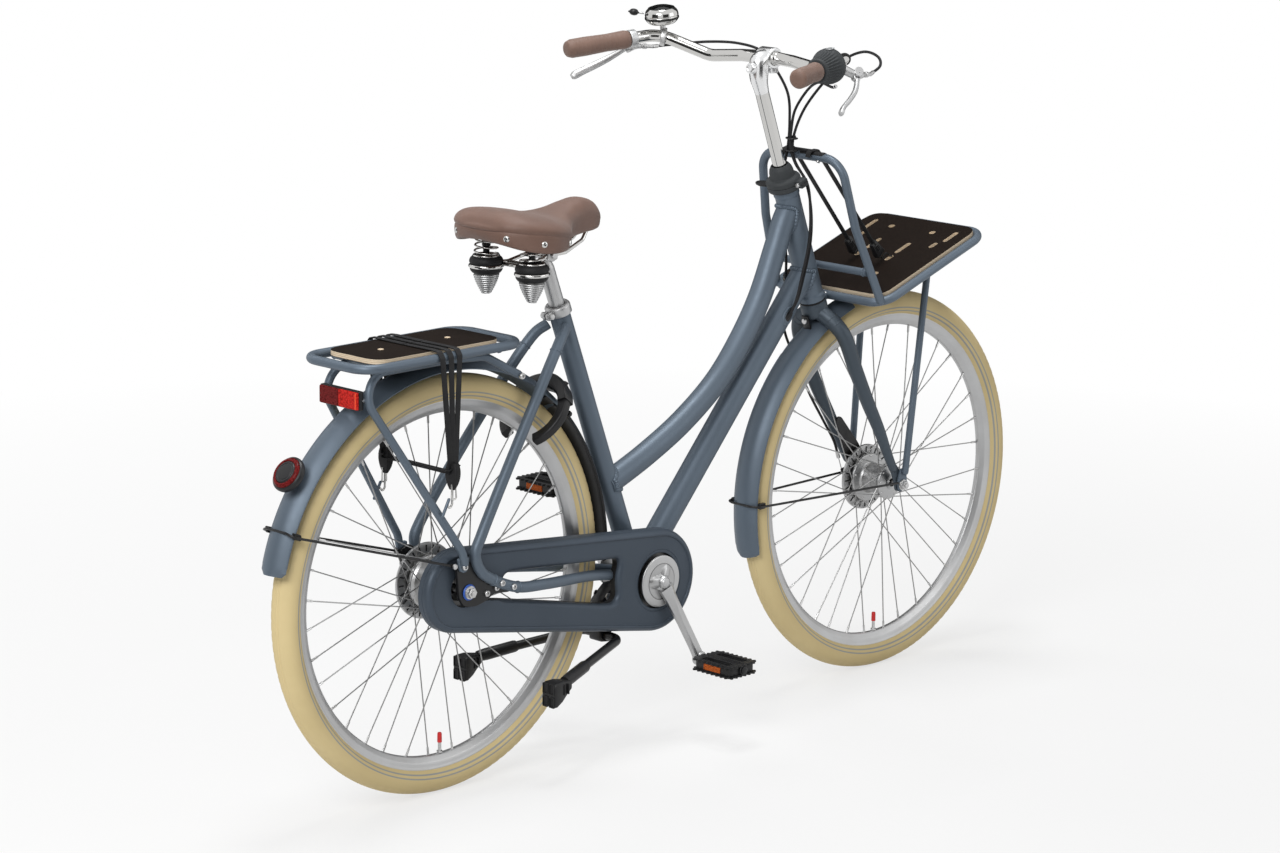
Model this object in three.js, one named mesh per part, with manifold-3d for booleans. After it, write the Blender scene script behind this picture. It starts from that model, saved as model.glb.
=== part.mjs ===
// Dutch city bike with front and rear carriers, in millimetres.
// +X is the direction of travel, +Y the rider's left, +Z up.
// Every place is measured from the ground point under the rear axle; the last lines
// move the whole bike so that its box is centred over the origin.
import * as THREE from "three";
import Module from "manifold-3d";
import { mergeVertices } from "three/addons/utils/BufferGeometryUtils.js";

const wasm = await Module();
wasm.setup();
const { Manifold, Mesh: SolidMesh } = wasm;

// Driving dimensions
const GAP = 0.3;
const WHEELBASE = 1121;
const TYRE_RADIUS = 361;
const TYRE_HALF_WIDTH = 25;
const RIM_INNER_RADIUS = 296.5;
const SPOKES = 36;
const WHEEL_SEGMENTS = 28;
const STEERING_LEAN = THREE.MathUtils.degToRad(20.3);
const HEAD_LENGTH = 226;
const HEAD_RADIUS = 22.5;
const DOWN_TUBE_RADIUS = 22.5;
const TOP_TUBE_RADIUS = 21.5;
const SEAT_TUBE_RADIUS = 18.3;
const STAY_RADIUS = 9.5;
const CARRIER_TUBE_RADIUS = 8;
const POST_RADIUS = 13.6;
const CRANK_LENGTH = 170;
const CHAIN_LINE = -45;
const CHAIN_PITCH = 12.7;
const RING_TEETH = 38;
const SPROCKET_TEETH = 19;
const BAR_RADIUS = 11.1;
const CASE_OUTER_Y = -62;
const CASE_INNER_Y = -37;
const CASE_WALL = 2.5;
const BIKE_CENTRE_X = 552;

// Main points
const v = (x, y, z) => new THREE.Vector3(x, y, z);
const REAR_AXLE = v(0, 0, TYRE_RADIUS);
const FRONT_AXLE = v(WHEELBASE, 0, TYRE_RADIUS);
const BOTTOM_BRACKET = v(469, 0, 293);
const HEAD_BOTTOM = v(927, 0, 733);
const HEAD_AXIS = v(-Math.sin(STEERING_LEAN), 0, Math.cos(STEERING_LEAN));
const HEAD_FORWARD = v(Math.cos(STEERING_LEAN), 0, Math.sin(STEERING_LEAN));
const SEAT_TOP = v(274, 0, 803);
const SEAT_AXIS = SEAT_TOP.clone().sub(BOTTOM_BRACKET).normalize();
const DOWN_TOP = v(906, 0, 789);
const CRANK_ANGLE = THREE.MathUtils.degToRad(-63);
const LEFT = v(0, 1, 0);

// Paints and finishes
const paint = (color, roughness, metalness) =>
  new THREE.MeshStandardMaterial({ color, roughness, metalness });
const SLATE = paint(0x5d6875, 0.45, 0.35);
const BLACK = paint(0x17181a, 0.55, 0.0);
const RUBBER = paint(0x222324, 0.8, 0.0);
const CREAM = paint(0xd9c493, 0.8, 0.0);
const ALLOY = paint(0xb9bcbe, 0.35, 0.9);
const CHROME = paint(0xd6d6d4, 0.12, 1.0);
const STEEL = paint(0x9a9c9f, 0.3, 1.0);
const BROWN = paint(0x6f4e41, 0.65, 0.0);
const PLYWOOD = paint(0x2a2422, 0.5, 0.0);
const RED = paint(0xb3121a, 0.2, 0.0);
const LENS = paint(0xe8eaec, 0.1, 0.0);

const bike = new THREE.Group();

// Solids

// A closed geometry, moved by a matrix, as a solid that can be cut and joined.
function solid(geometry, matrix) {
  const bare = geometry.clone();
  for (const name of Object.keys(bare.attributes)) {
    if (name !== "position") bare.deleteAttribute(name);
  }
  if (matrix) bare.applyMatrix4(matrix);
  const merged = mergeVertices(bare, 1e-3);
  const index = merged.index.array;
  const corner = merged.attributes.position;
  const kept = [];
  let volume = 0;
  const a = v(0, 0, 0);
  const b = v(0, 0, 0);
  const c = v(0, 0, 0);
  for (let i = 0; i < index.length; i += 3) {
    const [p, q, r] = [index[i], index[i + 1], index[i + 2]];
    if (p === q || q === r || r === p) continue;
    a.fromBufferAttribute(corner, p);
    b.fromBufferAttribute(corner, q);
    c.fromBufferAttribute(corner, r);
    volume += a.dot(b.cross(c));
    kept.push([p, q, r]);
  }
  const outward = volume > 0 ? kept : kept.map(([p, q, r]) => [p, r, q]);
  const vertProperties = new Float32Array(corner.array);
  return new Manifold(new SolidMesh({
    numProp: 3, vertProperties, triVerts: new Uint32Array(outward.flat()),
  }));
}

const join = (...solids) => Manifold.union(solids);
const cut = (body, ...tools) => Manifold.difference([body, ...tools]);

// Adds a named piece of one material to a group.
function piece(name, body, material, group = bike) {
  const { numProp, vertProperties, triVerts } = body.simplify(0.05).getMesh();
  const positions = new Float32Array((vertProperties.length / numProp) * 3);
  for (let i = 0; i < positions.length / 3; i++) {
    for (let k = 0; k < 3; k++) positions[3 * i + k] = vertProperties[numProp * i + k];
  }
  const geometry = new THREE.BufferGeometry();
  geometry.setAttribute("position", new THREE.BufferAttribute(positions, 3));
  geometry.setIndex(new THREE.BufferAttribute(new Uint32Array(triVerts), 1));
  geometry.computeVertexNormals();
  const mesh = new THREE.Mesh(geometry, material);
  mesh.name = name;
  group.add(mesh);
  return mesh;
}

const mirrored = (body) => body.mirror([0, 1, 0]);

// The largest of the parts that a cut leaves.
const main = (body) => body.decompose().reduce((a, b) => (a.volume() > b.volume() ? a : b));

// A path through stations: straight runs whose sections lie on the bisector of each bend.
class StationPath extends THREE.Curve {
  constructor(stations) {
    super();
    this.stations = stations;
  }
  getPoint(t) {
    const last = this.stations.length - 1;
    const at = Math.min(t * last, last - 1e-9);
    const from = Math.floor(at);
    return this.stations[from].clone().lerp(this.stations[from + 1], at - from);
  }
  getPointAt(u) {
    return this.getPoint(u);
  }
  getSpacedPoints() {
    return this.stations.map((station) => station.clone());
  }
  getTangentAt(u) {
    const last = this.stations.length - 1;
    const i = Math.round(u * last);
    const before = this.stations[Math.max(i - 1, 0)];
    const here = this.stations[i];
    const after = this.stations[Math.min(i + 1, last)];
    const arriving = here.clone().sub(before).normalize();
    const leaving = after.clone().sub(here).normalize();
    return arriving.add(leaving).normalize();
  }
}

// Stations along straight runs between corners, each corner bent to an arc of the radius.
function bent(corners, radius, steps = 4) {
  const stations = [corners[0]];
  for (let i = 1; i < corners.length - 1; i++) {
    const inward = corners[i].clone().sub(corners[i - 1]).normalize();
    const outward = corners[i + 1].clone().sub(corners[i]).normalize();
    const turn = inward.angleTo(outward);
    const reach = Math.min(
      radius * Math.tan(turn / 2),
      0.48 * corners[i].distanceTo(corners[i - 1]),
      0.48 * corners[i].distanceTo(corners[i + 1]));
    const arc = reach / Math.tan(turn / 2);
    const normal = outward.clone().addScaledVector(inward, -inward.dot(outward)).normalize();
    const start = corners[i].clone().addScaledVector(inward, -reach);
    for (let k = 0; k <= steps; k++) {
      const angle = (turn * k) / steps;
      stations.push(start.clone()
        .addScaledVector(normal, arc * (1 - Math.cos(angle)))
        .addScaledVector(inward, arc * Math.sin(angle)));
    }
  }
  stations.push(corners[corners.length - 1]);
  return stations;
}

// Stations of a smooth curve through a few points.
const smooth = (points, steps) =>
  new THREE.CatmullRomCurve3(points, false, "centripetal").getPoints(steps);

function roundShape(radiusX, radiusY, sides) {
  const points = [];
  for (let i = 0; i < sides; i++) {
    const angle = ((i + 0.5) * 2 * Math.PI) / sides;
    points.push(new THREE.Vector2(radiusX * Math.cos(angle), radiusY * Math.sin(angle)));
  }
  return new THREE.Shape(points);
}

// A section carried along stations.
function swept(shape, stations) {
  return solid(new THREE.ExtrudeGeometry(shape, {
    steps: stations.length - 1, extrudePath: new StationPath(stations), bevelEnabled: false,
  }));
}

const tube = (stations, radius, sides = 12) => swept(roundShape(radius, radius, sides), stations);
const rod = (from, to, radius, sides = 12) => tube([from, to], radius, sides);

// A closed skin over rings of points, its ends closed by fans.
function loft(rings) {
  const count = rings[0].length;
  const points = rings.flat();
  const centre = (ring) => ring.reduce((sum, p) => sum.add(p), v(0, 0, 0)).divideScalar(count);
  const first = points.push(centre(rings[0])) - 1;
  const last = points.push(centre(rings[rings.length - 1])) - 1;
  const index = [];
  const end = (rings.length - 1) * count;
  for (let k = 0; k < count; k++) {
    const next = (k + 1) % count;
    for (let i = 0; i < rings.length - 1; i++) {
      const low = i * count;
      const high = low + count;
      index.push(low + k, low + next, high + next, low + k, high + next, high + k);
    }
    index.push(first, next, k, last, end + k, end + next);
  }
  const geometry = new THREE.BufferGeometry().setFromPoints(points);
  geometry.setIndex(index);
  return solid(geometry);
}

// A tube along a flat closed loop of stations; the normal is square to the loop's plane.
function ringTube(stations, radius, sides, normal) {
  const count = stations.length;
  const points = [];
  const index = [];
  stations.forEach((station, i) => {
    const run = stations[(i + 1) % count].clone().sub(stations[(i + count - 1) % count]).normalize();
    const outward = run.clone().cross(normal);
    for (let k = 0; k < sides; k++) {
      const angle = ((k + 0.5) * 2 * Math.PI) / sides;
      points.push(station.clone().addScaledVector(outward, radius * Math.cos(angle))
        .addScaledVector(normal, radius * Math.sin(angle)));
      const here = i * sides + k;
      const beside = i * sides + ((k + 1) % sides);
      const next = (here + sides) % (count * sides);
      const nextBeside = (beside + sides) % (count * sides);
      index.push(here, next, nextBeside, here, nextBeside, beside);
    }
  });
  const geometry = new THREE.BufferGeometry().setFromPoints(points);
  geometry.setIndex(index);
  return solid(geometry);
}

// A loft of ellipses along stations, with its own half-sizes across and up at each one.
function taperedTube(stations, sizes, sides = 10) {
  const path = new StationPath(stations);
  const frames = path.computeFrenetFrames(stations.length - 1, false);
  return loft(stations.map((station, i) => {
    const ring = [];
    for (let k = 0; k < sides; k++) {
      const angle = ((k + 0.5) * 2 * Math.PI) / sides;
      ring.push(station.clone()
        .addScaledVector(frames.normals[i], sizes[i][0] * Math.cos(angle))
        .addScaledVector(frames.binormals[i], sizes[i][1] * Math.sin(angle)));
    }
    return ring;
  }));
}

// A profile of [radius, height] pairs turned about +Y, or about the line from a point along an axis.
function turned(profile, segments, from, axis) {
  const onAxis = profile[0][0] === 0;
  const outline = onAxis ? profile : [...profile, profile[0]];
  const points = outline.map(([r, h]) => new THREE.Vector2(r, h));
  const matrix = new THREE.Matrix4();
  if (from) {
    const turn = new THREE.Quaternion().setFromUnitVectors(LEFT, axis.clone().normalize());
    matrix.compose(from, turn, v(1, 1, 1));
  }
  return solid(new THREE.LatheGeometry(points, segments), matrix);
}

// A flat shape in the XZ plane, thickened from one Y to another.
function sidePlate(shape, fromY, toY) {
  const geometry = new THREE.ExtrudeGeometry(shape, {
    depth: Math.abs(toY - fromY), bevelEnabled: false, curveSegments: 6,
  });
  geometry.rotateX(Math.PI / 2);
  geometry.translate(0, Math.max(fromY, toY), 0);
  return solid(geometry);
}

const outline = (pairs) => new THREE.Shape(pairs.map(([x, z]) => new THREE.Vector2(x, z)));
const block = (sx, sy, sz, x, y, z) => solid(
  new THREE.BoxGeometry(sx, sy, sz), new THREE.Matrix4().makeTranslation(x, y, z));

// A point on the steering axis: a distance up it, forward of it and to the left.
const steeringPoint = (up, forward = 0, left = 0) => HEAD_BOTTOM.clone()
  .addScaledVector(HEAD_AXIS, up).addScaledVector(HEAD_FORWARD, forward)
  .addScaledVector(LEFT, left);

// A tool that cuts room for a round piece: its flats stay a gap outside the piece's radius.
const room = (from, to, radius, sides = 10) =>
  rod(from, to, (radius + GAP) / Math.cos(Math.PI / sides), sides);

// Frame
const SHELL_RADIUS = 23;
const headCutter = room(steeringPoint(-5), steeringPoint(HEAD_LENGTH + 5), HEAD_RADIUS);
const shellCutter = room(v(469, -60, 293), v(469, 60, 293), SHELL_RADIUS);
const seatCutter = room(BOTTOM_BRACKET, SEAT_TOP, SEAT_TUBE_RADIUS);

function headTube() {
  return turned([
    [17, 0], [24.5, 0], [24.5, 10], [HEAD_RADIUS, 16], [HEAD_RADIUS, HEAD_LENGTH - 14],
    [24, HEAD_LENGTH - 10], [24, HEAD_LENGTH], [17, HEAD_LENGTH],
  ], 14, HEAD_BOTTOM, HEAD_AXIS);
}

const TOP_TUBE_ROUTE = [
  v(866, 0, 918), v(846, 0, 888), v(824, 0, 838), v(784, 0, 752), v(735, 0, 681), v(675, 0, 616),
  v(588, 0, 555), v(492, 0, 507), v(395, 0, 468),
];

function topTube() {
  const curve = tube(smooth(TOP_TUBE_ROUTE, 10), TOP_TUBE_RADIUS, 10);
  return main(cut(curve, headCutter, seatCutter));
}

// The down tube has an oval port on its right side where the cables go in.
const PORT = DOWN_TOP.clone().lerp(BOTTOM_BRACKET, 0.16);

function downTube() {
  const axis = DOWN_TOP.clone().sub(BOTTOM_BRACKET).normalize();
  const port = swept(roundShape(9, 9, 8), [PORT.clone(), PORT.clone().add(v(0, -40, 0))]);
  const stretched = axis.clone().multiplyScalar(14);
  const slot = join(port, port.translate(stretched.toArray()),
    block(20, 30, 16, 0, 0, 0).rotate([0, -49.3, 0])
      .translate(PORT.clone().addScaledVector(axis, 7).add(v(0, -25, 0)).toArray()));
  const bore = rod(PORT.clone().addScaledVector(axis, -60), PORT.clone().addScaledVector(axis, 60),
    DOWN_TUBE_RADIUS - 2, 8);
  return main(cut(rod(BOTTOM_BRACKET, DOWN_TOP, DOWN_TUBE_RADIUS, 12),
    headCutter, shellCutter, join(slot, bore)));
}

function seatTube() {
  const downCutter = room(BOTTOM_BRACKET, DOWN_TOP, DOWN_TUBE_RADIUS);
  const bore = room(SEAT_TOP.clone().addScaledVector(SEAT_AXIS, -265),
    SEAT_TOP.clone().addScaledVector(SEAT_AXIS, 5), POST_RADIUS, 12);
  const whole = rod(BOTTOM_BRACKET, SEAT_TOP, SEAT_TUBE_RADIUS, 16);
  return main(cut(whole, shellCutter, downCutter, bore));
}

// The shell, with the plate behind it that carries the stand.
function bottomBracketShell() {
  const shell = turned([[17, -34], [SHELL_RADIUS, -34], [SHELL_RADIUS, 34], [17, 34]],
    16, BOTTOM_BRACKET, LEFT);
  const plate = sidePlate(outline([
    [449, 288], [404, 288], [372, 262], [370, 190], [398, 186], [403, 250], [449, 274],
  ]), -14, 14);
  const pivotHole = rod(v(385, -20, 200), v(385, 20, 200), 9, 12);
  return cut(join(shell, cut(plate, rod(v(469, -20, 293), v(469, 20, 293), 18, 16))), pivotHole);
}

// One bent tube a side: down from the seat tube, round the axle's end and forward to the shell.
const STAY_ROUTE = [
  v(273, -22, 769), v(250, -33, 752), v(27, -75, 455), v(12, -76, 424), v(24, -76, 394),
  v(52, -76, 374), v(112, -75, 350), v(178, -74, 343), v(300, -48, 329), v(348, -38, 321),
  v(404, -30, 309), v(456, -26, 297),
];
const STAY_STATIONS = smooth(STAY_ROUTE, 14);

function dropout() {
  const plate = sidePlate(outline([
    [-28, 412], [-6, 420], [22, 398], [60, 372], [96, 356], [96, 344], [58, 348], [40, 338],
    [16, 333], [-12, 338], [-22, 356], [-24, 380],
  ]), -73, -66.5);
  const slot = rod(v(0, -80, 361), v(0, -60, 361), 5.8, 6);
  return cut(plate, slot);
}

function rearStay() {
  const stay = main(cut(tube(STAY_STATIONS, STAY_RADIUS, 7), seatCutter, shellCutter));
  return join(stay, dropout());
}

function seatClamp() {
  const from = SEAT_TOP.clone().addScaledVector(SEAT_AXIS, -14);
  const inside = SEAT_TUBE_RADIUS + 0.8;
  const mouth = POST_RADIUS + 0.8;
  const collar = turned([[inside, 0], [22.5, 0], [22.5, 18], [mouth, 18], [mouth, 15], [inside, 15]],
    12, from, SEAT_AXIS);
  const back = v(-1, 0, 0).addScaledVector(SEAT_AXIS, SEAT_AXIS.x).normalize();
  const ear = from.clone().addScaledVector(SEAT_AXIS, 8).addScaledVector(back, 27);
  const bolt = rod(ear.clone().add(v(0, -15, 0)), ear.clone().add(v(0, 15, 0)), 5, 5);
  const ears = block(13, 16, 13, 0, 0, 0).rotate([0, -20.9, 0])
    .translate(ear.clone().addScaledVector(back, -1.5).toArray());
  const split = block(30, 2, 24, 0, 0, 0).rotate([0, -20.9, 0])
    .translate(ear.clone().addScaledVector(back, -2).toArray());
  return join(cut(join(collar, ears), split), bolt);
}

piece("head_tube", headTube(), SLATE);
piece("top_tube", topTube(), SLATE);
piece("down_tube", downTube(), SLATE);
piece("seat_tube", seatTube(), SLATE);
piece("bottom_bracket_shell", bottomBracketShell(), SLATE);
piece("rear_stay_right", rearStay(), SLATE);
piece("rear_stay_left", mirrored(rearStay()), SLATE);
piece("seat_clamp", seatClamp(), ALLOY);

// Mudguards: a shallow arched strip carried round an axle, held by a wire stay.
function archedStrip(halfWidth, crown, thickness) {
  const outer = [];
  const inner = [];
  for (let i = 0; i <= 4; i++) {
    const across = -1 + i / 2;
    const drop = crown * across * across;
    outer.push(new THREE.Vector2(across * halfWidth, -drop));
    inner.unshift(new THREE.Vector2(across * (halfWidth - thickness), -drop - thickness));
  }
  return new THREE.Shape([...outer, ...inner]);
}

function arcStations(centre, radius, fromDegrees, toDegrees, steps) {
  const stations = [];
  for (let i = 0; i <= steps; i++) {
    const angle = THREE.MathUtils.degToRad(fromDegrees + ((toDegrees - fromDegrees) * i) / steps);
    stations.push(centre.clone().add(v(radius * Math.cos(angle), 0, radius * Math.sin(angle))));
  }
  return stations;
}

function wireStay(end, corner, crown, radius = 2.2) {
  const flip = (p) => v(p.x, -p.y, p.z);
  return tube(bent([end, corner, crown.clone().setY(corner.y * 0.6), flip(crown.clone()
    .setY(corner.y * 0.6)), flip(corner), flip(end)], 16, 1), radius, 5);
}

const REAR_GUARD_RADIUS = 387;
const FRONT_GUARD_RADIUS = 378;

function rearMudguard() {
  const strip = swept(archedStrip(30, 15, 1.8),
    arcStations(REAR_AXLE, REAR_GUARD_RADIUS, -3.5, 167.5, 15));
  const stay = wireStay(v(-32, -69, 411), v(-352, -38, 510), v(-355, 0, 514.8));
  return join(strip, stay);
}

function frontMudguard() {
  const strip = swept(archedStrip(29, 14, 1.8),
    arcStations(FRONT_AXLE, FRONT_GUARD_RADIUS, 106, 193.5, 8));
  const stay = wireStay(v(1106, -66, 367), v(752, -38, 374), v(743.6, 0, 374.4));
  const legs = forkLeg(1.5);
  const bracket = block(4, 16, 36, 0, 0, 0).rotate([0, -20.3, 0])
    .translate(steeringPoint(-40, -28.5).toArray());
  const bolt = rod(steeringPoint(-31, -30), steeringPoint(-31, -36), 5, 6);
  return join(main(cut(strip, legs, mirrored(legs))), stay, bracket, bolt);
}

piece("rear_mudguard", rearMudguard(), SLATE);

// Rear carrier: a flat hoop, and under each of its sides a tube that starts at the seat
// stay, runs back below the hoop, and curves down and forward to the dropout.
const CARRIER_Z = 775;
const CARRIER_HALF_WIDTH = 88;
const CARRIER_FRONT_X = 112;
const CARRIER_REAR_X = -240;

const flipped = (points) => points.map((p) => v(p.x, -p.y, p.z));

// One side's stations followed by the other side's, from the middle of the back to the middle of
// the front and round again.
const bothSides = (stations) => [...stations, ...flipped(stations).reverse()];

function carrierHoop() {
  const side = bent([
    v(CARRIER_REAR_X, -1, CARRIER_Z), v(CARRIER_REAR_X, -CARRIER_HALF_WIDTH, CARRIER_Z),
    v(CARRIER_FRONT_X, -CARRIER_HALF_WIDTH, CARRIER_Z), v(CARRIER_FRONT_X, -1, CARRIER_Z),
  ], 42, 2);
  return ringTube(bothSides(side), CARRIER_TUBE_RADIUS, 6, v(0, 0, 1));
}

function carrierSide() {
  const side = tube(bent([
    v(116, -70, 716), v(40, -82, 760), v(-150, -82, 761), v(-245, -82, 752), v(-236, -82, 722),
    v(-22, -84, 450), v(-17, -81, 416),
  ], 30, 1), 7, 5);
  const foot = sidePlate(outline([[-28, 420], [-7, 420], [-9, 402], [-26, 402]]), -80, -73.4);
  const lug = rod(v(-70, -85, 506), v(-56, -85, 532), 2.5, 4);
  return join(side, foot, lug);
}

function rearCarrier() {
  const side = carrierSide();
  const crossTubes = [68, -60, -188].map((x) => rod(v(x, -84, 766), v(x, 84, 766), 5.5, 5));
  const stayEnd = rod(v(118, -71.5, 715), v(118, -62, 717), 5, 6);
  const feet = join(side, stayEnd);
  return join(carrierHoop(), feet, mirrored(feet), ...crossTubes);
}

const REAR_BOARD = { halfLength: 128, halfWidth: 69, x: -48, z: 772.2, thick: 9 };

function roundedPlate(halfX, halfY, corner) {
  const shape = new THREE.Shape();
  shape.moveTo(-halfX + corner, -halfY);
  shape.lineTo(halfX - corner, -halfY);
  shape.absarc(halfX - corner, -halfY + corner, corner, -Math.PI / 2, 0);
  shape.lineTo(halfX, halfY - corner);
  shape.absarc(halfX - corner, halfY - corner, corner, 0, Math.PI / 2);
  shape.lineTo(-halfX + corner, halfY);
  shape.absarc(-halfX + corner, halfY - corner, corner, Math.PI / 2, Math.PI);
  shape.lineTo(-halfX, -halfY + corner);
  shape.absarc(-halfX + corner, -halfY + corner, corner, Math.PI, Math.PI * 1.5);
  return shape;
}

function rearBoard() {
  const { halfLength, halfWidth, x, z, thick } = REAR_BOARD;
  const geometry = new THREE.ExtrudeGeometry(roundedPlate(halfLength, halfWidth, 28), {
    depth: thick, bevelEnabled: false, curveSegments: 3,
  });
  geometry.translate(x, 0, z);
  const hole = (at) => rod(v(x + at, 0, z + thick - 2), v(x + at, 0, z + thick + 2), 5, 6);
  return cut(solid(geometry), hole(-88), hole(88));
}

// A flat band, 10 wide along the bike and 2 thick, over stations that lie across the bike.
function ribbon(stations) {
  const path = new StationPath(stations);
  return loft(stations.map((station, i) => {
    const run = path.getTangentAt(i / (stations.length - 1));
    const along = v(1, 0, 0).addScaledVector(run, -run.x).normalize();
    const normal = run.clone().cross(along);
    return [[-5, -1], [5, -1], [5, 1], [-5, 1]].map(([a, b]) => station.clone()
      .addScaledVector(along, a).addScaledVector(normal, b));
  }));
}

// Three flat bands over the board, drawn together at a hook on each side.
function rearStraps() {
  const top = REAR_BOARD.z + REAR_BOARD.thick + 1.4;
  const side = (band) => {
    const x = -62 + band * 15;
    const low = -53 + band * 3;
    return [v(x, 0, top), v(x, -88, 785.2), v(x, -97, 781), v(x, -98.8, 772), v(low, -91, 578)];
  };
  const bands = [-1, 0, 1].map((band) => {
    const right = side(band);
    return ribbon([...flipped(right.slice(1)).reverse(), ...right]);
  });
  const buckle = taperedTube([v(-53, -91, 586), v(-53, -91, 574), v(-54, -91, 556), v(-55, -91, 542)],
    [[4, 8], [5, 11], [5, 9], [3, 4]], 4);
  const hook = tube(bent([v(-55, -91.5, 545), v(-56, -91.5, 524), v(-64, -91.5, 519)], 6, 1), 2, 5);
  const end = join(buckle, hook);
  return join(...bands, end, mirrored(end));
}

piece("rear_carrier", rearCarrier(), SLATE);
piece("rear_board", rearBoard(), PLYWOOD);
piece("rear_straps", rearStraps(), RUBBER);

// Rear light and reflector

function rearLight() {
  const outward = v(-334, 0, 608 - TYRE_RADIUS).normalize();
  const foot = REAR_AXLE.clone().addScaledVector(outward, REAR_GUARD_RADIUS + 0.6);
  return join(
    turned([[0, 0], [9, 0], [12, 12], [0, 12]], 8, foot, outward),
    turned([[0, 11], [24, 11], [30, 15], [31, 22], [27, 29], [15, 32], [0, 32]], 14, foot, outward));
}

function rearReflector() {
  const plate = block(14, 104, 32, 0, 0, 0);
  const back = block(6, 88, 12, 8, 0, 0);
  return join(plate, back).rotate([0, 12, 0]).translate([-247, 0, 722]);
}

piece("rear_light", rearLight(), BLACK);
piece("rear_reflector", rearReflector(), RED);

// Ring lock: a horseshoe housing round the rear tyre, and the bolt that slides inside it
// along an arc and closes the gap between two spokes.
const LOCK_ANGLE = THREE.MathUtils.degToRad(50);
const LOCK_OUT = v(Math.cos(LOCK_ANGLE), 0, Math.sin(LOCK_ANGLE));
const LOCK_AXIS = v(-Math.sin(LOCK_ANGLE), 0, Math.cos(LOCK_ANGLE));
const LOCK_CENTRE = REAR_AXLE.clone().addScaledVector(LOCK_OUT, 345);
const LOCK_BOLT_ARC = 60;

// Stations on an arc about the lock's axis; 0 degrees points to the hub, positive to the right.
function lockArc(radius, fromDegrees, toDegrees, steps, shift = 0) {
  const stations = [];
  for (let i = 0; i <= steps; i++) {
    const angle = THREE.MathUtils.degToRad(fromDegrees + ((toDegrees - fromDegrees) * i) / steps);
    stations.push(LOCK_CENTRE.clone()
      .addScaledVector(LOCK_OUT, -radius * Math.cos(angle))
      .addScaledVector(LEFT, -radius * Math.sin(angle))
      .addScaledVector(LOCK_AXIS, shift));
  }
  return stations;
}

// The housing is open below along the path of the bolt's knob.
function ringLock() {
  const arc = (from, to, steps, radius, sides, shift) =>
    tube(lockArc(LOCK_BOLT_ARC, from, to, steps, shift), radius, sides);
  const housing = join(arc(34, 326, 11, 9.5, 6), arc(140, 220, 3, 14, 6));
  return cut(housing, arc(26, 124, 8, 5.2, 6), arc(334, 322, 1, 5.2, 6),
    arc(26, 116, 8, 5.4, 4, -6.8));
}

function ringLockBolt() {
  const bolt = tube(lockArc(LOCK_BOLT_ARC, 38, 114, 8), 3.8, 6);
  const [at] = lockArc(LOCK_BOLT_ARC, 107, 108, 1);
  const tip = at.clone().addScaledVector(LOCK_AXIS, -22);
  const knob = at.clone().addScaledVector(LOCK_AXIS, -15);
  return join(bolt, rod(at, tip, 2, 6), rod(knob, tip, 5.5, 8));
}

piece("ring_lock", ringLock(), BLACK);
piece("ring_lock_bolt", ringLockBolt(), STEEL);

// Chaincase: a hollow case along the chain, with a raised border, a long window that the
// right stay passes through, a round opening at the hub and one at the crank.
const CASE_FRONT_RADIUS = 92;
const CASE_REAR = { x: -10, z: 361, radius: 72 };

function caseOutline(inset) {
  const front = { x: BOTTOM_BRACKET.x, z: BOTTOM_BRACKET.z, radius: CASE_FRONT_RADIUS - inset };
  const rear = { ...CASE_REAR, radius: CASE_REAR.radius - inset };
  const axis = Math.atan2(rear.z - front.z, rear.x - front.x);
  const spread = Math.acos((front.radius - rear.radius) / Math.hypot(rear.x - front.x, rear.z - front.z));
  const shape = new THREE.Shape();
  shape.absarc(front.x, front.z, front.radius, axis + spread, axis - spread + 2 * Math.PI, false);
  shape.absarc(rear.x, rear.z, rear.radius, axis - spread + 2 * Math.PI, axis + spread + 2 * Math.PI, false);
  return shape;
}

function caseShape(inset, divisions) {
  return new THREE.Shape(caseOutline(inset).getPoints(divisions));
}

// The window's edge where it is narrowest, from its rear end below the stay round its front.
const CASE_WINDOW = [
  [44, 334], [96, 327], [331, 274], [364, 270], [372, 284], [369, 312], [377, 338], [374, 349],
  [305, 355], [141, 370], [104, 372], [92, 360], [52, 372],
];
const HUB_OPENING = { x: 6, z: 364, radius: 33 };
const CRANK_OPENING = 50;

// A closed outline with each corner moved outwards, square to the line between its neighbours.
function grown(pairs, by) {
  return pairs.map(([x, z], i) => {
    const [fromX, fromZ] = pairs[(i + pairs.length - 1) % pairs.length];
    const [toX, toZ] = pairs[(i + 1) % pairs.length];
    const length = Math.hypot(toX - fromX, toZ - fromZ);
    return [x + (by * (toZ - fromZ)) / length, z - (by * (toX - fromX)) / length];
  });
}

// A solid between grown outlines of the window: pairs of a Y and how much the outline grows there.
const windowLoft = (...layers) =>
  loft(layers.map(([y, by]) => grown(CASE_WINDOW, by).map(([x, z]) => v(x, y, z))));

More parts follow.
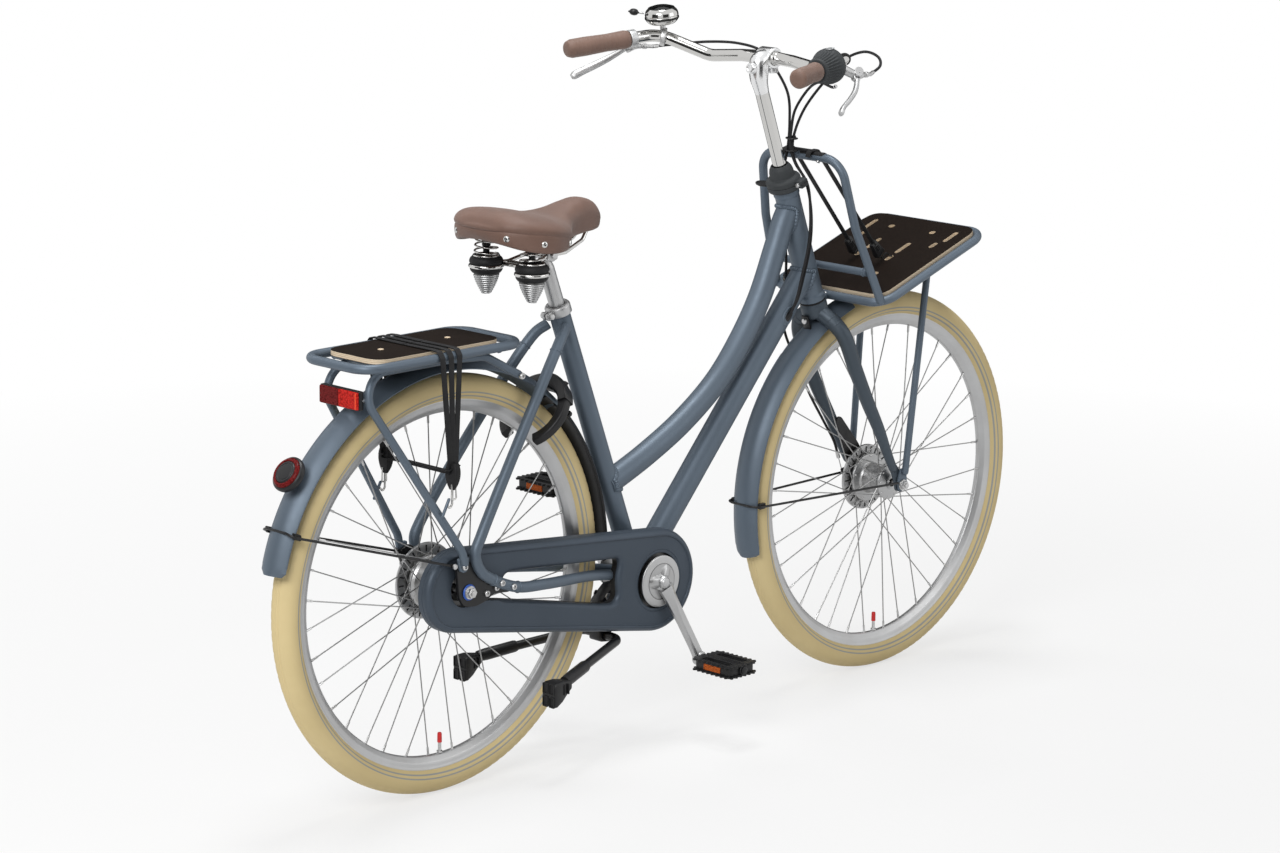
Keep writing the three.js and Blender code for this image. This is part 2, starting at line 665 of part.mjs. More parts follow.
function chaincase() {
  const body = sidePlate(caseShape(0, 4), CASE_OUTER_Y + 3, CASE_INNER_Y);
  const border = cut(sidePlate(caseShape(0, 4), CASE_OUTER_Y, CASE_OUTER_Y + 4),
    sidePlate(caseShape(12, 4), CASE_OUTER_Y - 1, CASE_OUTER_Y + 3));
  const hollow = sidePlate(caseShape(CASE_WALL, 4), CASE_OUTER_Y + 6, CASE_INNER_Y - CASE_WALL);
  const wall = windowLoft([CASE_OUTER_Y + 3, 12], [CASE_OUTER_Y + 13, 2.5], [CASE_INNER_Y, 2.5]);
  const window = windowLoft([CASE_OUTER_Y, 12], [CASE_OUTER_Y + 11, 0], [CASE_INNER_Y + 5, 0]);
  const stay = tube(STAY_STATIONS.slice(9), STAY_RADIUS + 2, 6);
  const { x, z, radius } = HUB_OPENING;
  const hubOpening = rod(v(x, -80, z), v(x, -20, z), radius, 12);
  const crankOpening = rod(v(469, -80, 293), v(469, -20, 293), CRANK_OPENING, 14);
  const shell = join(cut(join(body, border), hollow), wall);
  return main(cut(shell, window, stay, hubOpening, crankOpening));
}

const chainRadius = (teeth) => CHAIN_PITCH / (2 * Math.sin(Math.PI / teeth));

// The chain as a band round the ring and the sprocket.
function chain() {
  const loop = (offset) => {
    const axis = Math.atan2(TYRE_RADIUS - 293, -469);
    const big = chainRadius(RING_TEETH) + offset;
    const small = chainRadius(SPROCKET_TEETH) + offset;
    const spread = Math.acos((big - small) / Math.hypot(469, TYRE_RADIUS - 293));
    const shape = new THREE.Shape();
    shape.absarc(469, 293, big, axis + spread, axis - spread + 2 * Math.PI, false);
    shape.absarc(0, TYRE_RADIUS, small, axis - spread + 2 * Math.PI, axis + spread + 2 * Math.PI, false);
    return new THREE.Shape(shape.getPoints(7));
  };
  return cut(sidePlate(loop(4), CHAIN_LINE - 4, CHAIN_LINE + 4),
    sidePlate(loop(-3), CHAIN_LINE - 9, CHAIN_LINE + 9));
}

piece("chaincase", chaincase(), SLATE);
piece("chain", chain(), STEEL);

// Toothed disc whose teeth end below the chain's inner edge.
function toothed(teeth, centre, fromY, toY) {
  const outer = chainRadius(teeth) - 3.5;
  const points = [];
  for (let i = 0; i < teeth * 2; i++) {
    const angle = (i * Math.PI) / teeth;
    const radius = i % 2 ? outer - 2.5 : outer;
    points.push([centre.x + radius * Math.cos(angle), centre.z + radius * Math.sin(angle)]);
  }
  return sidePlate(outline(points), fromY, toY);
}

function rearSprocket() {
  const bore = rod(v(0, -60, TYRE_RADIUS), v(0, -30, TYRE_RADIUS), 19.5, 10);
  return cut(toothed(SPROCKET_TEETH, REAR_AXLE, CHAIN_LINE - 1.2, CHAIN_LINE + 1.2), bore);
}

piece("rear_sprocket", rearSprocket(), STEEL);

// Cranks and pedals
const PEDAL_OFFSET = v(CRANK_LENGTH * Math.cos(CRANK_ANGLE), 0, CRANK_LENGTH * Math.sin(CRANK_ANGLE));

function crankArm(side, boss) {
  const at = (share, y) => v(PEDAL_OFFSET.x * share, side * y, PEDAL_OFFSET.z * share);
  const arm = taperedTube(
    [at(0.04, boss + 2), at(0.2, boss + 4), at(0.5, boss + 11), at(0.85, boss + 17), at(1, boss + 18)],
    [[7, 15], [6.5, 12], [6, 10], [6, 9.5], [6.5, 10]], 6);
  const hub = turned([[0, 0], [17, 0], [16, 9], [9, 12], [0, 12]],
    8, v(0, side * (boss - 5), 0), v(0, side, 0));
  const end = rod(at(1, boss + 10), at(1, boss + 25), 13, 8);
  const spindle = rod(at(1, boss + 20), at(1, boss + 112), 4.6, 5);
  return join(arm, hub, end, spindle);
}

const crankGroup = new THREE.Group();
crankGroup.position.copy(BOTTOM_BRACKET);
bike.add(crankGroup);

function rightCrank() {
  const ring = toothed(RING_TEETH, v(0, 0, 0), CHAIN_LINE - 1.3, CHAIN_LINE + 1.3);
  const web = turned([[8, -52], [36, -48], [36, -43.4], [8, -43.4]], 8);
  const cap = turned([
    [0, -70], [32, -68], [46.5, -66], [46.5, -63], [16, -62], [16, -52], [0, -52]], 12);
  const spindle = turned([[0, -60], [8.4, -60], [8.4, 62], [0, 62]], 8);
  return join(ring, web, cap, spindle, crankArm(-1, 72));
}

function leftCrank() {
  const bore = rod(v(0, 55, 0), v(0, 62.5, 0), 9.4, 8);
  return cut(crankArm(1, 66).mirror([1, 0, 0]).mirror([0, 0, 1]), bore);
}

piece("crank_right", rightCrank(), ALLOY, crankGroup);
piece("crank_left", leftCrank(), ALLOY, crankGroup);

// A pedal: a toothed cage round a barrel, with two windows and a reflector front and back.
function pedal() {
  const halfX = 33;
  const halfY = 46;
  const teeth = 6;
  const edge = [];
  for (let i = 0; i < teeth; i++) {
    const step = (2 * halfY) / teeth;
    const y = -halfY + step * i;
    edge.push([halfX, y], [halfX + 4, y + step * 0.3], [halfX + 4, y + step * 0.6], [halfX, y + step * 0.8]);
  }
  const points = [...edge, [22, halfY + 3], ...edge.map(([x, y]) => [-x, y]).reverse(), [-22, -halfY - 3]];
  const shape = new THREE.Shape(points.map(([x, y]) => new THREE.Vector2(x, y)));
  const cage = new THREE.ExtrudeGeometry(shape, { depth: 22, bevelEnabled: false });
  cage.translate(0, 0, -11);
  const window = (side) => block(15, 68, 30, side * 18.5, 0, 0);
  return cut(solid(cage), rod(v(0, -60, 0), v(0, 60, 0), 5.2, 8), window(1), window(-1));
}

function addPedal(name, side, boss) {
  const mesh = piece(name, pedal(), BLACK, crankGroup);
  mesh.position.set(-side * PEDAL_OFFSET.x, side * (boss + 78), -side * PEDAL_OFFSET.z);
}
addPedal("pedal_right", -1, 72);
addPedal("pedal_left", 1, 66);

// Stand: two legs from a cross tube, folded back along the wheel.
function kickstand() {
  const leg = tube(bent([v(385, 1, 200), v(385, -46, 199), v(232, -96, 180)], 20, 2), 8, 7);
  const cuff = tube([v(262, -87, 183.7), v(190, -109, 174)], 10.5, 6);
  const foot = cut(
    loft([[192, 171, 13, 10], [170, 168, 24, 14], [156, 165, 27, 17], [150, 164, 25, 16]].map(
      ([x, z, h, w]) => [
        v(x, -112 - w, z - h), v(x, -112 + w, z - h),
        v(x, -112 + w, z + h * 0.6), v(x, -112 - w, z + h * 0.6),
      ])),
    ...[-8, 8].map((y) => block(9, 11, 24, 151, -112 + y, 158)));
  const half = join(leg, cuff, foot);
  return join(half, mirrored(half));
}

piece("kickstand", kickstand(), BLACK);

// Wheels
function tyre() {
  const side = [[309.6, 8.2], [320, 12], [333, 24], [349, 21]];
  const flank = side.map(([r, y]) => [r, -y]);
  return turned([...side, [TYRE_RADIUS, 0], ...flank.reverse()], WHEEL_SEGMENTS);
}

function rim() {
  return turned([
    [318, -13], [309, -9], [309, 9], [318, 13], [RIM_INNER_RADIUS, 4.5], [RIM_INNER_RADIUS, -4.5],
  ], WHEEL_SEGMENTS);
}

// Shell with two flanges, a cooling disc on the left and a fan of crossed spokes.
function hub({ rightFlange, leftFlange, rightRadius, leftRadius, body, disc, bore }) {
  const shell = turned([
    [bore, rightFlange - 7], [rightRadius, rightFlange - 3],
    [rightRadius, rightFlange + 3], [body, rightFlange + 5], [body, leftFlange - 5],
    [leftRadius, leftFlange - 3], [leftRadius, leftFlange + 3], [disc, leftFlange + 7],
    [disc, leftFlange + 12], [bore, leftFlange + 10],
  ], 10);
  const spokes = [];
  for (let i = 0; i < SPOKES; i++) {
    const rimAngle = ((i + 0.5) * 2 * Math.PI) / SPOKES;
    const left = i % 2 === 0;
    const leading = (i >> 1) % 2 === 0 ? 1 : -1;
    const hubAngle = rimAngle + leading * THREE.MathUtils.degToRad(60);
    const radius = (left ? leftRadius : rightRadius) - 4;
    const y = (left ? leftFlange : rightFlange) + leading * 1.4;
    const tip = RIM_INNER_RADIUS - 2.8;
    spokes.push(rod(
      v(radius * Math.cos(hubAngle), y, radius * Math.sin(hubAngle)),
      v(tip * Math.cos(rimAngle), (left ? 2 : -2) + leading * 1.4, tip * Math.sin(rimAngle)), 1.3, 3));
  }
  return join(shell, ...spokes);
}

function addWheel(name, centre, hubSizes) {
  const wheel = new THREE.Group();
  wheel.position.copy(centre);
  bike.add(wheel);
  piece(`${name}_tyre`, tyre(), CREAM, wheel);
  piece(`${name}_rim`, rim(), ALLOY, wheel);
  piece(`${name}_hub`, hub(hubSizes), ALLOY, wheel);
}

addWheel("rear", REAR_AXLE, {
  rightFlange: -27, leftFlange: 26, rightRadius: 46, leftRadius: 46, body: 40, disc: 66, bore: 8,
});
addWheel("front", FRONT_AXLE, {
  rightFlange: -30, leftFlange: 22, rightRadius: 33, leftRadius: 46, body: 27, disc: 62, bore: 8,
});

function axleWithNuts(centre, half, radius, nut, face) {
  const spindle = rod(v(0, -half, 0), v(0, half, 0), radius, 8);
  const nuts = [-1, 1].flatMap((side) => [
    rod(v(0, side * (face + GAP), 0), v(0, side * (face + 8), 0), nut, 6),
    rod(v(0, side * (face + 7), 0), v(0, side * (face + 12), 0), radius + 2.4, 8),
  ]);
  return join(spindle, ...nuts).translate(centre.toArray());
}

piece("rear_axle", axleWithNuts(REAR_AXLE, 87, 5, 9.5, 73), STEEL);
piece("front_axle", axleWithNuts(FRONT_AXLE, 76, 4.5, 8.5, 64.5), STEEL);

// Brake plates: the still half of each drum brake, with the arm that holds it.
function rearBrakePlate() {
  const plate = turned([[5.4, 40.5], [40, 40.5], [38, 52], [22, 60], [5.4, 60]], 12);
  const arm = sidePlate(outline([
    [-10, -26], [30, -34], [118, -28], [130, -18], [118, -8], [20, 10]]), 52, 57);
  return join(plate, cut(arm, rod(v(0, 40, 0), v(0, 70, 0), 12, 8))).translate(REAR_AXLE.toArray());
}

function frontBrakePlate() {
  const plate = turned([[4.9, 33.5], [38, 33.5], [36, 42], [20, 48], [4.9, 48]], 12);
  const arm = sidePlate(outline([
    [-24, -12], [12, -14], [22, 10], [-8, 64], [-62, 126], [-76, 118], [-46, 52]]), 40, 45.5);
  const lever = sidePlate(outline([[-30, -22], [-14, -26], [-40, 22], [-52, 20]]), 44.5, 48);
  return join(plate, cut(arm, rod(v(0, 30, 0), v(0, 60, 0), 10, 8)), lever).translate(FRONT_AXLE.toArray());
}

piece("rear_brake_plate", rearBrakePlate(), BLACK);
piece("front_brake_plate", frontBrakePlate(), BLACK);

// Saddle: cushion on a rail frame, carried by a coil, a rubber barrel and a tapering coil a side.
const SADDLE_CLAMP = SEAT_TOP.clone().addScaledVector(SEAT_AXIS, 103);
const SPRING_FOOT = v(160, -56, 884);

// Stations of the cushion from back to nose: x, half-width, top, side and bottom heights.
const CUSHION = [
  [88, 30, 974, 958, 944], [96, 62, 984, 960, 936], [116, 86, 988, 958, 928],
  [145, 102, 985, 955, 922], [178, 108, 979, 950, 920], [208, 98, 972, 945, 922],
  [236, 72, 970, 943, 924], [262, 47, 975, 946, 926], [290, 34, 983, 951, 928],
  [318, 29, 987, 955, 930], [342, 25, 981, 952, 931], [357, 18, 969, 948, 933], [363, 8, 956, 947, 940],
];

function cushionRing([x, halfWidth, top, side, bottom]) {
  const ring = [];
  for (let i = 0; i <= 10; i++) {
    const across = Math.cos((i * Math.PI) / 10);
    const rise = Math.sqrt(1 - Math.abs(across) ** 2.6);
    ring.push(v(x, across * halfWidth, side + (top - side) * rise));
  }
  const tuck = halfWidth * 0.93;
  const recess = bottom + Math.min(16, (side - bottom) * 0.7);
  return [...ring, v(x, -tuck, bottom), v(x, -tuck * 0.86, bottom), v(x, -tuck * 0.7, recess),
    v(x, tuck * 0.7, recess), v(x, tuck * 0.86, bottom), v(x, tuck, bottom)];
}

const saddleCushion = () => loft(CUSHION.map(cushionRing));

// A coil about a vertical axis as one tube: its ends run straight for one wire diameter.
function coil(foot, wire, profile, turns, endAxis) {
  const steps = Math.round(turns * 8);
  const points = [];
  for (let i = 0; i <= steps; i++) {
    const share = i / steps;
    const angle = share * turns * 2 * Math.PI;
    const [radius, height] = profile(share);
    points.push(foot.clone().add(v(radius * Math.cos(angle), radius * Math.sin(angle), height)));
  }
  const start = points[0].clone().addScaledVector(endAxis, 2 * wire);
  const end = points[points.length - 1].clone().addScaledVector(endAxis, -2 * wire);
  return { stations: [start, ...points, end], wire };
}

// Least distance between the wire of one turn and the next, on points.
function leastGap({ stations, wire }) {
  let least = Infinity;
  for (let i = 0; i < stations.length; i++) {
    for (let k = i + 5; k < stations.length; k++) {
      least = Math.min(least, stations[i].distanceTo(stations[k]) - 2 * wire);
    }
  }
  return least;
}

const DOWN = v(0, 0, -1);
const upperCoil = coil(SPRING_FOOT, 1.6, (t) => [20.5 - 1.5 * t, 10 + 30 * t], 2, DOWN);
const lowerCoil = coil(SPRING_FOOT, 2.1,
  (t) => [22 * Math.sqrt(1 - 0.86 * t * t), -18 - 38 * t], 4.5, DOWN.clone().negate());
console.log("least gap in the saddle coils, mm:",
  Math.min(leastGap(upperCoil), leastGap(lowerCoil)).toFixed(2));

function saddleSpring() {
  const barrel = turned([[7.5, -16], [26, -16], [30, -9], [27, -4], [30, 4], [24, 13], [7.5, 13]],
    9, SPRING_FOOT, v(0, 0, 1));
  const rail = rod(v(192, -25, 887.5), v(158, -57, 885), 5.8, 4);
  return join(cut(barrel, rail), tube(upperCoil.stations, upperCoil.wire, 4),
    tube(lowerCoil.stations, lowerCoil.wire, 4));
}

// Rails from the nose through the clamp to the springs, with a post inside each coil.
function saddleFrame() {
  const rail = tube(bent([v(338, -9, 936), v(322, -12, 914), v(272, -21, 899), v(226, -22, 898),
    v(187, -31, 887), v(160, -56, 885)], 12, 1), 3.5, 5);
  const post = rod(v(160, -56, 870), v(160, -56, 930), 5.5, 6);
  const topPlate = rod(v(160, -56, 926.6), v(160, -56, 932), 15, 6);
  const side = join(rail, topPlate, post);
  const cross = rod(v(187, -31, 887), v(187, 31, 887), 3.5, 5);
  const clampBlock = rod(SADDLE_CLAMP.clone().setY(-27), SADDLE_CLAMP.clone().setY(27), 12, 8);
  const clampBolt = rod(SADDLE_CLAMP.clone().setY(-33), SADDLE_CLAMP.clone().setY(33), 5, 6);
  return join(side, mirrored(side), cross, clampBlock, clampBolt);
}

function seatpost() {
  const top = SADDLE_CLAMP.clone().addScaledVector(SEAT_AXIS, -14);
  const foot = SEAT_TOP.clone().addScaledVector(SEAT_AXIS, -130);
  return rod(foot, top, POST_RADIUS, 16);
}

piece("saddle_cushion", saddleCushion(), BROWN);
piece("saddle_frame", saddleFrame(), STEEL);
piece("saddle_spring_right", saddleSpring(), CHROME);
piece("saddle_spring_left", mirrored(saddleSpring()), CHROME);
piece("seatpost", seatpost(), ALLOY);

// Steering: fork with its steerer, and all that turns with it.
const CROWN_BOTTOM = -34;

function forkLeg(extra = 0) {
  const route = [
    [935, -10, 709, 15], [942, -36, 694, 15], [954, -55, 668, 14.5], [984, -60, 600, 13.5],
    [1021, -60, 532, 12.5], [1055, -59, 476, 11], [1082, -58, 426, 9], [1100, -57, 395, 8],
  ];
  const sizes = route.map(([, , , radius]) => [radius + extra, radius + extra]);
  return taperedTube(route.map(([x, y, z]) => v(x, y, z)), sizes, 7);
}

function fork() {
  const steerer = cut(
    rod(steeringPoint(-20), steeringPoint(HEAD_LENGTH + 24), 14.3, 10),
    rod(steeringPoint(40), steeringPoint(HEAD_LENGTH + 30), 13.4, 10));
  const crown = turned([[0, CROWN_BOTTOM], [21, CROWN_BOTTOM], [25, -29], [25, -8], [23.5, -5],
    [23.5, -GAP], [0, -GAP]], 12, HEAD_BOTTOM, HEAD_AXIS);
  const lug = sidePlate(outline([[1090, 404], [1106, 404], [1134, 372], [1134, 352], [1124, 345],
    [1110, 350], [1106, 368]]), -58.5, -53);
  const axleHole = rod(v(WHEELBASE, -70, TYRE_RADIUS), v(WHEELBASE, -40, TYRE_RADIUS), 5, 8);
  const half = join(forkLeg(), cut(lug, axleHole));
  return join(crown, steerer, half, mirrored(half));
}

piece("fork", fork(), SLATE);
piece("front_mudguard", frontMudguard(), SLATE);

// Front carrier: a tilted frame, square to the steering axis, with a hoop behind it and two
// struts down to the axle.
const PLATFORM = { x: 968, z: 735.5, tilt: Math.atan(0.344), length: 303, halfWidth: 136, tube: 8 };
const platformPoint = (along, left, up = 0) => v(
  PLATFORM.x + along * Math.cos(PLATFORM.tilt) - up * Math.sin(PLATFORM.tilt), left,
  PLATFORM.z + along * Math.sin(PLATFORM.tilt) + up * Math.cos(PLATFORM.tilt));

function frontCarrier() {
  const { length, halfWidth, tube: radius } = PLATFORM;
  const frame = bent([platformPoint(0, -1), platformPoint(0, -halfWidth), platformPoint(length, -halfWidth),
    platformPoint(length, -1)], 36, 2);
  const up = platformPoint(0, 0, 1).sub(platformPoint(0, 0, 0));
  const hoopSide = bent([
    platformPoint(4, -128, 4), v(917, -110, 878), v(889, -96, 1003), v(889, -1, 1003)], 42, 2);
  const hoop = tube([...hoopSide, ...flipped(hoopSide).reverse()], radius, 6);
  const crossbar = rod(v(946, -118, 794), v(946, 118, 794), 7, 6);
  const under = [66, 207].map((along) =>
    rod(platformPoint(along, -halfWidth, -2), platformPoint(along, halfWidth, -2), 5.5, 5));
  const eye = sidePlate(outline([[1115, 392], [1131, 392], [1134, 366], [1130, 350], [1112, 350],
    [1109, 366]]), -64, -59);
  const strut = join(
    rod(platformPoint(207, -78, -2), v(1124, -67, 386), 6.5, 6),
    cut(eye, rod(v(WHEELBASE, -80, TYRE_RADIUS), v(WHEELBASE, -40, TYRE_RADIUS), 5, 8)));
  const seat = rod(steeringPoint(-12, 25.6), steeringPoint(-12, 36), 7, 6);
  return join(ringTube(bothSides(frame), radius, 6, up), hoop, crossbar, ...under, strut,
    mirrored(strut), seat);
}

const FRONT_BOARD = { along: 152, halfLength: 138, halfWidth: 121, up: 4, thick: 9 };

function slotShape(halfLength, radius) {
  const shape = new THREE.Shape();
  shape.absarc(halfLength - radius, 0, radius, -Math.PI / 2, Math.PI / 2);
  shape.absarc(radius - halfLength, 0, radius, Math.PI / 2, Math.PI * 1.5);
  return shape;
}

function frontBoard() {
  const { along, halfLength, halfWidth, up, thick } = FRONT_BOARD;
  const board = new THREE.ExtrudeGeometry(roundedPlate(halfLength, halfWidth, 28), {
    depth: thick, bevelEnabled: false, curveSegments: 3,
  });
  const slot = (at, left, half) => solid(new THREE.ExtrudeGeometry(slotShape(half, 4), {
    depth: thick + 6, bevelEnabled: false, curveSegments: 1,
  }), new THREE.Matrix4().makeTranslation(at, left, -3));
  const slots = [-1, 1].flatMap((side) => [
    slot(-98, side * 56, 8), slot(-30, side * 40, 20), slot(88, side * 40, 20), slot(52, side * 92, 7),
  ]);
  const tilt = new THREE.Matrix4().makeRotationY(-PLATFORM.tilt);
  tilt.setPosition(platformPoint(along, 0, up));
  const body = cut(solid(board), ...slots);
  return body.transform(tilt.toArray());
}

const STRAP_BLOCK = 119;

// Two rubber straps from the hoop down to a block each, and a wire from each block to a slot.
function frontStrap(side) {
  const block = platformPoint(STRAP_BLOCK, side * 31, 42);
  const top = v(898, side * 30, 1014.8);
  const strap = tube(bent([v(880, side * 30, 1014.6), v(898, side * 30, 1014.8), block], 6, 1), 3, 6);
  const aim = block.clone().sub(top).normalize();
  const body = taperedTube([
    block.clone().addScaledVector(aim, -10), block.clone().addScaledVector(aim, 2),
    block.clone().addScaledVector(aim, 18)], [[6, 8], [8, 11], [7, 9]], 6);
  const wire = rod(block.clone().addScaledVector(aim, 14),
    platformPoint(STRAP_BLOCK + 26, side * 36, FRONT_BOARD.up + FRONT_BOARD.thick + 1.4), 1.3, 5);
  return join(strap, body, wire);
}

function frontStraps() {
  const bridge = rod(v(882, -31, 1014.6), v(882, 31, 1014.6), 3, 6);
  return join(frontStrap(1), frontStrap(-1), bridge);
}

function headlamp() {
  const aim = v(Math.cos(-0.12), 0, Math.sin(-0.12));
  const lamp = turned([[0, 0], [14, 2], [27, 14], [32, 30], [32, 42], [29, 45], [0, 45]],
    12, v(1228, 0, 782), aim);
  const bracket = sidePlate(outline([[1236, 800], [1250, 800], [1262, 819], [1244, 812]]), -9, 9);
  return join(lamp, bracket);
}

piece("front_carrier", frontCarrier(), SLATE);
piece("front_board", frontBoard(), PLYWOOD);
piece("front_straps", frontStraps(), RUBBER);
piece("headlamp", headlamp(), LENS);

// Lock ring on top of the head tube, its cone-shaped seal, and its small lever.
const LOCK_RING_FOOT = HEAD_LENGTH + GAP;

function steeringLock() {
  const bore = 14.3 + 0.7;
  const ring = turned([[bore, 0], [27, 0], [32, 3], [32, 21], [28, 25], [23, 27], [20.5, 30],
    [20, 42], [bore, 50]], 14, steeringPoint(LOCK_RING_FOOT), HEAD_AXIS);
  const lug = block(22, 16, 17, 0, 0, 0).rotate([0, -20.3, 0])
    .translate(steeringPoint(LOCK_RING_FOOT + 12, 8, -36).toArray());
  const keep = rod(steeringPoint(LOCK_RING_FOOT), steeringPoint(LOCK_RING_FOOT + 30), 29, 8);
  const slot = block(70, 70, 7, 0, 0, 0).rotate([0, -20.3, 0])
    .translate(steeringPoint(LOCK_RING_FOOT + 11, 0, 47).toArray());
  return cut(join(ring, cut(lug, keep)), slot);
}

function steeringLockLever() {
  const points = [[-7, 26], [7, 26], [8, 44], [3, 58], [-4, 58], [-9, 44]];
  const shape = new THREE.Shape(points.map(([x, y]) => new THREE.Vector2(x, y)));
  const geometry = new THREE.ExtrudeGeometry(shape, { depth: 5.4, bevelEnabled: false });
  const matrix = new THREE.Matrix4().makeRotationY(-STEERING_LEAN);
  matrix.setPosition(steeringPoint(LOCK_RING_FOOT + 8.3, -12, 0));
  return solid(geometry, matrix);
}

piece("steering_lock", steeringLock(), BLACK);
piece("steering_lock_lever", steeringLockLever(), BLACK);

// Stem and handlebar
const BAR_CENTRE = v(797, 0, 1187);

function stem() {
  const elbow = steeringPoint(430);
  const quill = rod(steeringPoint(HEAD_LENGTH - 110), elbow, 12.5, 12);
  const head = taperedTube([
    steeringPoint(424), steeringPoint(440), steeringPoint(458, 4), steeringPoint(474, 12), BAR_CENTRE],
  [[13, 13], [15, 15], [17, 16], [18, 17], [17, 17]], 8);
  const clamp = rod(v(BAR_CENTRE.x, -17, BAR_CENTRE.z), v(BAR_CENTRE.x, 17, BAR_CENTRE.z), 19, 12);
  const ears = block(20, 12, 14, BAR_CENTRE.x + 10, 0, BAR_CENTRE.z - 22);
  const cap = rod(steeringPoint(466, -2), steeringPoint(474, -16), 9, 8);
  const bore = rod(v(BAR_CENTRE.x, -30, BAR_CENTRE.z), v(BAR_CENTRE.x, 30, BAR_CENTRE.z), 13.6, 10);
  return cut(join(quill, head, clamp, ears, cap), bore);
}

const BAR_BEND = v(784, -130, 1180);
const GRIP_BEND = v(752, -230, 1212);
const BAR_END = v(565, -279, 1194);
const BAR_RUN = BAR_END.clone().sub(GRIP_BEND).normalize();

const BAR_SIDE = bent([v(797, -26, 1187), v(794, -62, 1186), BAR_BEND, GRIP_BEND,
  BAR_END.clone().addScaledVector(BAR_RUN, -3)], 48, 3);

function handlebar() {
  const middle = [v(797, -25, 1187), v(797, 0, 1187), v(797, 25, 1187)];
  const stations = [...[...BAR_SIDE].reverse(), ...middle, ...flipped(BAR_SIDE)];
  const sizes = stations.map(({ y }) => (Math.abs(y) < 25.5 ? [12.7, 12.7] : [BAR_RADIUS, BAR_RADIUS]));
  return taperedTube(stations, sizes, 7);
}

// A point near the right grip: a distance along it towards its end, outwards and up.
const GRIP_OUT = v(0, 0, 1).cross(BAR_RUN).normalize();
const GRIP_UP = BAR_RUN.clone().cross(GRIP_OUT).normalize();
const gripPoint = (along, out = 0, up = 0) => BAR_END.clone()
  .addScaledVector(BAR_RUN, along - GRIP_LENGTH).addScaledVector(GRIP_OUT, out)
  .addScaledVector(GRIP_UP, up);
const GRIP_LENGTH = 128;

function grip(length) {
  const bore = BAR_RADIUS + 0.7;
  return turned([[bore, 0], [15.5, 0], [17, 4], [15.8, length * 0.35], [17.2, length * 0.7],
    [17, length - 8], [13, length], [0, length + 1], [0, length - 2.6], [bore, length - 2.6]],
  12, gripPoint(GRIP_LENGTH - length), BAR_RUN);
}

function gripShifter() {
  const bore = BAR_RADIUS + GAP;
  return turned([[bore, 0], [29, 0], [31, 4], [31, 14], [27, 22], [22, 42], [19.5, 53], [bore, 53]],
    14, gripPoint(1), BAR_RUN);
}

// Clamp and body of a brake lever. The body ends in a fork that holds the lever's eye.
const LEVER_PIVOT = gripPoint(-24, 37, -20);
const LEVER_RUN = gripPoint(82, 60, -61).sub(LEVER_PIVOT).normalize();
const LEVER_AXIS = LEVER_RUN.clone().cross(gripPoint(0).sub(LEVER_PIVOT)).normalize();
const LEVER_SLOT = 9;

// A place near the right lever's pivot: along the lever, across it towards the bar, and up the pin.
const leverFrame = new THREE.Matrix4().makeBasis(
  LEVER_RUN, LEVER_AXIS.clone().cross(LEVER_RUN).normalize(), LEVER_AXIS);
leverFrame.setPosition(LEVER_PIVOT);
const leverPoint = (along, across, up = 0) => v(along, across, up).applyMatrix4(leverFrame);

function brakePerch() {
  const ring = rod(gripPoint(-15), gripPoint(-1.4), 16, 8);
  const body = taperedTube([gripPoint(-11, 12, -6), gripPoint(-13, 24, -12), gripPoint(-22, 35, -19),
    gripPoint(-44, 38, -23)], [[9, 8], [9, 8], [9, 9], [6, 6]], 5);
  const barrel = rod(gripPoint(-40, 38, -22.6), gripPoint(-72, 37.5, -28), 3.6, 5);
  const slot = block(64, 44, LEVER_SLOT, 20, -9, 0).transform(leverFrame.toArray());
  const bore = room(gripPoint(-20), gripPoint(5), BAR_RADIUS, 8);
  const pin = rod(leverPoint(0, 0, -9.5), leverPoint(0, 0, 9.5), 2.4, 5);
  return join(cut(join(ring, body, barrel), slot, bore), pin);
}

// The lever turns on the pin and curves away from the bar to a turned-out tip.
const LEVER_OUTLINE = [
  [-5, 5], [5, 6], [20, 0], [46, -3], [80, 0], [104, 4], [118, 3], [121, -2], [114, -5], [98, -4],
  [78, -8], [46, -12], [20, -10], [4, -7], [-5, -5], [-7, 0],
];

function brakeLever() {
  const blade = new THREE.ExtrudeGeometry(outline(LEVER_OUTLINE), { depth: 8.2, bevelEnabled: false });
  blade.translate(0, 0, -4.1);
  return cut(solid(blade), rod(v(0, 0, -9), v(0, 0, 9), 3, 6)).transform(leverFrame.toArray());
}

const cockpit = new THREE.Group();
bike.add(cockpit);
piece("stem", stem(), ALLOY, cockpit);
piece("handlebar", handlebar(), CHROME, cockpit);
piece("grip_right", grip(72), BROWN, cockpit);
piece("grip_left", mirrored(grip(GRIP_LENGTH)), BROWN, cockpit);
piece("grip_shifter", gripShifter(), BLACK, cockpit);
piece("brake_perch_right", brakePerch(), ALLOY, cockpit);
piece("brake_perch_left", mirrored(brakePerch()), ALLOY, cockpit);
piece("brake_lever_right", brakeLever(), ALLOY, cockpit);
piece("brake_lever_left", mirrored(brakeLever()), ALLOY, cockpit);

// Bell on the left bend, with its thumb lever. The clamp sits in the middle of the bar's bend.
const [BELL_BAR, BELL_NEXT] = flipped([BAR_SIDE[10], BAR_SIDE[11]]);
const BELL_RUN = BELL_NEXT.clone().sub(BELL_BAR).normalize();
const BELL_CENTRE = BELL_BAR.clone().add(v(-3, 0, 23));

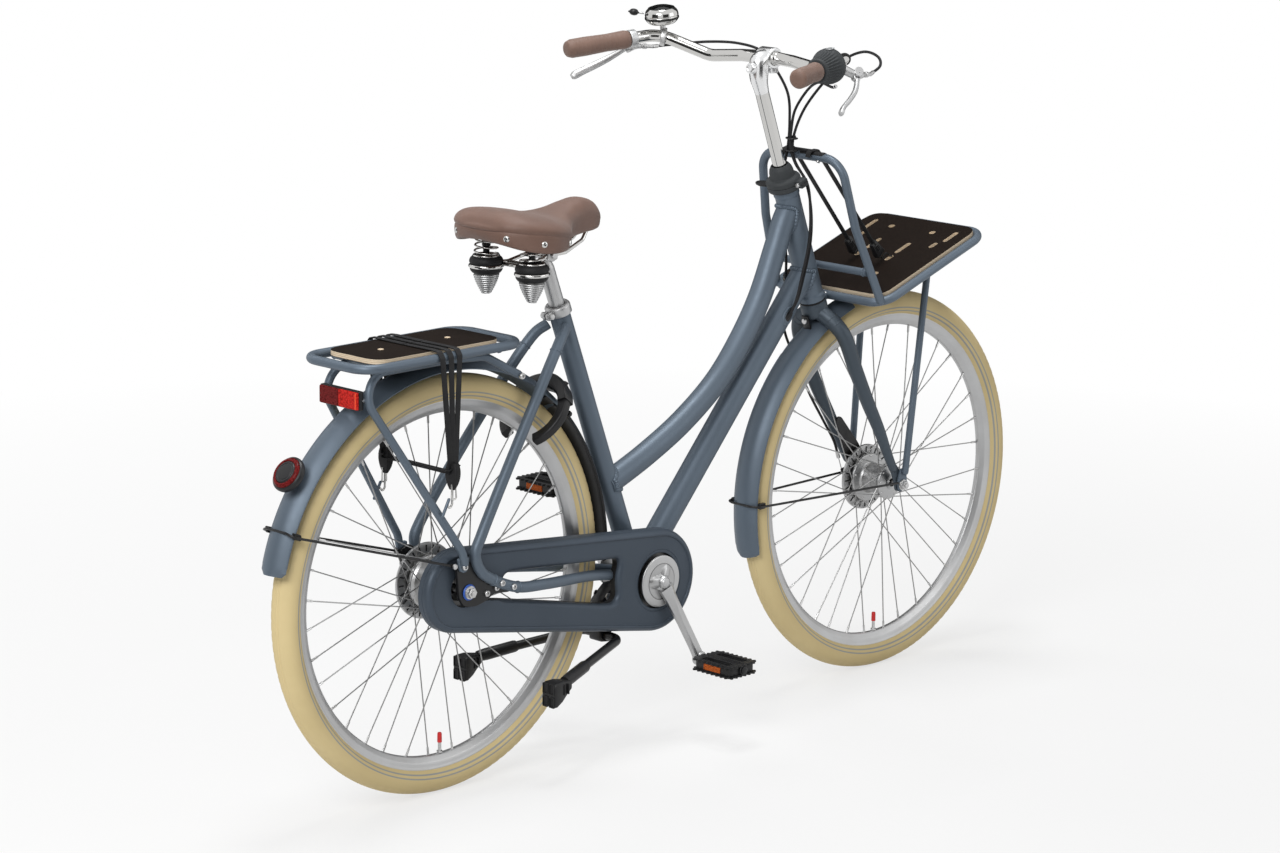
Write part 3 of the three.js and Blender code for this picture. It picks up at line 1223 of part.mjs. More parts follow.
function bell() {
  const along = (d) => BELL_BAR.clone().addScaledVector(BELL_RUN, d);
  const bore = rod(along(-9), along(9), BAR_RADIUS + 3.2, 10);
  const ring = rod(along(-4.5), along(4.5), 17, 10);
  const stalk = rod(BELL_BAR.clone().add(v(-1, 0, 11)), BELL_CENTRE.clone().add(v(0, 0, 2)), 5, 6);
  const dome = turned([[0, 0], [20, 1], [29, 7], [31, 16], [29, 26], [18, 33], [0, 34]],
    12, BELL_CENTRE, v(-0.12, 0, 1));
  return join(cut(join(ring, stalk), bore), dome);
}

const BELL_LEVER_FOOT = BELL_CENTRE.clone().add(v(-2, 0, 16));
const BELL_LEVER_RUN = v(-0.72, 0.66, 0.12).normalize();

function bellLever() {
  const at = (d) => BELL_LEVER_FOOT.clone().addScaledVector(BELL_LEVER_RUN, d);
  const shaft = rod(at(32.4), at(44), 2, 6);
  const thumb = taperedTube([at(41), at(47), at(57), at(60)], [[3, 3], [7, 5], [8, 5], [4, 3]], 8);
  return join(shaft, thumb);
}

piece("bell", bell(), CHROME, cockpit);
piece("bell_lever", bellLever(), BLACK, cockpit);

// Cables: from each lever and from the shifter to a clip on the front hoop. Two go down beside
// the head tube into the port, and one goes down the left fork leg to the front brake.
const CABLE_RADIUS = 2.5;
const barrelEnd = (side) => gripPoint(-73, 37.5, -28.2).multiply(v(1, -side, 1));
const CLIP = v(871, 5.2, 1024);

const LEFT_BRAKE_ROUTE = [
  barrelEnd(1), v(826, 252, 1186), v(858, 205, 1192), v(868, 136, 1194), v(868, 80, 1184),
  v(870, 46, 1153), v(875, 22, 1112), v(874, 16, 1060), v(870, 15, 1022), v(868, 20, 990),
  v(872, 40, 945), v(888, 42, 880), v(900, 42, 810), v(908, 50, 740), v(926, 68, 670), v(960, 66, 600),
  v(998, 64, 532), v(1034, 60, 476), v(1058, 54, 434), v(1068, 51, 402),
];
const RIGHT_BRAKE_ROUTE = [
  barrelEnd(-1), v(812, -250, 1194), v(848, -214, 1204), v(872, -160, 1206), v(880, -110, 1188),
  v(880, -68, 1150), v(878, -17, 1091), v(874, 2, 1048), v(870, 4, 1022), v(868, -4, 995),
  v(880, -20, 958), v(884, -31, 910), v(884, -32, 850), v(868, -31, 785), v(852, -29, 740),
  v(843, -22, 722), v(834, -10, 708),
];
const SHIFTER_ROUTE = [
  gripPoint(14, 14, -34), v(720, -230, 1165), v(790, -160, 1150), v(850, -70, 1144), v(875, -21, 1120),
  v(873, 3, 1084), v(868, 6, 1050), v(865, 5, 1022), v(866, -6, 992), v(876, -28, 955), v(876, -37, 905),
  v(874, -37, 850), v(858, -35, 784), v(846, -31, 738), v(837, -23, 714), v(827, -10, 699),
];

const cable = (route, steps) => tube(smooth(route, steps), CABLE_RADIUS, 5);

function frameCables() {
  const clip = block(14, 11, 9, CLIP.x - 1, CLIP.y, CLIP.z);
  return join(cable(RIGHT_BRAKE_ROUTE, 18), cable(SHIFTER_ROUTE, 18), clip);
}

piece("frame_cables", frameCables(), RUBBER);
piece("front_brake_cable", cable(LEFT_BRAKE_ROUTE, 21), RUBBER);

bike.position.x = -BIKE_CENTRE_X;

export default bike;
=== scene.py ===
"""Dutch city bike: the detailed model, its finishes and its studio.

Shapes are given in millimetres from the ground point under the rear axle, with +X the way the
bike rides, +Y the rider's left and +Z up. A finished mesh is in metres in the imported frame.
"""
import math

import bmesh
import bpy
import numpy as np
from mathutils import Matrix, Vector
from mathutils.geometry import tessellate_polygon


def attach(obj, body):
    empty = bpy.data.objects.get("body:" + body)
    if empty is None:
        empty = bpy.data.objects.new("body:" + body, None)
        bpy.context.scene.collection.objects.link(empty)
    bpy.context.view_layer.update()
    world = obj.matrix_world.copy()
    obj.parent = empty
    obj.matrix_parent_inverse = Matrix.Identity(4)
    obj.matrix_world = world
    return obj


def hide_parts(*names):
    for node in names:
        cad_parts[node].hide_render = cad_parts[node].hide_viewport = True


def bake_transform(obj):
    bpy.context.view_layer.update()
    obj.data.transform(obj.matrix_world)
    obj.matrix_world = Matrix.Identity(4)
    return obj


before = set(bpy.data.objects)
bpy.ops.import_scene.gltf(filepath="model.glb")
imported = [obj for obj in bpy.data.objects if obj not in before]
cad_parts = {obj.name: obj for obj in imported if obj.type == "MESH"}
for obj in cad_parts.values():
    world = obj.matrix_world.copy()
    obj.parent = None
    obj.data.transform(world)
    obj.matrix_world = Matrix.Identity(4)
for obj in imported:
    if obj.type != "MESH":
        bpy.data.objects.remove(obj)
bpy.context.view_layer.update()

# Driving dimensions, in millimetres
CENTRE_X = 552
WHEEL_RADIUS = 361
FRONT_AXLE_X = 1121
RIM_INNER = 296.5
SPOKES = 36
TOP_TUBE_RADIUS = 21.5
DOWN_TUBE_RADIUS = 22.5
SEAT_TUBE_RADIUS = 18.3
HEAD_RADIUS = 22.5
STAY_RADIUS = 9.5
BAR_RADIUS = 11.1
POST_RADIUS = 13.6
CHAIN_LINE = -45
CHAIN_PITCH = 12.7
CRANK_LENGTH = 170


def point(*xyz):
    return np.array(xyz, float)


def unit(vectors):
    return vectors / np.linalg.norm(vectors, axis=-1, keepdims=True)


REAR_AXLE = point(0, 0, WHEEL_RADIUS)
FRONT_AXLE = point(FRONT_AXLE_X, 0, WHEEL_RADIUS)
BRACKET = point(469, 0, 293)
HEAD_FOOT = point(927, 0, 733)
HEAD_AXIS = point(-0.34694, 0, 0.93789)
HEAD_FORWARD = point(0.93789, 0, 0.34694)
SEAT_TOP = point(274, 0, 803)
SEAT_AXIS = unit(SEAT_TOP - BRACKET)
DOWN_TOP = point(906, 0, 789)
LEFT = point(0, 1, 0)
UP = point(0, 0, 1)
AHEAD = point(1, 0, 0)


def on_steering(up, forward=0, left=0):
    return HEAD_FOOT + HEAD_AXIS * up + HEAD_FORWARD * forward + LEFT * left


# Lines and outlines


def bent(corners, radius, steps=10):
    """Straight runs between corners, with each corner replaced by an arc of the radius that
    touches both runs: start + normal * r (1 - cos a) + inward * r sin a."""
    corners = np.array(corners, float)
    stations = [corners[0]]
    for before, corner, after in zip(corners, corners[1:], corners[2:]):
        inward = unit(corner - before)
        outward = unit(after - corner)
        turn = math.acos(np.clip(inward @ outward, -1, 1))
        if turn < 1e-4:
            continue
        reach = min(radius * math.tan(turn / 2), 0.48 * np.linalg.norm(corner - before),
                    0.48 * np.linalg.norm(after - corner))
        arc = reach / math.tan(turn / 2)
        normal = unit(outward - inward * (inward @ outward))
        angle = np.linspace(0, turn, steps + 1)[:, None]
        stations.extend(corner - inward * reach + normal * arc * (1 - np.cos(angle))
                        + inward * arc * np.sin(angle))
    stations.append(corners[-1])
    return np.array(stations)


def smooth(points, count=48):
    """A centripetal Catmull-Rom curve through the points: on each span a cubic whose end slopes
    come from the neighbouring spans, weighted by the square roots of their lengths."""
    p = np.array(points, float)
    spans = len(p) - 1
    p = np.vstack([2 * p[0] - p[1], p, 2 * p[-1] - p[-2]])
    share = np.linspace(0, spans, count)
    i = np.minimum(share.astype(int), spans - 1)
    t = (share - i)[:, None]
    a, b, c, d = p[i], p[i + 1], p[i + 2], p[i + 3]
    ab, bc, cd = (np.sqrt(np.linalg.norm(e - s, axis=1, keepdims=True))
                  for s, e in ((a, b), (b, c), (c, d)))
    slope_b = ((b - a) / ab - (c - a) / (ab + bc) + (c - b) / bc) * bc
    slope_c = ((c - b) / bc - (d - b) / (bc + cd) + (d - c) / cd) * bc
    square = -3 * b + 3 * c - 2 * slope_b - slope_c
    cube = 2 * b - 2 * c + slope_b + slope_c
    return b + t * (slope_b + t * (square + t * cube))


def flipped(points):
    return np.array(points, float) * (1, -1, 1)


def arc(centre, radius, start, end, steps=48):
    """Points centre + radius (cos a, 0, sin a), a in degrees from start to end."""
    angle = np.radians(np.linspace(start, end, steps))
    return centre + radius * np.stack([np.cos(angle), 0 * angle, np.sin(angle)], 1)


def softened(corners, radius, steps=4, closed=True):
    """A flat outline whose corners are arcs: quadratic curves from a point short of each corner
    to one past it, (1-t)^2 a + 2 t (1-t) corner + t^2 b."""
    corners = np.array(corners, float)
    radius = np.broadcast_to(radius, len(corners))
    t = np.linspace(0, 1, steps + 1)[:, None]
    points = []
    for i, corner in enumerate(corners):
        if not closed and i in (0, len(corners) - 1):
            points.append(corner[None])
            continue
        before = corners[i - 1]
        after = corners[(i + 1) % len(corners)]
        near = [corner + (other - corner) * min(0.49, radius[i] / max(np.linalg.norm(other - corner), 1e-6))
                for other in (before, after)]
        points.append((1 - t) ** 2 * near[0] + 2 * t * (1 - t) * corner + t ** 2 * near[1])
    return np.vstack(points)


def ring_outline(radius, sides=32, centre=(0, 0), squash=1.0):
    """A circle or ellipse: centre + radius (cos a, squash sin a)."""
    angle = np.arange(sides) * 2 * np.pi / sides
    return np.stack([centre[0] + radius * np.cos(angle), centre[1] + radius * squash * np.sin(angle)], 1)


def rounded_box(half_x, half_y, corner, steps=8):
    return softened([[-half_x, -half_y], [half_x, -half_y], [half_x, half_y], [-half_x, half_y]], corner,
                    steps)


# Surfaces: a pair of points (n, 3) and a list of face index arrays


def quads(rows, columns, wrap_rows=False, wrap_columns=True):
    """Faces between neighbours on a grid of rows by columns."""
    i = np.arange(rows if wrap_rows else rows - 1)[:, None]
    j = np.arange(columns if wrap_columns else columns - 1)[None]
    here = i * columns + j
    beside = i * columns + (j + 1) % columns
    above = ((i + 1) % rows) * columns
    return np.stack([here, beside, above + (j + 1) % columns, above + j], -1).reshape(-1, 4)


def end_faces(rows, columns):
    """One face over the first row of a grid and one over the last."""
    ring = np.arange(columns)
    return [ring[::-1][None], (ring + (rows - 1) * columns)[None]]


def frames(path, closed=False, up=None):
    """Unit vectors along, across and over each station; across is along x up."""
    if closed:
        ahead = np.roll(path, -1, 0) - path
    else:
        ahead = np.diff(path, axis=0)
        ahead = np.vstack([ahead, ahead[-1:]])
    ahead = unit(ahead)
    behind = np.roll(ahead, 1, 0)
    if not closed:
        behind[0] = ahead[0]
    along = unit(ahead + behind)
    if up is None:
        axes = np.eye(3)
        up = axes[np.argmin(np.abs(along @ axes).max(0))]
    across = unit(np.cross(along, up))
    return along, across, np.cross(across, along)


def swept(path, section, sizes=1.0, closed=False, up=None):
    """A section carried along a path: station + across * x * size + over * y * size."""
    path = np.array(path, float)
    section = np.array(section, float)
    sizes = np.broadcast_to(np.asarray(sizes, float).reshape(-1, 1) if np.ndim(sizes) else sizes,
                            (len(path), 1))
    _, across, over = frames(path, closed, up)
    points = (path[:, None] + across[:, None] * (section[:, 0] * sizes)[..., None]
              + over[:, None] * (section[:, 1] * sizes)[..., None])
    count = len(section)
    faces = [quads(len(path), count, closed)]
    if not closed:
        faces += end_faces(len(path), count)
    return points.reshape(-1, 3), faces


def tube(path, radius, sides=20, closed=False, domed=False, squash=1.0):
    """A round section along a path. Domed ends add stations at r sin a beyond the end, r cos a wide."""
    path = np.array(path, float)
    radii = np.broadcast_to(radius, len(path)).astype(float)
    if domed:
        angle = np.radians([30, 60, 80, 89])
        start, end = unit(path[0] - path[1]), unit(path[-1] - path[-2])
        path = np.vstack([path[0] + start * radii[0] * np.sin(angle)[::-1, None], path,
                          path[-1] + end * radii[-1] * np.sin(angle)[:, None]])
        radii = np.hstack([radii[0] * np.cos(angle)[::-1], radii, radii[-1] * np.cos(angle)])
    return swept(path, ring_outline(1, sides, squash=squash), radii, closed)


def rod(start, end, radius, sides=20, domed=False):
    return tube([start, end], radius, sides, domed=domed)


def turned(profile, foot, axis, segments=48):
    """A profile of (radius, height) pairs turned about the line from foot along axis: foot +
    axis * height + (side cos a + other sin a) * radius. A profile off the axis closes on itself."""
    profile = np.array(profile, float)
    axis = unit(np.array(axis, float))
    side = unit(np.cross(axis, UP if abs(axis[2]) < 0.9 else AHEAD))
    other = np.cross(axis, side)
    angle = np.radians(np.linspace(0, 360, segments, endpoint=False))[:, None, None]
    points = (np.array(foot, float) + axis * profile[None, :, 1:]
              + (side * np.cos(angle) + other * np.sin(angle)) * profile[None, :, :1])
    on_axis = profile[0, 0] < 1e-6 or profile[-1, 0] < 1e-6
    return points.reshape(-1, 3), [quads(segments, len(profile), True, not on_axis)]


def plate(outline, low, high, origin, right, up, holes=(), bevel=0.6, steps=2):
    """A flat outline thickened from low to high along right x up, its edges rounded: rings of the
    outline drawn in by b (1 - sin a) at heights b (1 - cos a), inside a narrow flat margin."""
    right, up = unit(np.array(right, float)), unit(np.array(up, float))
    normal = np.cross(right, up)
    angle = np.linspace(0, np.pi / 2, steps + 1)
    inset = np.hstack([bevel + min(0.4, bevel), bevel * (1 - np.sin(angle))])
    height = np.hstack([0, bevel * (1 - np.cos(angle))])
    insets = np.hstack([inset, inset[::-1]])
    heights = np.hstack([low + height, high - height[::-1]])
    points, faces, start = [], [], 0
    loops = [[], []]
    for loop in (outline, *holes):
        flat = np.array(loop, float)
        area = np.sum(flat[:, 0] * np.roll(flat[:, 1], -1) - flat[:, 1] * np.roll(flat[:, 0], -1))
        hole = bool(loops[0])
        if (area < 0) != hole:
            flat = flat[::-1]
        run = unit(np.roll(flat, -1, 0) - np.roll(flat, 1, 0) + 1e-12)
        inward = np.stack([-run[:, 1], run[:, 0]], 1)
        flats = flat[None] + inward[None] * insets[:, None, None]
        solid = (np.array(origin, float) + right * flats[..., :1] + up * flats[..., 1:]
                 + normal * heights[:, None, None])
        points.append(solid.reshape(-1, 3))
        faces.append(quads(len(insets), len(flat)) + start)
        loops[0].append((start, flats[0]))
        loops[1].append((start + (len(insets) - 1) * len(flat), flats[-1]))
        start += len(insets) * len(flat)
    for side, rings in enumerate(loops):
        index = np.concatenate([first + np.arange(len(flat)) for first, flat in rings])
        fill = tessellate_polygon([[Vector((*pair, 0)) for pair in flat] for _, flat in rings])
        triangles = index[np.array(fill)]
        faces.append(triangles[:, ::-1] if side == 0 else triangles)
    return np.vstack(points), faces


def block(size, centre, right=AHEAD, up=UP, corner=2.0, bevel=0.8):
    """A box of size (along right, along up, thick) round a centre, with rounded corners and edges."""
    outline = rounded_box(size[0] / 2, size[1] / 2, min(corner, 0.49 * min(size[:2])), 4)
    return plate(outline, -size[2] / 2, size[2] / 2, centre, right, up, bevel=bevel)


def same(surface):
    return surface


def mirror(surface):
    points, faces = surface
    return points * (1, -1, 1), [f[:, ::-1] for f in faces]


class Piece:
    """Surfaces gathered under one name, each with its finish, and made into one mesh."""

    def __init__(self, name, body, *stands_for):
        self.name, self.body, self.stands_for = name, body, stands_for
        self.points, self.faces, self.finishes, self.start = [], [], [], 0

    def add(self, surface, finish, both_sides=False):
        for points, faces in ([surface, mirror(surface)] if both_sides else [surface]):
            self.points.append(points)
            self.faces += [(f + self.start, finish) for f in faces]
            self.start += len(points)
        return self

    def make(self, sharp=32):
        """One mesh of all surfaces, in metres; doubles merged, normals outward, smooth below the angle."""
        points = (np.vstack(self.points) - (CENTRE_X, 0, 0)) / 1000
        kinds = []
        for _, finish in self.faces:
            if finish not in kinds:
                kinds.append(finish)
        loops = np.concatenate([f.ravel() for f, _ in self.faces])
        totals = np.concatenate([np.full(len(f), f.shape[1]) for f, _ in self.faces])
        marks = np.concatenate([np.full(len(f), kinds.index(k)) for f, k in self.faces])
        mesh = bpy.data.meshes.new(self.name)
        mesh.vertices.add(len(points))
        mesh.vertices.foreach_set("co", points.astype(np.float32).ravel())
        mesh.loops.add(len(loops))
        mesh.loops.foreach_set("vertex_index", loops.astype(np.int32))
        mesh.polygons.add(len(totals))
        mesh.polygons.foreach_set("loop_start", (np.cumsum(totals) - totals).astype(np.int32))
        mesh.polygons.foreach_set("material_index", marks.astype(np.int32))
        mesh.update(calc_edges=True)
        for kind in kinds:
            mesh.materials.append(kind)
        work = bmesh.new()
        work.from_mesh(mesh)
        bmesh.ops.remove_doubles(work, verts=work.verts, dist=2e-6)
        bmesh.ops.recalc_face_normals(work, faces=work.faces)
        work.to_mesh(mesh)
        work.free()
        mesh.polygons.foreach_set("use_smooth", np.ones(len(mesh.polygons), bool))
        mesh.set_sharp_from_angle(angle=math.radians(sharp))
        made = bpy.data.objects.new(self.name, mesh)
        bpy.context.scene.collection.objects.link(made)
        if isinstance(self.body, str):
            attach(made, self.body)
        else:
            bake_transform(made)
        if self.stands_for:
            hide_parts(*self.stands_for)
        return made


# Finishes


class Finish:
    """A node material: one Principled shader, with patterns on Object coordinates."""

    def __init__(self, name, colour, roughness, metallic=0.0, **sockets):
        self.material = bpy.data.materials.new(name)
        self.material.use_nodes = True
        self.tree = self.material.node_tree
        self.shader = self.tree.nodes["Principled BSDF"]
        self.set(self.shader, {"Base Color": (*colour, 1), "Roughness": roughness, "Metallic": metallic,
                               **sockets})
        self.place = self.node("ShaderNodeTexCoord").outputs["Object"]
        self.normal = None

    def set(self, made, values):
        for key, value in values.items():
            made.inputs[key].default_value = value

    def node(self, kind, values=None, **settings):
        made = self.tree.nodes.new(kind)
        for key, value in settings.items():
            setattr(made, key, value)
        self.set(made, values or {})
        return made

    def link(self, source, target):
        self.tree.links.new(source, target)

    def at(self, location=(0, 0, 0), scale=(1, 1, 1)):
        mapping = self.node("ShaderNodeMapping", {"Location": location, "Scale": scale})
        self.link(self.place, mapping.inputs["Vector"])
        return mapping.outputs["Vector"]

    def noise(self, scale, detail=3.0, roughness=0.55, where=None):
        made = self.node("ShaderNodeTexNoise", {"Scale": scale, "Detail": detail, "Roughness": roughness})
        self.link(where or self.place, made.inputs["Vector"])
        return made.outputs["Fac"]

    def cells(self, scale):
        made = self.node("ShaderNodeTexVoronoi", {"Scale": scale})
        self.link(self.place, made.inputs["Vector"])
        return made.outputs["Distance"]

    def maths(self, operation, *terms):
        made = self.node("ShaderNodeMath", operation=operation)
        for i, term in enumerate(terms):
            if isinstance(term, (int, float)):
                made.inputs[i].default_value = term
            else:
                self.link(term, made.inputs[i])
        return made.outputs[0]

    def ramp(self, value, stops):
        made = self.node("ShaderNodeValToRGB")
        elements = made.color_ramp.elements
        while len(elements) < len(stops):
            elements.new(0.5)
        for element, (position, colour) in zip(elements, stops):
            element.position = position
            element.color = (*colour, 1)
        self.link(value, made.inputs["Fac"])
        return made.outputs["Color"]

    def colour(self, value, stops):
        self.link(self.ramp(value, stops), self.shader.inputs["Base Color"])
        return self

    def varied(self, key, value, low, high):
        made = self.node("ShaderNodeMapRange", {"To Min": low, "To Max": high})
        self.link(value, made.inputs["Value"])
        self.link(made.outputs["Result"], self.shader.inputs[key])
        return self

    def bump(self, height, strength, distance):
        made = self.node("ShaderNodeBump", {"Strength": strength, "Distance": distance})
        self.link(height, made.inputs["Height"])
        if self.normal:
            self.link(self.normal, made.inputs["Normal"])
        self.normal = made.outputs["Normal"]
        self.link(self.normal, self.shader.inputs["Normal"])
        return self


def slate_paint(name="slate paint", tone=(0.112, 0.143, 0.180)):
    """Matt powder coat: two close slate tones in slow clouds, fine orange peel, uneven sheen."""
    f = Finish(name, tone, 0.5, 0.35, **{"Specular IOR Level": 0.3})
    f.colour(f.noise(7, 2), [(0.3, tuple(c * 0.94 for c in tone)), (0.7, tuple(c * 1.06 for c in tone))])
    f.varied("Roughness", f.noise(90, 4), 0.40, 0.52)
    return f.bump(f.noise(1500, 2), 0.12, 0.0003).material


def cream_rubber(axle_x):
    """Cream tyre rubber with two thin grey lines near the rim, set by the distance from the axle."""
    cream = (0.66, 0.53, 0.275)
    grey = (0.33, 0.34, 0.33)
    f = Finish("cream tyre rubber", cream, 0.62, **{"Specular IOR Level": 0.35})
    spread = f.node("ShaderNodeSeparateXYZ")
    f.link(f.at(((CENTRE_X - axle_x) / 1000, 0, -WHEEL_RADIUS / 1000)), spread.inputs[0])
    radius = f.maths("SQRT", f.maths("ADD", f.maths("POWER", spread.outputs["X"], 2.0),
                                     f.maths("POWER", spread.outputs["Z"], 2.0)))
    share = f.maths("DIVIDE", f.maths("SUBTRACT", radius, 0.300), 0.070)
    line = f.ramp(share, [(0.0, (0.52, 0.42, 0.25)), (0.30, cream), (0.336, cream), (0.340, grey),
                          (0.368, grey), (0.372, cream), (0.428, cream), (0.432, grey), (0.462, grey),
                          (0.466, cream), (1.0, (0.69, 0.56, 0.30))])
    tint = f.ramp(f.noise(9, 4), [(0.3, (0.93, 0.92, 0.90)), (0.7, (1.0, 1.0, 1.0))])
    mix = f.node("ShaderNodeMix", {"Factor": 1.0}, data_type="RGBA", blend_type="MULTIPLY")
    f.link(line, mix.inputs["A"])
    f.link(tint, mix.inputs["B"])
    f.link(mix.outputs["Result"], f.shader.inputs["Base Color"])
    f.varied("Roughness", f.noise(60, 3), 0.55, 0.72)
    return f.bump(f.noise(1200, 3), 0.2, 0.0003).material


def polished_alloy(name="polished alloy", tone=0.74, low=0.16, high=0.30):
    """Aluminium: faint long scratches and uneven polish."""
    f = Finish(name, (tone, tone * 1.005, tone * 1.015), low, 1.0)
    streaks = f.noise(60, 4, where=f.at(scale=(1, 1, 14)))
    f.colour(f.noise(20, 3), [(0.3, (tone * 0.93,) * 3), (0.7, (tone * 1.03, tone * 1.04, tone * 1.05))])
    f.varied("Roughness", streaks, low, high)
    return f.bump(f.noise(900, 2), 0.05, 0.0002).material


def chrome():
    f = Finish("chrome", (0.58, 0.575, 0.56), 0.06, 1.0)
    f.varied("Roughness", f.noise(35, 4), 0.04, 0.12)
    return f.bump(f.noise(25, 1), 0.03, 0.0006).material


def steel(name="zinc steel", tone=0.55, low=0.28, high=0.42):
    f = Finish(name, (tone, tone, tone * 0.98), 0.34, 1.0)
    f.colour(f.noise(160, 3), [(0.3, (tone * 0.85,) * 3), (0.7, (tone * 1.1,) * 3)])
    return f.varied("Roughness", f.noise(240, 4), low, high).material


def black_rubber():
    f = Finish("black rubber", (0.014, 0.014, 0.015), 0.6, **{"Specular IOR Level": 0.22})
    f.colour(f.noise(30, 3), [(0.3, (0.010, 0.010, 0.011)), (0.7, (0.019, 0.019, 0.020))])
    f.varied("Roughness", f.noise(200, 3), 0.5, 0.72)
    return f.bump(f.noise(2200, 2), 0.2, 0.0002).material


def black_plastic():
    f = Finish("black plastic", (0.012, 0.012, 0.013), 0.4, **{"Specular IOR Level": 0.28})
    f.colour(f.noise(12, 3), [(0.3, (0.009, 0.009, 0.010)), (0.7, (0.016, 0.016, 0.017))])
    f.varied("Roughness", f.noise(120, 3), 0.32, 0.48)
    return f.bump(f.cells(2600), 0.10, 0.0002).material


def black_paint():
    f = Finish("black paint", (0.009, 0.009, 0.010), 0.3, 0.0, **{"Specular IOR Level": 0.35})
    f.varied("Roughness", f.noise(80, 3), 0.26, 0.38)
    return f.bump(f.noise(1400, 2), 0.08, 0.0002).material


def brown_cover(name="brown cover", tone=(0.150, 0.084, 0.062)):
    """Grained synthetic leather: fine cells with wider creases, darker in the hollows."""
    f = Finish(name, tone, 0.5, **{"Specular IOR Level": 0.45, "Sheen Weight": 0.12,
                                   "Sheen Roughness": 0.5})
    grain = f.cells(1300)
    dark = tuple(c * 0.78 for c in tone)
    light = tuple(min(1.0, c * 1.16) for c in tone)
    f.colour(f.maths("ADD", f.maths("MULTIPLY", grain, 0.35), f.maths("MULTIPLY", f.noise(16, 4), 0.75)),
             [(0.25, dark), (0.75, light)])
    f.varied("Roughness", grain, 0.46, 0.62)
    f.bump(grain, 0.35, 0.0004)
    return f.bump(f.noise(160, 4), 0.12, 0.0008).material


def board_film():
    """Dark film on plywood, with a fine grain that runs along the board."""
    f = Finish("dark board film", (0.012, 0.009, 0.007), 0.5, **{"Specular IOR Level": 0.04})
    grain = f.noise(22, 5, 0.7, f.at(scale=(1, 18, 18)))
    f.colour(grain, [(0.35, (0.009, 0.006, 0.005)), (0.7, (0.017, 0.012, 0.009))])
    f.varied("Roughness", grain, 0.42, 0.56)
    return f.bump(f.cells(1500), 0.08, 0.0002).material


def board_edge():
    """Birch plies: light and darker layers across the board's thickness."""
    f = Finish("birch ply edge", (0.70, 0.56, 0.40), 0.6)
    layers = f.node("ShaderNodeTexWave", {"Scale": 110.0, "Distortion": 1.2, "Detail": 2.0,
                                          "Detail Scale": 3.0},
                    wave_type="BANDS", bands_direction="Z")
    f.link(f.place, layers.inputs["Vector"])
    f.colour(layers.outputs["Fac"], [(0.2, (0.56, 0.43, 0.29)), (0.6, (0.76, 0.63, 0.46))])
    return f.bump(f.noise(500, 3), 0.2, 0.0004).material


def dark_grey():
    f = Finish("dark grey rubber", (0.040, 0.044, 0.047), 0.6, **{"Specular IOR Level": 0.25})
    f.varied("Roughness", f.noise(60, 3), 0.52, 0.68)
    return f.bump(f.noise(900, 3), 0.12, 0.0004).material


def red_lens(name="red lens", colour=(0.13, 0.002, 0.002), size=420):
    """Moulded reflector: small prisms seen through a glossy face."""
    f = Finish(name, colour, 0.22, **{"Specular IOR Level": 0.06})
    prisms = f.cells(size)
    f.colour(prisms, [(0.0, tuple(min(1.0, c * 1.5 + 0.02) for c in colour)),
                      (0.9, tuple(c * 0.45 for c in colour))])
    return f.bump(prisms, 0.25, 0.0004).material


def clear_lens():
    f = Finish("clear lens", (0.85, 0.87, 0.88), 0.08, **{"Transmission Weight": 0.6, "IOR": 1.49})
    return f.bump(f.cells(300), 0.3, 0.0006).material


def bright_plastic(name="blue plastic", colour=(0.02, 0.09, 0.42)):
    f = Finish(name, colour, 0.35)
    return f.varied("Roughness", f.noise(120, 3), 0.28, 0.42).material


SLATE = slate_paint()
# Painted shade: the fork's slate is the frame's paint made darker, for legs whose right-facing sides stand
# in shade.
FORK_SHADE_SLATE = slate_paint("fork slate paint with painted shade", (0.062, 0.079, 0.098))
# Painted shade: the chaincase's slate is the frame's paint made darker still, for its flat right face that
# stands in shade.
CASE_SHADE_SLATE = slate_paint("chaincase slate paint with painted shade", (0.058, 0.075, 0.098))
REAR_CREAM = cream_rubber(0)
FRONT_CREAM = cream_rubber(FRONT_AXLE_X)
ALLOY = polished_alloy(tone=0.80)
SATIN_ALLOY = polished_alloy("satin alloy", 0.47, 0.34, 0.46)
CHROME = chrome()
ZINC = steel()
HUB_ALLOY = polished_alloy("cast alloy", 0.42, 0.30, 0.42)
SPOKE_STEEL = steel("spoke steel", 0.34, 0.30, 0.42)
DARK_STEEL = steel("dark steel", 0.16, 0.35, 0.5)
RUBBER = black_rubber()
PLASTIC = black_plastic()
GREY_RUBBER = dark_grey()
PALE_SILVER = polished_alloy("pale silver", 0.54, 0.38, 0.5)
# Painted reflection: near-black polished metal for the bell's crown and band, standing in for dark
# reflections in its chrome.
DARK_REFLECTION_CHROME = polished_alloy("bell chrome with painted dark reflection", 0.035, 0.06, 0.1)
BLACK_PAINT = black_paint()
BROWN = brown_cover()
GRIP_BROWN = brown_cover("brown grip rubber", (0.178, 0.106, 0.080))
BOARD = board_film()
BIRCH = board_edge()
RED = red_lens()
ORANGE = red_lens("orange lens", (0.42, 0.085, 0.008), 500)
BRIGHT_RED = red_lens("bright red lens", (0.48, 0.009, 0.004), 300)
RED_EDGE = bright_plastic("clear red edge", (0.95, 0.10, 0.03))
RED_CAP = bright_plastic("red plastic", (0.60, 0.016, 0.016))
CLEAR = clear_lens()
BLUE = bright_plastic()
WALL_CLOTH = Finish("wall cloth", (0.03, 0.03, 0.03), 0.95).material

# Frame tubes


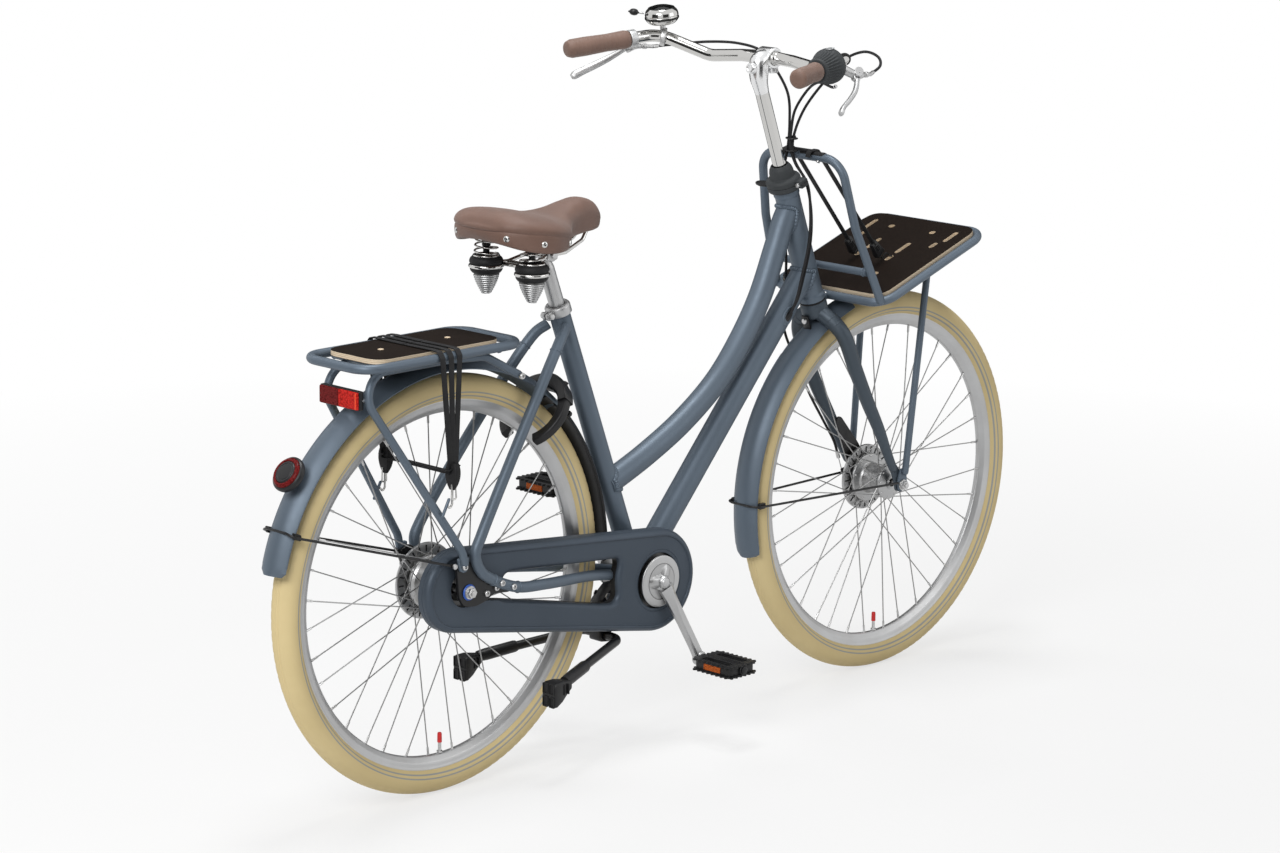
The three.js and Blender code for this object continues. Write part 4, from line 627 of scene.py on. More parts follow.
def weld(start, along, radius, axle_foot, axle):
    """A rippled bead where a tube of a radius meets a round tube: for each angle round the first
    tube's line, the point where its wall reaches the second tube's surface."""
    along, axle = unit(along), unit(axle)
    side = unit(np.cross(along, axle))
    other = np.cross(along, side)
    around = ring_outline(radius, 192)
    base = start + side * around[:, :1] + other * around[:, 1:]
    foot, width = axle_foot[:3], axle_foot[3]
    apart = base - foot
    apart = apart - axle * (apart @ axle)[:, None]
    slope = along - axle * (along @ axle)
    a = slope @ slope
    b = 2 * apart @ slope
    c = (apart * apart).sum(1) - width ** 2
    reach = (-b - np.sqrt(np.maximum(b * b - 4 * a * c, 0))) / (2 * a)
    ripple = 1 + 0.16 * np.cos(np.arange(192) * 2 * np.pi / 4.8)
    return tube(base + along * reach[:, None], 4.0 * ripple, 10, closed=True)


def weld_ring(centre, along, radius, thickness=2.0):
    """A bead round a tube, square to its run."""
    return turned(ring_outline(thickness, 12, (radius, 0)), centre, along, 48)


TOP_ROUTE = smooth([(866, 0, 918), (846, 0, 888), (824, 0, 838), (784, 0, 752), (735, 0, 681),
                    (675, 0, 616), (588, 0, 555), (492, 0, 507), (395, 0, 468)], 90)
DOWN_RUN = unit(BRACKET - DOWN_TOP)
SHELL_RADIUS = 23


def head_tube():
    wall = [(17, 0), (24, 0), (24.5, 0.6), (24.5, 9.4), (24, 11), (22.8, 13.5), (22.5, 16), (22.5, 210),
            (22.7, 213), (24, 216), (24, 225.4), (23.5, 226), (17, 226)]
    piece = Piece("head_tube_skin", "frame", "head_tube")
    piece.add(turned(softened(wall, 0.8, 2), HEAD_FOOT, HEAD_AXIS, 72), SLATE)
    head = np.append(HEAD_FOOT, HEAD_RADIUS)
    piece.add(weld(TOP_ROUTE[12], TOP_ROUTE[8] - TOP_ROUTE[12], TOP_TUBE_RADIUS, head, HEAD_AXIS), SLATE)
    piece.add(weld(BRACKET, -DOWN_RUN, DOWN_TUBE_RADIUS, head, HEAD_AXIS), SLATE)
    piece.make()


def top_tube():
    piece = Piece("top_tube_skin", "frame", "top_tube")
    piece.add(tube(TOP_ROUTE[3:], TOP_TUBE_RADIUS, 56), SLATE)
    end = TOP_ROUTE[-1] - TOP_ROUTE[-6]
    seat = np.append(BRACKET, SEAT_TUBE_RADIUS)
    piece.add(weld(TOP_ROUTE[-6], end, TOP_TUBE_RADIUS, seat, SEAT_AXIS), SLATE)
    piece.make()


PORT = DOWN_TOP + (BRACKET - DOWN_TOP) * 0.16


def down_tube():
    """A straight tube with a flush oval collar on its right side, dark where the cables go in."""
    piece = Piece("down_tube_skin", "frame", "down_tube")
    piece.add(rod(BRACKET - DOWN_RUN * 8, DOWN_TOP + DOWN_RUN * 6, DOWN_TUBE_RADIUS, 64), SLATE)
    along = -DOWN_RUN
    square = unit(np.cross(LEFT, along))
    middle = PORT + along * 7
    angle = np.linspace(0, 2 * np.pi, 40, endpoint=False)[:, None]
    oval = middle + along * 19 * np.cos(angle) + square * 10.5 * np.sin(angle)
    lift = -np.sqrt(np.maximum(22.6 ** 2 - (10.5 * np.sin(angle)) ** 2, 0)) - 0.6
    piece.add(tube(oval + LEFT * (lift + 1.4), 2.4, 12, closed=True), SLATE)
    inside = [(0, 22.7), (5.4, 22.3), (7.4, 21.4)]
    cosine, sine = np.cos(angle), np.sin(angle)
    rings = np.vstack([middle + along * 1.85 * r * cosine + square * r * sine - LEFT * (h + 0.4)
                       for r, h in inside])
    piece.add((rings, [quads(3, 40)]), PLASTIC)
    piece.make()


def seat_tube():
    piece = Piece("seat_tube_skin", "frame", "seat_tube")
    wall = [(13.9, 0), (SEAT_TUBE_RADIUS, 0), (SEAT_TUBE_RADIUS, 546), (SEAT_TUBE_RADIUS - 0.4, 547),
            (13.9, 547)]
    piece.add(turned(wall, SEAT_TOP - SEAT_AXIS * 546.4, SEAT_AXIS, 64), SLATE)
    shell = np.append(BRACKET, SHELL_RADIUS)
    piece.add(weld(SEAT_TOP, -SEAT_AXIS, SEAT_TUBE_RADIUS, shell, LEFT), SLATE)
    piece.add(weld(DOWN_TOP, DOWN_RUN, DOWN_TUBE_RADIUS, shell, LEFT), SLATE)
    piece.make()


def bracket_shell():
    """Shell with a threaded cup a side, and the plate behind it that carries the stand."""
    piece = Piece("bracket_shell_skin", "frame", "bottom_bracket_shell")
    shell = softened([(17, -34), (SHELL_RADIUS, -34), (SHELL_RADIUS, 34), (17, 34)], 1.2, 3)
    piece.add(turned(shell, BRACKET, LEFT, 64), SLATE)
    cup = softened([(9.5, 30), (20, 30), (20, 36.5), (17, 38.5), (9.5, 38.5)], 1, 2)
    piece.add(turned(cup, BRACKET, LEFT, 48), DARK_STEEL)
    piece.add(turned(cup * (1, -1), BRACKET, LEFT, 48), DARK_STEEL)
    side = softened([(449, 288), (404, 288), (372, 262), (370, 190), (398, 186), (403, 250), (449, 274)], 6)
    hole = ring_outline(9.2, 24, (385, 200))
    piece.add(plate(side, -14, 14, (0, 0, 0), AHEAD, UP, [hole], bevel=1.5), BLACK_PAINT)
    for x, z in ((388, 270), (392, 226)):
        piece.add(turned([(0, -17), (6, -17), (6.5, -16), (6.5, -14), (0, -14)], (x, 0, z), LEFT, 6), ZINC)
        piece.add(turned([(0, 17), (5, 17), (6.5, 15.5), (6.5, 14), (0, 14)], (x, 0, z), LEFT, 24), ZINC)
    piece.make()


STAY_ROUTE = smooth([(273, -22, 769), (250, -33, 752), (27, -75, 455), (12, -76, 424), (24, -76, 394),
                     (52, -76, 374), (112, -75, 350), (178, -74, 343), (300, -48, 329), (348, -38, 321),
                     (404, -30, 309), (456, -26, 297)], 150)


def near(route, x, z):
    """The station of a route closest to (x, z), seen from the side."""
    return int(np.argmin(np.hypot(route[:, 0] - x, route[:, 2] - z)))


def stay_bolt(at):
    """A socket screw: a short cylinder with a rounded rim and a round hollow."""
    head = [(0, 0), (5.4, 0), (5.4, 3.6), (4.6, 4.6), (2.9, 4.6), (2.6, 2.2), (0, 2.2)]
    return turned(head, at, -LEFT, 24)


def rear_stay(name, side):
    piece = Piece(f"{name}_skin", "frame", name)
    flip = mirror if side > 0 else same
    piece.add(flip(tube(STAY_ROUTE, STAY_RADIUS, 40)), SLATE)
    for x, z in ((238, 735), (52, 374), (112, 350)):
        i = near(STAY_ROUTE, x, z)
        bead = weld_ring(STAY_ROUTE[i], STAY_ROUTE[i + 1] - STAY_ROUTE[i], STAY_RADIUS - 0.2, 1.4)
        piece.add(flip(bead), SLATE)
    shape = softened([(-28, 412), (-6, 420), (22, 398), (60, 372), (96, 356), (96, 344), (58, 348),
                      (40, 338), (16, 333), (-12, 338), (-22, 356), (-24, 380)], 7)
    slot = ring_outline(5.9, 20, (0, 361))
    piece.add(flip(plate(shape, 66.5, 73, (0, 0, 0), AHEAD, UP, [slot], bevel=1.0)), BLACK_PAINT)
    for x, z in ((-17, 409), (40, 352), (62, 358)):
        piece.add(flip(stay_bolt(point(x, -73, z))), ZINC)
    for x, z in ((66, 366), (92, 357)):
        i = near(STAY_ROUTE, x, z)
        piece.add(flip(stay_bolt(STAY_ROUTE[i] + point(0, -STAY_RADIUS + 0.8, 0))), ZINC)
    piece.make()


def seat_clamp():
    """Satin collar with two ears and a bolt behind the seat tube."""
    piece = Piece("seat_clamp_skin", "frame", "seat_clamp")
    foot = SEAT_TOP - SEAT_AXIS * 14
    collar = softened([(19.0, 0), (22.5, 0), (22.5, 14.5), (20, 18), (14.3, 18), (14.3, 15.2),
                       (19.0, 15.2)], 0.9, 3)
    piece.add(turned(collar, foot, SEAT_AXIS, 72), SATIN_ALLOY)
    back = unit(-AHEAD + SEAT_AXIS * SEAT_AXIS[0])
    ear = foot + SEAT_AXIS * 8 + back * 26
    for side in (-1, 1):
        piece.add(block((15, 13, 6.6), ear + LEFT * side * 4.6, back, SEAT_AXIS, 5, 1.2), SATIN_ALLOY)
    piece.add(rod(ear - LEFT * 13, ear + LEFT * 12, 3.2, 20), ZINC)
    head = [(0, 0), (5.4, 0), (5.4, 5), (4.6, 5.8), (2.8, 5.8), (2.6, 3), (0, 3)]
    piece.add(turned(head, ear + LEFT * 8, LEFT, 28), ZINC)
    piece.add(turned([(0, 0), (5.2, 0), (5.2, 4.4), (0, 4.8)], ear - LEFT * 8, -LEFT, 6), ZINC)
    piece.make()


# Mudguards


def guard_section(half, crown, thick):
    """A shallow arch across: y from -half to half, height -crown |y / half|^2.2, thick all over."""
    across = np.linspace(-1, 1, 25)
    top = np.stack([across * half, -crown * np.abs(across) ** 2.2], 1)
    under = np.stack([across * (half - thick), -crown * np.abs(across) ** 2.2 - thick], 1)[::-1]
    return np.vstack([top, under])


def guard_strip(axle, radius, start, end, half, crown, thick=1.8, steps=110):
    """The arch carried round the axle; its ends are rounded by narrowing the last few degrees."""
    path = arc(axle, radius, start, end, steps)
    out = unit(path - axle)
    section = guard_section(half, crown, thick)
    share = np.linspace(0, 1, steps)
    edge = np.minimum(share, 1 - share) * math.radians(abs(end - start)) * radius
    width = 1 - 0.30 * np.clip(1 - edge / 9, 0, 1) ** 2.2
    points = (path[:, None] + LEFT * (section[:, 0] * width[:, None])[..., None]
              + out[:, None] * section[None, :, 1:])
    count = len(section)
    return points.reshape(-1, 3), [quads(steps, count), *end_faces(steps, count)]


def guard_rib(axle, radius, start, end, side, half, crown):
    """The rolled lip along one edge of a mudguard."""
    angle = np.radians(np.linspace(start, end, 90))
    path = axle + np.stack([(radius - crown) * np.cos(angle), 0 * angle + side * (half - 1.2),
                            (radius - crown) * np.sin(angle)], 1)
    return tube(path, 1.5, 10, domed=True)


def wire_stay(end, corner, crown):
    """A wire from one side round the mudguard to the other, with a rounded bend at each corner."""
    y = corner[1] * 0.6
    half = [end, corner, (crown[0], y, crown[2])]
    return tube(bent(half + [(x, -y_, z) for x, y_, z in half[::-1]], 16, 8), 2.2, 14)


REAR_GUARD = 387
FRONT_GUARD = 378


def rear_mudguard():
    piece = Piece("rear_mudguard_skin", "frame", "rear_mudguard")
    piece.add(guard_strip(REAR_AXLE, REAR_GUARD, 44, 167.5, 30, 15), SLATE)
    piece.add(guard_strip(REAR_AXLE, REAR_GUARD - 0.4, -3.5, 48, 29.4, 15, 2.0, 60), PLASTIC)
    for side in (-1, 1):
        piece.add(guard_rib(REAR_AXLE, REAR_GUARD, 48, 165, side, 30, 15), SLATE)
    piece.add(wire_stay((-32, -69, 411), (-352, -38, 510), (-355, 0, 514.8)), BLACK_PAINT)
    for side in (-1, 1):
        clip = point(-341, side * 33.5, 508)
        piece.add(block((16, 11, 7), clip, unit(point(-1, 0, 0.35)), UP, 3, 1.2), PLASTIC)
        piece.add(rod(point(-32, side * 66, 411), point(-32, side * 73, 411), 4.2, 20), BLACK_PAINT)
        piece.add(turned([(0, 0), (5, 0), (5, 2.6), (3.4, 4), (0, 4)], (-32, side * 73, 411), LEFT * side,
                         24), ZINC)
    piece.make()


def front_mudguard():
    piece = Piece("front_mudguard_skin", "steering", "front_mudguard")
    piece.add(guard_strip(FRONT_AXLE, FRONT_GUARD, 106, 193.5, 29, 14), SLATE)
    for side in (-1, 1):
        piece.add(guard_rib(FRONT_AXLE, FRONT_GUARD, 132, 191, side, 29, 14), SLATE)
    piece.add(wire_stay((1106, -66, 367), (752, -38, 374), (743.6, 0, 374.4)), BLACK_PAINT)
    for side in (-1, 1):
        piece.add(block((16, 11, 7), point(764, side * 33, 374), AHEAD, UP, 3, 1.2), PLASTIC)
    piece.add(block((4, 36, 16), on_steering(-40, -28.5), HEAD_FORWARD, HEAD_AXIS, 1, 0.6), BLACK_PAINT)
    head = [(0, 0), (5.6, 0), (5.6, 3.6), (4.6, 4.6), (0, 4.6)]
    piece.add(turned(head, on_steering(-31, -30.4), -HEAD_FORWARD, 24), ZINC)
    piece.make()


# Wheels


def tyre_skin(axle, finish, name, body):
    """A tyre turned about the axle: the section is a rounded belly that ends in two beads; the
    radius is lowered in fine grooves round the tread, and again in short ones across the shoulders."""
    angle = np.radians(np.linspace(-118, 118, 75))
    belly = np.stack([336.5 + 24.5 * np.cos(angle), 25 * np.sin(angle)], 1)
    bead = np.array([(318.5, -14), (311, -10.5), (309.8, -8), (309.8, 8), (311, 10.5), (318.5, 14)])
    section = np.vstack([belly[1:-1], bead[::-1]])
    spin = np.linspace(0, 2 * np.pi, 480, endpoint=False)
    radius = np.repeat(section[None, :, 0], len(spin), 0)
    across = section[:, 1]
    tread = (np.abs(across) < 13) & (section[:, 0] > 352)
    rows = (np.arange(len(spin)) % 4 < 1)[:, None]
    groove = tread & ((np.abs(np.abs(across) - 5.2) < 0.9) | (np.abs(across) < 0.4))
    radius -= 0.9 * groove
    shoulder = (np.abs(across) > 12) & (np.abs(across) < 20.5) & (section[:, 0] > 345)
    radius -= 0.7 * (rows & shoulder)
    points = np.stack([axle[0] + radius * np.cos(spin)[:, None], np.repeat(across[None], len(spin), 0),
                       axle[2] + radius * np.sin(spin)[:, None]], -1)
    piece = Piece(name, body, name.replace("_skin", ""))
    piece.add((points.reshape(-1, 3), [quads(len(spin), len(section), True)]), finish)
    piece.make(sharp=50)


def valve(axle):
    """A metal valve at the bottom of the wheel, with its nut and a red dust cap."""
    foot = axle - UP * 296
    stem = [(0, 0), (5.2, 0), (5.2, 3), (3.0, 3.4), (3.0, 22), (0, 22)]
    cap = [(0, 18), (3.9, 18), (4.1, 19), (3.9, 33), (3.2, 35), (0, 35.4)]
    return turned(stem, foot, UP, 20), turned(cap, foot, UP, 20)


def rim_skin(axle, name, body):
    """Rim turned from a rounded section with a well between its walls, and the valve."""
    half = [(319.5, 13.4), (318.4, 14.2), (316.2, 13.6), (314, 12.8), (309.5, 11.8), (306, 10.6),
            (302, 7.8), (298.2, 5.2), (296.5, 3.2)]
    section = softened(half + [(r, -y) for r, y in half[::-1]] + [(309, -9), (309, 9)], 0.8, 2)
    piece = Piece(name, body, name.replace("_skin", ""))
    piece.add(turned(section, axle, LEFT, 240), SATIN_ALLOY)
    stem, cap = valve(axle)
    piece.add(stem, ZINC)
    piece.add(cap, RED_CAP)
    piece.make(sharp=40)


def spoke_set(axle, right_flange, left_flange, right_radius, left_radius):
    """36 spokes crossed three times: each runs from its flange, 60 degrees round, to the rim."""
    i = np.arange(SPOKES)
    rim_angle = (i + 0.5) * 2 * np.pi / SPOKES
    left = i % 2 == 0
    lead = np.where((i >> 1) % 2 == 0, 1, -1)
    hub_angle = rim_angle + lead * math.radians(60)
    radius = np.where(left, left_radius, right_radius) - 4
    flange = np.where(left, left_flange, right_flange) + lead * 1.4
    start = axle + np.stack([radius * np.cos(hub_angle), flange, radius * np.sin(hub_angle)], 1)
    reach = RIM_INNER - 1.5
    end = axle + np.stack([reach * np.cos(rim_angle), np.where(left, 2, -2) + lead * 1.4,
                           reach * np.sin(rim_angle)], 1)
    return start, end


def hub_skin(axle, name, body, right_flange, left_flange, right_radius, left_radius, core, disc):
    """Cast hub shell turned about the axle, a finned cooling disc, spokes and nipples."""
    piece = Piece(name, body, name.replace("_skin", ""))
    shell = [(8, right_flange - 8), (core * 0.62, right_flange - 8), (core * 0.8, right_flange - 6),
             (right_radius - 2, right_flange - 3), (right_radius, right_flange - 2),
             (right_radius, right_flange + 2), (right_radius - 2, right_flange + 3),
             (core + 3, right_flange + 4), (core, right_flange + 8),
             (core - 1.5, (right_flange + left_flange) / 2), (core, left_flange - 8),
             (core + 3, left_flange - 4), (left_radius - 2, left_flange - 3),
             (left_radius, left_flange - 2), (left_radius, left_flange + 3), (disc * 0.6, left_flange + 6),
             (disc * 0.55, left_flange + 9.5), (8, left_flange + 10)]
    piece.add(turned(softened(shell, 1.0, 2), axle, LEFT, 96), HUB_ALLOY)
    rotor = softened([(disc * 0.55, left_flange + 6.4), (disc, left_flange + 6.4), (disc, left_flange + 12),
                      (disc - 3, left_flange + 12), (disc - 6, left_flange + 10),
                      (disc * 0.66, left_flange + 9), (disc * 0.6, left_flange + 12),
                      (disc * 0.55, left_flange + 12)], 0.7, 2)
    piece.add(turned(rotor, axle, LEFT, 96), HUB_ALLOY)
    for turn in np.radians(np.arange(0, 360, 15)):
        out = point(math.cos(turn), 0, math.sin(turn))
        middle = axle + out * disc * 0.82 + LEFT * (left_flange + 10.2)
        piece.add(block((disc * 0.26, 1.8, 3.6), middle, out, np.cross(LEFT, out), 0.6, 0.5), HUB_ALLOY)
        slot = axle + out * disc * 0.86 + LEFT * (left_flange + 6.1)
        piece.add(block((disc * 0.17, 2.6, 1.2), slot, out, np.cross(LEFT, out), 0.5, 0.3), BLACK_PAINT)
    start, end = spoke_set(axle, right_flange, left_flange, right_radius, left_radius)
    for a, b in zip(start, end):
        piece.add(rod(a, b, 1.1, 8), SPOKE_STEEL)
        run = unit(b - a)
        piece.add(tube([b - run * 12, b - run * 11.5, b - run * 3, b + run * 1.5], [1.3, 2.0, 2.0, 2.4], 8),
                  ZINC)
        flange_side = point(0, math.copysign(1, a[1]), 0)
        piece.add(rod(a - flange_side * 2.6, a + flange_side * 2.6, 1.7, 8, domed=True), ZINC)
    piece.make(sharp=38)


REAR_HUB = dict(right_flange=-27, left_flange=26, right_radius=46, left_radius=46, core=40, disc=66)
FRONT_HUB = dict(right_flange=-30, left_flange=22, right_radius=33, left_radius=46, core=27, disc=62)


def wheels():
    tyre_skin(REAR_AXLE, REAR_CREAM, "rear_tyre_skin", "rear_wheel")
    tyre_skin(FRONT_AXLE, FRONT_CREAM, "front_tyre_skin", "front_wheel")
    rim_skin(REAR_AXLE, "rear_rim_skin", "rear_wheel")
    rim_skin(FRONT_AXLE, "front_rim_skin", "front_wheel")
    hub_skin(REAR_AXLE, "rear_hub_skin", "rear_wheel", **REAR_HUB)
    hub_skin(FRONT_AXLE, "front_hub_skin", "front_wheel", **FRONT_HUB)


# Chaincase and drive


def skin(rings, capped=True):
    """Outlines of equal length joined to their neighbours by quads, with a face over each end."""
    rings = np.array(rings, float)
    rows, count = rings.shape[:2]
    faces = [quads(rows, count)]
    if capped:
        faces += end_faces(rows, count)
    return rings.reshape(-1, 3), faces


def placed(surface, origins, rights, ups):
    """Copies of a surface drawn round zero: origin + right * x + up * y + (right x up) * z."""
    points, faces = surface
    origins = np.atleast_2d(np.array(origins, float))
    rights = np.broadcast_to(unit(np.atleast_2d(np.array(rights, float))), origins.shape)
    ups = np.broadcast_to(unit(np.atleast_2d(np.array(ups, float))), origins.shape)
    axes = np.stack([rights, ups, np.cross(rights, ups)], 1)
    copies = origins[:, None] + np.matmul(points[None], axes)
    shift = (np.arange(len(origins)) * len(points))[:, None, None]
    return copies.reshape(-1, 3), [(f[None] + shift).reshape(-1, f.shape[1]) for f in faces]


def resampled(outline, step):
    """A closed outline walked at even steps of its own length."""
    outline = np.vstack([outline, outline[:1]])
    length = np.hstack([0, np.cumsum(np.linalg.norm(np.diff(outline, axis=0), axis=1))])
    walk = np.linspace(0, length[-1], int(length[-1] / step), endpoint=False)
    return np.stack([np.interp(walk, length, outline[:, k]) for k in (0, 1)], 1)


def grown(outline, by):
    """Each point of an outline that runs anticlockwise, moved outward across its own run."""
    run = unit(np.roll(outline, -1, 0) - np.roll(outline, 1, 0))
    return outline + np.stack([run[:, 1], -run[:, 0]], 1) * np.broadcast_to(by, len(outline))[:, None]


def upright(outline, y):
    """Pairs (x, z) stood up in the plane y; y may differ from point to point."""
    return np.stack([outline[:, 0], np.broadcast_to(y, len(outline)), outline[:, 1]], 1)


def filled(loops, y):
    """The flat area between an outline and the holes in it."""
    triangles = tessellate_polygon([[Vector((*pair, 0)) for pair in loop] for loop in loops])
    return upright(np.vstack(loops), y), [np.array(triangles)]


def belt(front_radius, rear_radius, rear=(0, WHEEL_RADIUS), steps=44):
    """The outline of a belt round two circles: arcs that end where the outer tangents touch."""
    rear = np.array(rear, float)
    front = BRACKET[[0, 2]]
    apart = rear - front
    axis = math.atan2(apart[1], apart[0])
    spread = math.acos((front_radius - rear_radius) / np.hypot(*apart))
    ahead = np.linspace(axis + spread, axis - spread + 2 * np.pi, steps)
    behind = np.linspace(axis - spread, axis + spread, steps)
    return np.vstack([front + front_radius * np.stack([np.cos(ahead), np.sin(ahead)], 1),
                      rear + rear_radius * np.stack([np.cos(behind), np.sin(behind)], 1)])


CASE_FACE = -59.0
CASE_BACK = -37.0
HUB_OPENING = (6, 364)
WINDOW = [(12, 330.5), (28, 329.5), (41, 331), (50, 334.5), (92, 327.5), (331, 274.5), (361, 270),
          (373, 281), (369.5, 312), (376.5, 338), (373, 349.5), (305, 355), (141, 370), (104, 372),
          (92, 362), (70, 364), (52, 372)]


def case_opening():
    """The hub opening's circle, and the window that it runs into under the stay."""
    angle = np.radians(np.linspace(22, 258, 60))
    circle = np.array(HUB_OPENING) + 33 * np.stack([np.cos(angle), np.sin(angle)], 1)
    window = softened(WINDOW, [1, 3, 3, 3, 4, 8, 9, 9, 14, 8, 8, 20, 12, 9, 5, 6, 3], 7, closed=False)
    return resampled(np.vstack([circle, window]), 2.6)


def chaincase():
    """One closed skin: a rim whose section runs round the outline, a flat face, a rolled edge as
    wide as 9 mm round the window that narrows to 0.8 mm at the hub, and a stepped crank hole."""
    rim = [(0, CASE_BACK), (0, -45.9), (0.8, -46.5), (0.8, -47.1), (0, -47.7), (0, -51), (0.4, -54),
           (1.6, -56.8), (3.6, -59.2), (6.4, -61.1), (8.6, -61.9), (10.2, -62), (11.2, -61.4),
           (11.9, -60.2), (12.3, -59.2), (12.9, CASE_FACE), (13.9, CASE_FACE)]
    piece = Piece("chaincase_skin", "frame", "chaincase")

    def outline(inset):
        return belt(92 - inset, 72 - inset, (-10, WHEEL_RADIUS))

    # The whole case takes the darkened slate: painted shade on the frame's paint.
    piece.add(skin([upright(outline(inset), y) for inset, y in rim], False), CASE_SHADE_SLATE)
    opening = case_opening()
    share = np.clip((opening[:, 0] - 78) / 24, 0, 1)
    width = 0.8 + 8.4 * share * share * (3 - 2 * share)
    angle = np.radians(np.arange(0, 91, 11.25))
    roll = [upright(grown(opening, width + 1.4), CASE_FACE)]
    roll += [upright(grown(opening, width * (1 - math.sin(a))),
                     CASE_FACE + width * (1 - math.cos(a))) for a in angle]
    deep = [roll[-1], upright(opening, np.maximum(CASE_FACE + width, -56.6) + 1),
            upright(opening, CASE_BACK)]
    piece.add(skin(roll, False), CASE_SHADE_SLATE)
    piece.add(skin(deep[:2], False), CASE_SHADE_SLATE)
    piece.add(skin(deep[1:], False), PLASTIC)
    steps = [(58, CASE_FACE), (56.6, CASE_FACE), (55.8, -58.3), (54.9, -58.3), (54.1, CASE_FACE),
             (51.3, CASE_FACE), (50.3, -58.7), (50, -57.8), (50, CASE_BACK)]
    around = ring_outline(1, 96)
    crank = [upright(BRACKET[[0, 2]] + around * r, y) for r, y in steps]
    piece.add(skin(crank[:-1], False), CASE_SHADE_SLATE)
    piece.add(skin(crank[-2:], False), PLASTIC)
    centre = BRACKET[[0, 2]]
    face = [outline(13.9), grown(opening, width + 1.4)[::-1], (centre + around * 58)[::-1]]
    piece.add(filled(face, CASE_FACE), CASE_SHADE_SLATE)
    piece.add(filled([outline(0), opening[::-1], (centre + around * 50)[::-1]], CASE_BACK), CASE_SHADE_SLATE)
    piece.make(sharp=40)


def chain():
    """Rollers and two rows of waisted plates, one link each 12.7 mm of the belt line."""
    route = resampled(belt(38 * CHAIN_PITCH / 2 / np.pi, 19 * CHAIN_PITCH / 2 / np.pi, steps=120),
                      CHAIN_PITCH)
    after = np.roll(route, -1, 0)
    run = upright(unit(after - route), 0)
    middle = upright((after + route) / 2, CHAIN_LINE)
    across = np.cross(LEFT, run)
    waist = np.array([(-9, 0), (-7.6, -3), (-5, -3.6), (0, -2.6), (5, -3.6), (7.6, -3), (9, 0), (7.6, 3),
                      (5, 3.6), (0, 2.6), (-5, 3.6), (-7.6, 3)])
    piece = Piece("chain_links", "frame", "chain")
    for first, width in ((0, 3.1), (1, 2.0)):
        for side in (-1, 1):
            link = plate(waist, -0.5, 0.5, (0, 0, side * width), AHEAD, LEFT, bevel=0.15, steps=1)
            piece.add(placed(link, middle[first::2], run[first::2], across[first::2]), DARK_STEEL)
    roller = turned([(0, -3.4), (1.9, -3.4), (1.9, -1.8), (3.8, -1.6), (3.8, 1.6), (1.9, 1.8), (1.9, 3.4),
                     (0, 3.4)],
                    (0, 0, 0), UP, 10)
    piece.add(placed(roller, upright(route, CHAIN_LINE), run, across), DARK_STEEL)
    piece.make()


def toothed_outline(teeth):
    """A chain wheel's edge: the pitch radius less a rounded gap at each roller."""
    angle = np.linspace(0, 2 * np.pi, teeth * 12, endpoint=False)
    wave = np.clip(0.5 - 0.75 * np.cos(angle * teeth), 0, 1)
    radius = CHAIN_PITCH / 2 / math.sin(math.pi / teeth) - 4.2 + 5.0 * wave ** 0.8
    return np.stack([radius * np.cos(angle), radius * np.sin(angle)], 1)


def rear_sprocket():
    piece = Piece("rear_sprocket_skin", "sprocket", "rear_sprocket")
    outline = toothed_outline(19) * 0.985
    centre = REAR_AXLE + LEFT * CHAIN_LINE
    piece.add(plate(outline, -1.2, 1.2, centre, AHEAD, UP, [ring_outline(19.5, 36)], 0.3), DARK_STEEL)
    piece.make()


CRANK_AHEAD = point(math.cos(math.radians(-63)), 0, math.sin(math.radians(-63)))


